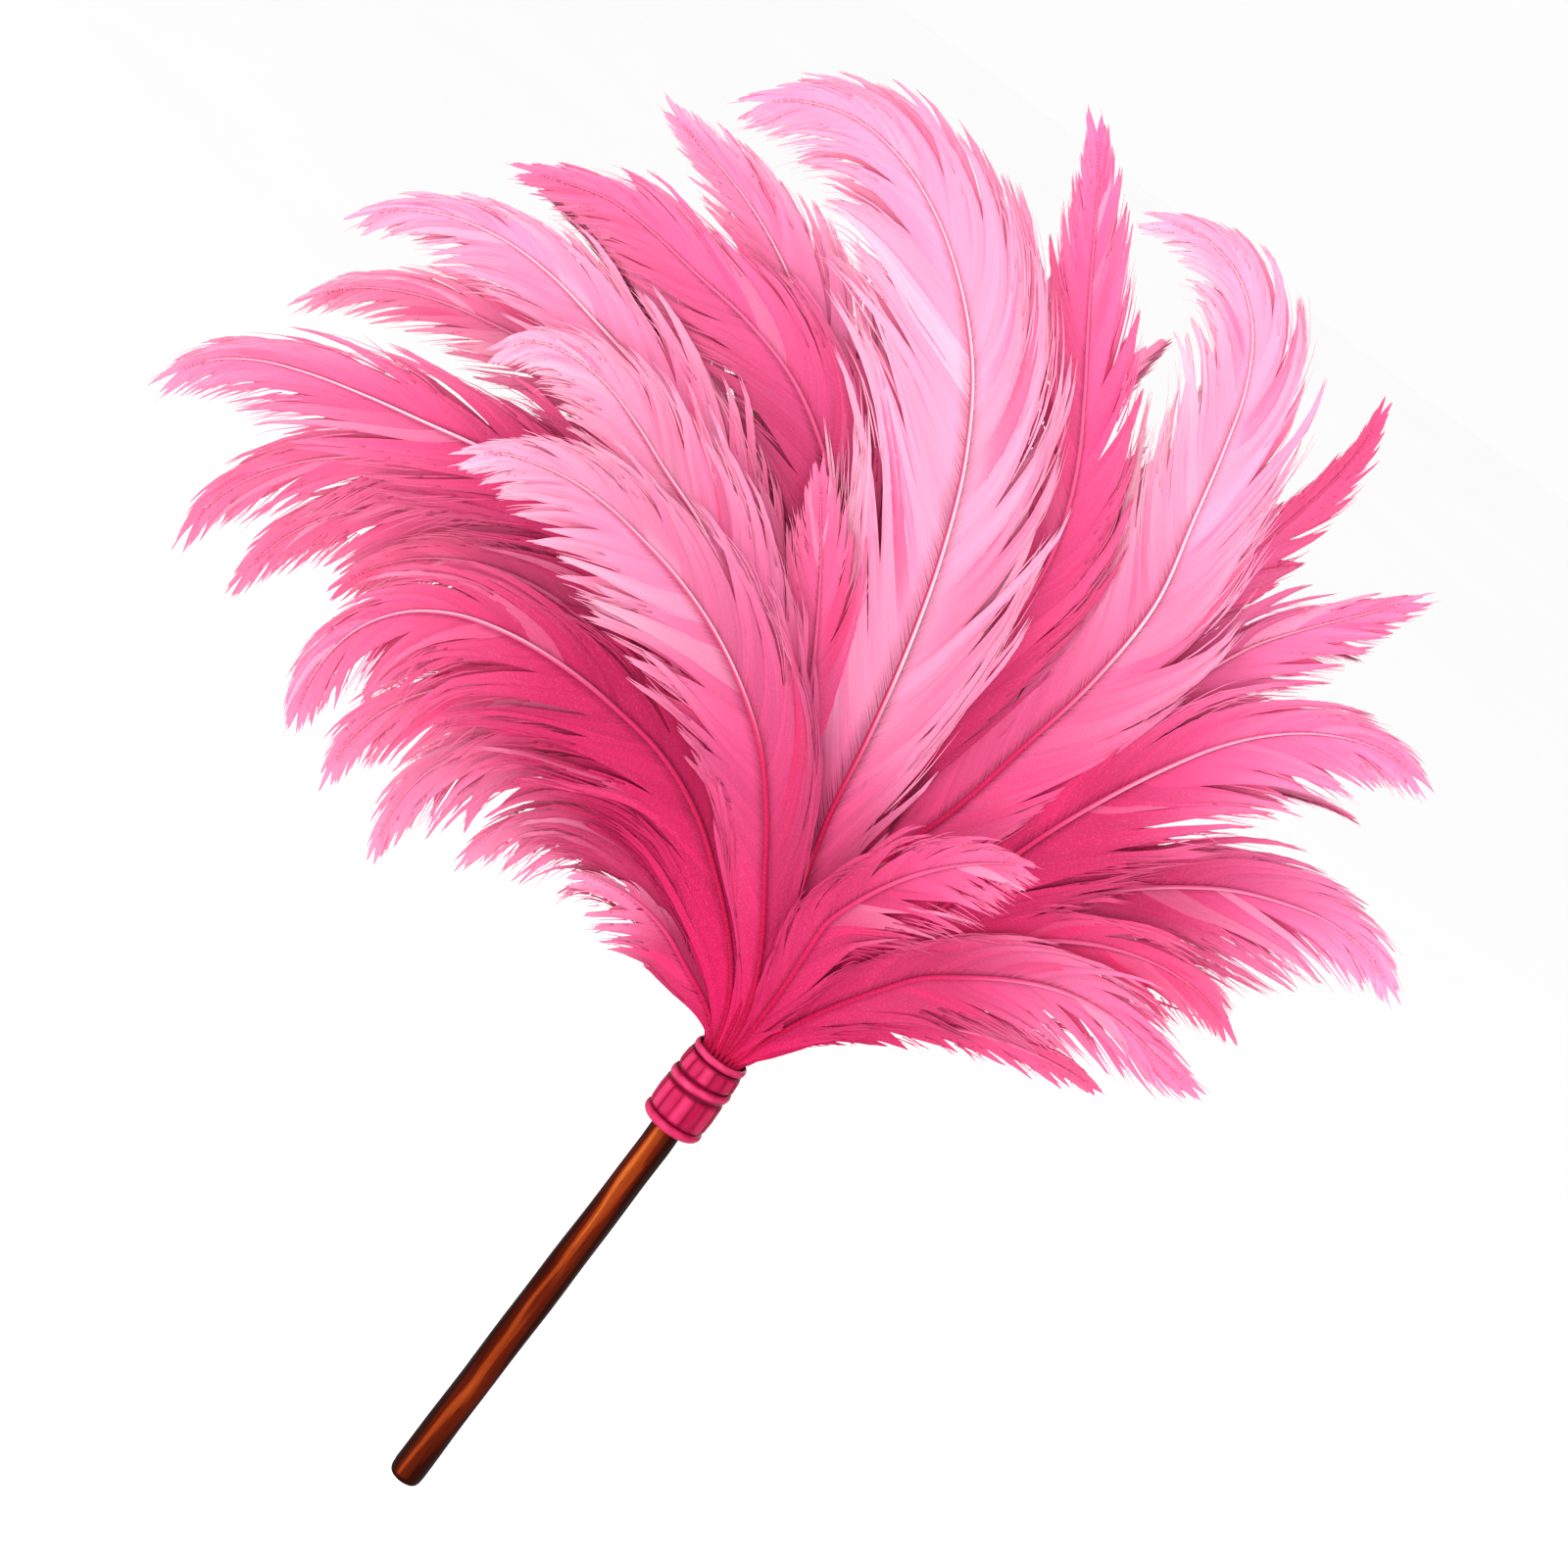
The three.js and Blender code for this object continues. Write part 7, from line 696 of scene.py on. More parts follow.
def make_feather(name, spec, seed):
    root, width, dye, style, stations = spec
    rng = np.random.default_rng(seed)
    pl = Plume(root, stations)
    L = pl.L
    dye = np.array(dye, dtype=float) * np.array([[0.91, 0.96, 0.96], [0.95, 1.0, 1.0], [1.0, 1.0, 1.0]])
    turn, right_pale, left_pale, blunt, loose, quill_highlight_gain, start = style
    sparse, loose = max(0.0, loose - 1.0), min(loose, 1.0)
    stops_t = np.array([0.0, 0.10, 0.22, turn, turn + 0.24, 1.0])
    stops_c = np.vstack([ROOT_DYE_AND_NECK_SHADE, ROOT_DYE_AND_NECK_SHADE * 0.8 + dye[0] * 0.2, ROOT_DYE_AND_NECK_SHADE * 0.45 + dye[0] * 0.55, dye[0], dye[1], dye[2]])

    outline = OUTLINE[:, 1] + blunt * np.interp(OUTLINE[:, 0], [0.6, 0.9, 1.02, 1.06], [0.0, 0.45, 0.62, 0.0])

    def colour(t):
        return np.stack([np.interp(t, stops_t, stops_c[:, c]) for c in range(3)], -1)

    V, Q, Tr, COL, FIB = [], [], [], [], []
    count = 0

    def push(v, q, t, col, fib):
        nonlocal count
        V.append(v)
        Q.append(q + count)
        Tr.append(t + count)
        COL.append(col)
        FIB.append(fib)
        count += len(v)

    def push_strips(paths, nn, half, thick, col, vv, ids, stretch):
        nb, nr = vv.shape
        vt, q, tr = strips(paths, nn, half, thick)
        col = np.repeat(dyed(col)[:, :, None, :], 3, axis=2).reshape(-1, 3)
        across = np.broadcast_to(np.array([-1.0, 0.0, 1.0])[None, None, :], (nb, nr, 3))
        ids = np.broadcast_to(ids[:, None, None], (nb, nr, 3))
        al = np.broadcast_to((vv * stretch)[..., None], (nb, nr, 3))
        push(vt, q, tr, col, np.stack([across, al, ids], -1).reshape(-1, 3))

    cup = rng.uniform(0.18, 0.30)
    for sg, wmax, pale_amount in ((-1.0, width[0], right_pale), (1.0, width[1], left_pale)):
        for layer in (0, 1):
            # ---- the vane's barbs, gathered into locks: a facing layer and a looser one behind it
            step = BARB_STEP * (1.0 if layer == 0 else 2.4) * (1 + 1.5 * sparse)
            s_first = 2.0
            n = int((0.985 * L - s_first) / step)
            s0 = s_first + (np.arange(n) + rng.uniform(-0.3, 0.3, n)) * step
            t0 = s0 / L
            wave = 1 + 0.10 * np.sin(t0 * rng.uniform(14, 22) + rng.uniform(0, 6.3)) + 0.06 * np.sin(t0 * rng.uniform(30, 50) + rng.uniform(0, 6.3))
            angle = np.radians(np.interp(t0, [0, 0.12, 0.35, 0.6, 0.85, 1.0], ANGLES)) * wave * rng.normal(1.0, 0.025, n)
            grid = np.linspace(0.0, 1.03 * L + 4.0, 700)
            full = 1.0 if layer == 0 else 0.98 - 0.36 * loose**1.5 - 0.5 * sparse
            out = np.interp(grid / L, OUTLINE[:, 0], outline) * wmax * full
            ok = (grid[None] - s0[:, None]) * np.tan(angle)[:, None] >= out[None]
            adv = np.clip(np.where(ok.any(1), grid[ok.argmax(1)], grid[-1]) - s0, 5.0, 0.46 * L)
            reach = np.interp((s0 + adv) / L, OUTLINE[:, 0], outline) * wmax * full
            reach = np.maximum(np.minimum(reach, adv * np.tan(angle)), 0.8)
            locks = np.zeros(n, dtype=int)
            rel = np.zeros(n)
            i = g = 0
            ends = []
            while i < n:
                size = int(rng.integers(5, 19) * (1.0 - 0.3 * loose) * (1 - 0.9 * sparse) / (1.0 if layer == 0 else 1.8)) if t0[i] < 0.80 else int(rng.integers(3, 8))
                j = min(n, i + max(3, size))
                locks[i:j] = g
                rel[i:j] = np.linspace(-1, 1, j - i) if j - i > 1 else 0
                ends.append((i, j))
                i = j
                g += 1
            apex_s = np.zeros(g)
            apex_b = np.zeros(g)
            for q, (a, b) in enumerate(ends):
                apex_s[q] = (s0[a:b] + adv[a:b]).mean() + rng.uniform(-0.08, 0.20 + (0.34 * loose if layer == 0 else 0.0)) * adv[a:b].mean() + 1.0
                apex_b[q] = reach[a:b].mean() * rng.uniform(0.88, 1.12)
            apex_s = np.minimum(apex_s, L + rng.uniform(2.0, 9.0, g))
            lim = np.interp(apex_s / L, OUTLINE[:, 0], outline) * wmax
            apex_b = np.minimum(apex_b, lim * 1.15 + 0.6)
            long = rng.uniform(0.90, 1.03, g)[locks] * rng.uniform(0.94, 1.02, n)
            own_s = s0 + adv * long
            own_b = reach * long
            pull = rng.uniform(0.72 + 0.2 * loose, 0.99, g)[locks][:, None]
            gather = rng.uniform(0.18 - 0.08 * loose, 0.55 - 0.27 * loose, g)[locks][:, None]
            lift = rng.normal(0, 1.0, g)[locks][:, None]
            bend = rng.normal(0.03, 0.09, g)[locks][:, None]
            v = np.linspace(0, 1, RINGS)[None, :] ** 0.95
            vv = v * (1 - 0.20 * np.abs(rel[:, None]) ** 2 * rng.uniform(0.2, 1.0, (n, 1)))
            s = s0[:, None] + (own_s - s0)[:, None] * vv**1.12
            b = own_b[:, None] * (1 - (1 - vv) ** 1.45)
            m = np.clip((vv - gather) / (1 - gather), 0, 1)
            m = (0.55 * m + 0.45 * m * m * (3 - 2 * m)) * pull
            s = s + (apex_s[locks] - own_s)[:, None] * m
            b = b + (apex_b[locks] - own_b)[:, None] * m
            b = b * (1 + bend * smoothstep(0.35, 1.0, vv) + 0.02 * np.sin(vv * 5 + rng.uniform(0, 6.3, (n, 1))))
            fan = np.clip(reach / 30.0, 0.12, 1.0)[:, None]
            fold = cup + (0.0 if layer == 0 else 0.42)
            c = -fold * b - 0.0035 * b**2 * fan + lift * (1.1 if layer == 0 else 2.4) * fan * smoothstep(0.25, 1.0, vv) + rng.normal(0, 0.14, (n, 1)) * vv * (0.4 + fan)
            if layer == 1:
                c = c - 0.5 * smoothstep(0.0, 0.2, vv)
            paths = pl.point(s, sg * b, c)
            _, tn, nn, ss = pl.at(s)
            slack = np.sqrt(np.clip(1 - (tn @ HANG) ** 2, 0, 1))
            paths = paths + HANG * ((0.075 + 0.06 * loose) * adv[:, None] * vv**2.2 * slack)[..., None]
            nn = unit(nn + ss * sg * fold * 0.9)
            half = np.interp(vv, [0, 0.10, 0.55, 0.85, 1.0], [0.70, 0.90, 0.88, 0.52, 0.05]) * rng.uniform(0.8, 1.2, (n, 1)) * (1.0 if layer == 0 else 1.5)
            half[:, -1] = 0.05
            thick = 0.045 + 0.05 * half
            tt = s / L
            col = colour(np.clip(tt - 0.03 + 0.06 * (vv - 0.5), 0, 1))
            # tone: whole locks differ, a few are deep; the edges of a lock are a little darker, painted shade between
            # locks, and the looser layer behind is darker, painted shade
            strand = np.repeat(rng.normal(0, 1, n), rng.integers(1, 6, n))[:n, None]
            tone = rng.normal(0, 0.020, g)[locks][:, None] + rng.normal(0, 0.008, (n, 1)) + 0.016 * strand
            deep = np.clip(rng.normal(0, 1, g) - 0.9, 0, 1.3)[locks][:, None] * 0.36 * smoothstep(0.05, 0.3, vv) * (1 - smoothstep(0.75, 1.0, vv))
            # painted shade between locks: darker at the edges of each lock
            deep = deep + 0.16 * smoothstep(0.70, 1.0, np.abs(rel))[:, None] * smoothstep(0.20, 0.45, vv) * (1 - smoothstep(0.70, 0.97, vv))
            # random deep strands are dye; the looser layer behind gets painted shade
            deep = deep + np.clip(strand - 1.1, 0, 1) * 0.34 * smoothstep(0.05, 0.2, vv) * (1 - smoothstep(0.6, 0.95, vv)) + (0.12 if layer == 1 else 0.0)
            deep = deep * np.interp(tt, [0, 0.3, 0.7, 1.0], [0.6, 1.0, 0.8, 0.45])
            col = col + (DEEP_DYE_AND_PAINTED_SHADE - col) * np.clip(deep, 0, 0.7)[..., None]
            near = (1 - smoothstep(0.0, 0.10, vv))[..., None] * 0.07
            col = col * (1 + tone[..., None]) * (1 - near)
            pale = smoothstep(0.35, 1.0, vv) * smoothstep(0.30, 0.75, tt) * pale_amount
            pale = pale + np.clip(rng.normal(0, 1, g) - 1.1, 0, 1.0)[locks][:, None] * 0.35 * smoothstep(0.3, 0.6, tt)
            col = col + (DYE_PALE - col) * np.clip(pale, 0, 0.8)[..., None]
            push_strips(paths, nn, half, thick, col, vv, np.arange(n) * 1.37 + sg + 50 * layer, 1.0 + adv[:, None] / 40.0)

            if layer == 1:
                continue
            # ---- fine loose hairs beyond the margin
            nh = int(L / (4.5 - 2.0 * loose))
            pick = rng.integers(int(0.05 * n), n, nh)
            rr = 6
            v = np.linspace(0, 1, rr)[None, :]
            a0 = rng.uniform(0.45, 0.75, (nh, 1))
            a1 = rng.uniform(0.98, 1.16, (nh, 1))
            vv = a0 + (a1 - a0) * v
            sb, bb = s0[pick][:, None], own_b[pick][:, None]
            s = sb + (own_s - s0)[pick][:, None] * vv**1.12
            b = bb * np.where(vv < 1, 1 - np.maximum(1 - vv, 0) ** 1.45, 1 + 0.25 * (vv - 1))
            b = np.maximum(b * (1 + rng.normal(0.02, 0.07, (nh, 1)) * v**1.5), 0.4)
            s = np.minimum(s + rng.normal(0, 2.5, (nh, 1)) * v**1.5, L + 9.0)
            fan = np.clip(reach[pick] / 30.0, 0.12, 1.0)[:, None]
            c = -cup * b - 0.0035 * b**2 * fan + rng.normal(0, 4.0, (nh, 1)) * v**1.4 * fan
            paths = pl.point(s, sg * b, c)
            _, tn, nn, ss = pl.at(s)
            slack = np.sqrt(np.clip(1 - (tn @ HANG) ** 2, 0, 1))
            paths = paths + HANG * ((0.075 + 0.06 * loose) * adv[pick][:, None] * vv**2.2 * slack)[..., None]
            half = np.broadcast_to(np.array([0.30, 0.30, 0.27, 0.20, 0.13, 0.04]), (nh, rr)).copy()
            col = colour(np.clip(s / L, 0, 1)) * rng.normal(1.0, 0.03, (nh, 1, 1))
            pale = smoothstep(0.30, 0.75, s / L) * (0.10 + pale_amount) * v
            col = col + (DYE_PALE - col) * np.clip(pale, 0, 0.8)[..., None]
            push_strips(paths, nn, half, half * 0.6, col, vv, np.arange(nh) * 2.11 - sg, 1.0)

    # ---- the quill: rose, with a painted highlight, a pale line on its left flank
    barbs = count
    ns, sides = 80, 10
    sq = np.concatenate([np.linspace(pl.s[0], 0, 5)[:-1], np.linspace(0, 0.96 * L, ns)])
    P, T, N, S = pl.at(sq)
    r = np.interp(sq, [-26, 0, 25, 0.35 * L, 0.7 * L, 0.96 * L], [0.9, 0.9, 1.05, 1.12, 0.85, 0.14])
    lift = np.interp(sq, [0, 20, 0.8 * L], [0.0, 0.45, 0.45])
    Pc = P + N * lift[:, None]
    a = np.arange(sides) * 2 * np.pi / sides
    ring = Pc[:, None] + r[:, None, None] * (np.cos(a)[None, :, None] * S[:, None] + np.sin(a)[None, :, None] * N[:, None])
    m = len(sq)
    base = (np.arange(m - 1) * sides)[:, None]
    j = np.arange(sides)[None, :]
    j2 = (j + 1) % sides
    q = np.stack([base + j, base + sides + j, base + sides + j2, base + j2], -1).reshape(-1, 4)
    e = (m - 1) * sides
    tr = np.vstack([[(0, k, k + 1) for k in range(1, sides - 1)], [(e, e + k + 1, e + k) for k in range(1, sides - 1)]])
    tq = np.clip(sq / L, 0, 1)
    qc = np.stack([np.interp(tq, [0, 0.2, 0.45, 0.7, 1], [x, y, z, w, o]) for x, y, z, w, o in
                   zip((170, 8, 58), (184, 18, 72), (204, 44, 100), (222, 88, 140), dye[2])], -1)
    # painted highlight: a pale line along one flank of the quill
    painted_quill_highlight = np.clip(1.3 * np.cos(a - math.radians(150.0)), 0, 1)[None, :, None] ** 2.2 * np.interp(tq, [0, start, start + 0.15, 1.0], [0.0, 0.0, 0.90, 0.7])[:, None, None] * min(quill_highlight_gain, 1.0)
    qcol = qc[:, None, :] + (np.array((255, 236, 244)) - qc[:, None, :]) * painted_quill_highlight
    push(ring.reshape(-1, 3), q, tr, dyed(qcol).reshape(-1, 3),
         np.stack([np.broadcast_to(np.cos(a)[None], (m, sides)), np.broadcast_to(sq[:, None] / 30, (m, sides)), np.zeros((m, sides))], -1).reshape(-1, 3))

    obj = build_mesh("plume_" + name[8:], np.vstack(V), np.vstack(Q), np.vstack(Tr))
    # a strip's long edges are crisp, so it reads as a flat hair and not as a tube
    me = obj.data
    ev = np.empty(len(me.edges) * 2, dtype=np.int32)
    me.edges.foreach_get("vertices", ev)
    ev = ev.reshape(-1, 2)
    crisp = (ev.max(1) < barbs) & (ev[:, 0] % 3 == ev[:, 1] % 3) & (ev[:, 0] % 3 != 1)
    me.attributes.new("sharp_edge", "BOOLEAN", "EDGE").data.foreach_set("value", crisp)
    set_colour(obj, "tint", np.vstack(COL))
    set_vector(obj, "fibre", np.vstack(FIB))
    obj.data.materials.append(PLUME)
    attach(obj, "root")
    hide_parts(name)
    return len(np.vstack(Q)) * 2 + len(np.vstack(Tr))


ANGLES = [11, 15, 20, 20, 14, 8]
total = 0
for number, (name, spec) in enumerate(FEATHERS.items()):
    total += make_feather(name, spec, 1000 + number)
print("plume triangles", total)

# ------------------------------------------------------------------ handle and collar


def revolve(name, profile, segments, shape, tone_and_painted_light=None, closed_axis=True):
    """A body of revolution about Z: profile [(r, z)], from the axis to the axis, or a closed loop."""
    pts = np.array(profile, dtype=float)
    a = np.arange(segments) * 2 * np.pi / segments
    if closed_axis:
        inner = pts[1:-1]
    else:
        inner = pts
    m = len(inner)
    R = np.broadcast_to(inner[:, 0][:, None], (m, segments))
    Z = np.broadcast_to(inner[:, 1][:, None], (m, segments))
    A = np.broadcast_to(a[None, :], (m, segments))
    R2, Z2 = shape(R, Z, A)
    v = np.stack([R2 * np.cos(A), R2 * np.sin(A), Z2], -1).reshape(-1, 3)
    rel = (tone_and_painted_light(R, Z, A) if tone_and_painted_light is not None else np.full((m, segments), 0.5)).ravel()
    rows = m - 1 if closed_axis else m
    i = np.arange(rows)[:, None]
    i2 = (i + 1) % m
    j = np.arange(segments)[None, :]
    j2 = (j + 1) % segments
    quads = np.stack([i * segments + j, i * segments + j2, i2 * segments + j2, i2 * segments + j], -1).reshape(-1, 4)
    tris = np.zeros((0, 3), dtype=int)
    if closed_axis:
        v = np.vstack([v, [(0, 0, pts[0, 1]), (0, 0, pts[-1, 1])]])
        rel = np.r_[rel, 0.5, 0.5]
        c0, c1 = len(v) - 2, len(v) - 1
        jj = np.arange(segments)
        kk = (jj + 1) % segments
        t0 = np.stack([np.full(segments, c0), kk, jj], -1)
        t1 = np.stack([np.full(segments, c1), (m - 1) * segments + jj, (m - 1) * segments + kk], -1)
        tris = np.vstack([t0, t1])
    obj = build_mesh(name, v, quads, tris)
    # the stored tone carries painted light and shade, and some tone, for the material
    at = obj.data.attributes.new("tone_and_painted_light", "FLOAT", "POINT")
    at.data.foreach_set("value", rel.astype(np.float32))
    return obj


def along_profile(points, step):
    """Fill a profile with extra points along its straight runs."""
    out = []
    for (r0, z0), (r1, z1) in zip(points[:-1], points[1:]):
        k = max(1, int(math.hypot(r1 - r0, z1 - z0) / step))
        out += [(r0 + (r1 - r0) * i / k, z0 + (z1 - z0) * i / k) for i in range(k)]
    return out + [points[-1]]


rng = np.random.default_rng(5)
ph = rng.uniform(0, 2 * np.pi, 12)


def whittle(R, Z, A):
    """Long shallow facets and dips, as a hand-turned stick has."""
    d = (0.13 * np.sin(3 * A + 0.012 * Z + ph[0]) + 0.08 * np.sin(5 * A - 0.021 * Z + ph[1]) + 0.05 * np.sin(9 * A + 0.03 * Z + ph[2])
         + 0.10 * np.sin(Z / 17.0 + 2 * A + ph[3]) + 0.07 * np.sin(Z / 7.3 + A + ph[4]))
    k = np.clip(Z / 6.0, 0, 1) * (R > 6.0) * np.clip((MOUTH_Z - 40.0 - Z) / 10.0, 0, 1)
    return R + d * k, Z


# painted light and shade round the handle, by angle: 0 is painted shade, 1 is the painted highlight
PAINTED_LIGHT_DEG = np.array([-180, -168, -152, -138, -124, -114, -106, -97, -86, -70, -52, -34, -16, 0, 16, 34, 52, 66, 76, 88, 106, 126, 146, 164, 180], dtype=float)
PAINTED_LIGHT_TONE = np.array([0.0, 0.03, 0.20, 0.32, 0.40, 0.78, 1.0, 0.74, 0.60, 0.46, 0.30, 0.14, 0.03, 0.0, 0.10, 0.24, 0.50, 0.84, 0.66, 0.46, 0.36, 0.26, 0.12, 0.03, 0.0])


def wood_painted_light(R, Z, A):
    """Painted light and shade round the stick: dark painted shade on two sides and a pale painted highlight streak
    between them, with a second painted highlight streak on the far side; the streaks wander, and the tone is darker
    towards the bottom.
    """
    deg = np.degrees(A) + 7.0 * np.sin(Z / 37.0 + ph[6]) + 3.5 * np.sin(Z / 13.0 + ph[7]) + 1.5 * np.sin(Z / 5.1 + ph[8])
    deg = (deg + 180.0) % 360.0 - 180.0
    tone = np.interp(deg, PAINTED_LIGHT_DEG, PAINTED_LIGHT_TONE)
    return tone * np.interp(Z, [0, 50, 150], [0.74, 0.84, 1.0]) * (0.88 + 0.12 * np.sin(Z / 23.0 + ph[9] + 0.5 * np.sin(Z / 9.0))) * smoothstep(0.2, 3.5, Z)


def handle_r(z):
    return 7.42 - 0.0028 * z - 0.05 * math.sin(z / 24.0)


handle_profile = [(0, 0), (3.5, 0), (5.6, 0.0), (6.2, 0.3), (6.72, 0.95), (7.05, 1.9), (7.25, 3.2)] + \
    [(handle_r(z), z) for z in np.arange(6.0, MOUTH_Z - 36.0, 1.6)] + \
    [(6.85, MOUTH_Z - 34.9), (5.4, MOUTH_Z - 34.7), (5.4, MOUTH_Z - 7.0), (4.4, MOUTH_Z - 6.0), (0, MOUTH_Z - 6.0)]
handle = revolve("handle_wood", handle_profile, 96, whittle, wood_painted_light)
handle.data.materials.append(WOOD)
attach(handle, "root")
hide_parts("handle")

TILT = 0.085
FLUTES = 14
BAND_Z = MOUTH_Z - 15.8
LOWER = MOUTH_Z - 33.4
UPPER = MOUTH_Z - 3.8
fj = rng.uniform(-0.07, 0.07, FLUTES)


def flute(A, sharp=1.6):
    """0 in a valley between flutes, 1 on a crest; the flutes differ a little."""
    x = A / (2 * np.pi) * FLUTES
    k = np.floor(x).astype(int) % FLUTES
    y = np.clip((x - np.floor(x)) + fj[k] * 0.5, 0, 1)
    return np.abs(np.sin(np.pi * y)) ** (1 / sharp)


def sleeve_shape(R, Z, A):
    outer = R > 11.4
    edge = smoothstep(LOWER, LOWER + 1.8, Z) * (1 - smoothstep(UPPER - 1.8, UPPER, Z))
    band = np.exp(-((Z - BAND_Z) / 3.3) ** 4)
    depth = 0.55 * edge * (1 - band)
    R2 = np.where(outer, R + 0.12 * (1 - band) - depth * (1 - flute(A)), R)
    return R2, np.where(outer, Z + TILT * R * np.cos(A) * np.exp(-((Z - BAND_Z) / 5.0) ** 2), Z)


def lit_side(A):
    return 0.70 + 0.30 * np.cos(A + math.radians(128.0))


# painted light on the fluted sleeve: lighter flute crests (painted highlight), darker where the sleeve meets the band
# and the rims (painted shade) and a lighter side (painted light); each flute also differs a little in tone
def sleeve_tone_and_painted_light(R, Z, A):
    x = A / (2 * np.pi) * FLUTES
    k = np.floor(x).astype(int) % FLUTES
    own = np.array([0.86, 1.0, 0.66, 0.95, 0.60, 1.0, 0.78, 0.62, 1.0, 0.70, 0.96, 0.64, 0.92, 0.72])[k]
    groove_painted_shade = np.exp(-((np.abs(Z - BAND_Z) - 3.0) / 1.0) ** 2) + np.exp(-((Z - LOWER) / 1.1) ** 2) + np.exp(-((Z - UPPER) / 1.0) ** 2)
    return np.clip((0.25 + 0.75 * flute(A, 2.2)) * own * lit_side(A) * (1 - 0.95 * np.clip(groove_painted_shade, 0, 1)), 0, 1) * (R > 11.4)


sleeve_profile = along_profile([(12.8, LOWER), (13.45, LOWER + 2.0), (13.65, LOWER + 7.0), (13.35, BAND_Z - 4.6), (12.25, BAND_Z - 2.8), (12.25, BAND_Z + 2.8),
                                (13.1, BAND_Z + 4.6), (12.8, BAND_Z + 8.6), (11.9, UPPER), (11.05, UPPER), (11.05, LOWER)], 0.6)[:-1]
sleeve_profile += [(11.3, LOWER)]
# the loop closes on its first point
sleeve = revolve("collar_sleeve_fluted", sleeve_profile, FLUTES * 16, sleeve_shape, sleeve_tone_and_painted_light, closed_axis=False)
sleeve.data.materials.append(COLLAR)
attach(sleeve, "root")
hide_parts("collar_sleeve")


def loop(points, n=40):
    """A closed smooth loop through a few points (Catmull-Rom)."""
    p = np.array(points, dtype=float)
    k = len(p)
    out = []
    for i in range(n):
        x = i / n * k
        j = int(x)
        u = x - j
        a, b, c, d = p[(j - 1) % k], p[j % k], p[(j + 1) % k], p[(j + 2) % k]
        out.append(0.5 * ((2 * b) + (-a + c) * u + (2 * a - 5 * b + 4 * c - d) * u * u + (-a + 3 * b - 3 * c + d) * u**3))
    return [tuple(q) for q in out]


def wobble(amount, tilt=0.0, seed=0):
    w = np.random.default_rng(seed).uniform(0, 6.28, 4)

    def shape(R, Z, A):
        d = amount * (np.sin(3 * A + w[0]) + 0.6 * np.sin(7 * A + w[1]) + 0.4 * np.sin(14 * A + w[2]))
        return R + d * (R > 11.6), Z + tilt * R * np.cos(A)

    return shape


# painted light on the collar's bands and rims: lighter along the rounded middle (painted highlight), darker towards the
# edges (painted shade) and lighter on one side
def band_painted_light(zmid, zhalf):
    def tone_and_painted_light(R, Z, A):
        v = np.clip(1 - np.abs((Z - zmid) / zhalf) ** 2, 0, 1)
        return np.clip(0.12 + 0.88 * v * lit_side(A) * (0.92 + 0.08 * np.sin(9 * A + Z)), 0, 1) * (R > 11.3)

    return tone_and_painted_light


FOOT = MOUTH_Z - 38.6
pieces = [
    ("collar_band_mid", "collar_mid_band", [(12.55, -2.1), (12.95, -2.2), (13.35, -1.5), (13.6, -0.5), (13.6, 0.5), (13.3, 1.5), (12.9, 2.2), (12.55, 2.1)],
     BAND_Z, wobble(0.05, TILT, 1), band_painted_light(BAND_Z + 0.3, 2.2)),
    ("collar_rim_top", "collar_top_rim", [(11.0, -3.4), (11.7, -3.45), (12.25, -2.8), (12.4, -1.6), (12.05, -0.5), (11.4, 0.0), (10.95, -0.4), (10.85, -2.0)],
     MOUTH_Z, wobble(0.05, 0.0, 2), band_painted_light(MOUTH_Z - 1.2, 2.4)),
    ("collar_rim_bottom", "collar_bottom_rim", [(7.25, 0.5), (9.5, 0.0), (11.9, 0.3), (13.2, 1.3), (13.75, 2.9), (13.3, 4.4), (12.1, 4.9), (9.5, 4.5), (7.3, 3.4)],
     FOOT, wobble(0.06, 0.0, 3), band_painted_light(FOOT + 2.6, 2.9)),
]
for pname, node, pts, zbase, shape, tone_and_painted_light in pieces:
    o = revolve(pname, loop([(r, z + zbase) for r, z in pts]), 168, shape, tone_and_painted_light, closed_axis=False)
    o.data.materials.append(TRIM if node != "collar_bottom_rim" else COLLAR)
    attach(o, "root")
    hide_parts(node)

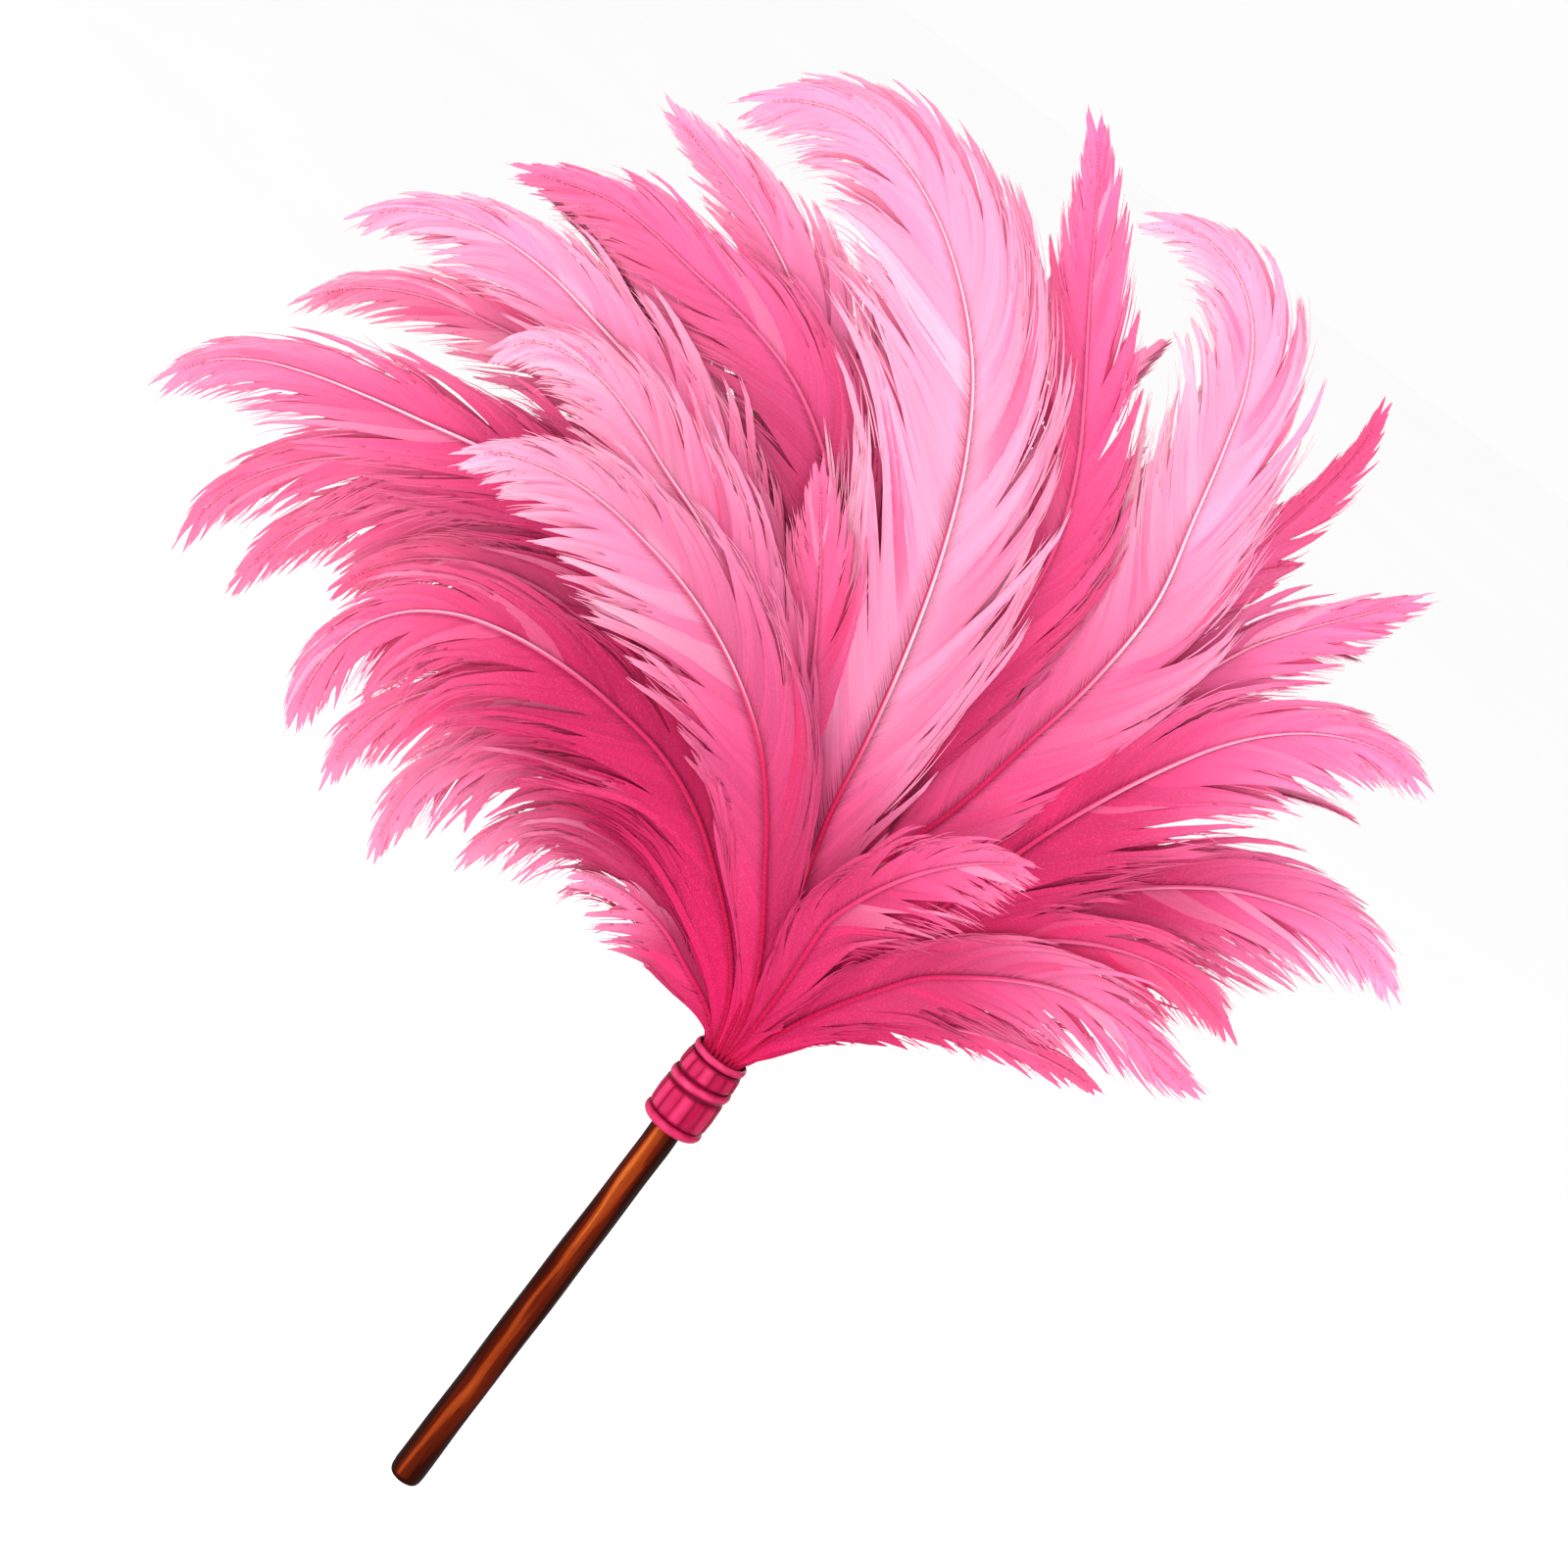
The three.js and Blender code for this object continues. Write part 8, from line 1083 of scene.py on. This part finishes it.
GLUE = plain_material("set_glue", (150, 104, 48), (206, 160, 92), 0.45, 0.0, 300.0)
WIRE = plain_material("drawn_wire", (120, 112, 104), (190, 184, 176), 0.35, 0.9, 900.0)
for node, mat in (("glue_plug", GLUE), ("binding_wire", WIRE)):
    o = frame["nodes"][node] if not isinstance(frame["nodes"], list) else bpy.data.objects[node]
    o = o if isinstance(o, bpy.types.Object) else bpy.data.objects[node]
    o.data.materials.clear()
    o.data.materials.append(mat)

# ------------------------------------------------------------------ floor and light

floor_n = Nodes("studio_floor")
fpos = floor_n.add("ShaderNodeTexCoord").outputs["Object"]
floor_n.put(floor_n.bsdf, "Base Color", floor_n.ramp(floor_n.noise(fpos, 3.0, 3.0), [(0.3, (0.978, 0.978, 0.978)), (0.7, (0.988, 0.988, 0.988))]))
floor_n.bsdf.inputs["Roughness"].default_value = 0.9
floor = build_mesh("studio_floor", [(-9000, -9000, -320), (9000, -9000, -320), (9000, 9000, -320), (-9000, 9000, -320)], [(0, 1, 2, 3)], [], smooth=False)
floor.data.materials.append(floor_n.mat)

world = bpy.data.worlds.new("studio")
world.use_nodes = True
bpy.context.scene.world = world
bg = world.node_tree.nodes["Background"]
bg.inputs["Color"].default_value = (1.0, 1.0, 1.0, 1.0)
bg.inputs["Strength"].default_value = 0.985


def area_light(name, pos, target, size, power, colour=(1, 1, 1)):
    d = bpy.data.lights.new(name, "AREA")
    d.shape = "DISK"
    d.size = size
    d.energy = power
    d.color = colour
    o = link(bpy.data.objects.new(name, d))
    o.location = pos
    o.rotation_euler = (Vector(target) - Vector(pos)).to_track_quat("-Z", "Y").to_euler()
    return o


area_light("key", (-1.15, -1.1, 1.15), (-0.05, 0.0, 0.38), 0.7, 9.0)
area_light("front", (0.10, -2.0, 0.72), (-0.03, 0.0, 0.38), 0.6, 25.0)
area_light("back", (0.9, 1.8, 1.0), (-0.03, 0.0, 0.40), 1.0, 28.0)

bpy.context.scene.view_settings.view_transform = "Standard"
bpy.context.scene.view_settings.look = "None"
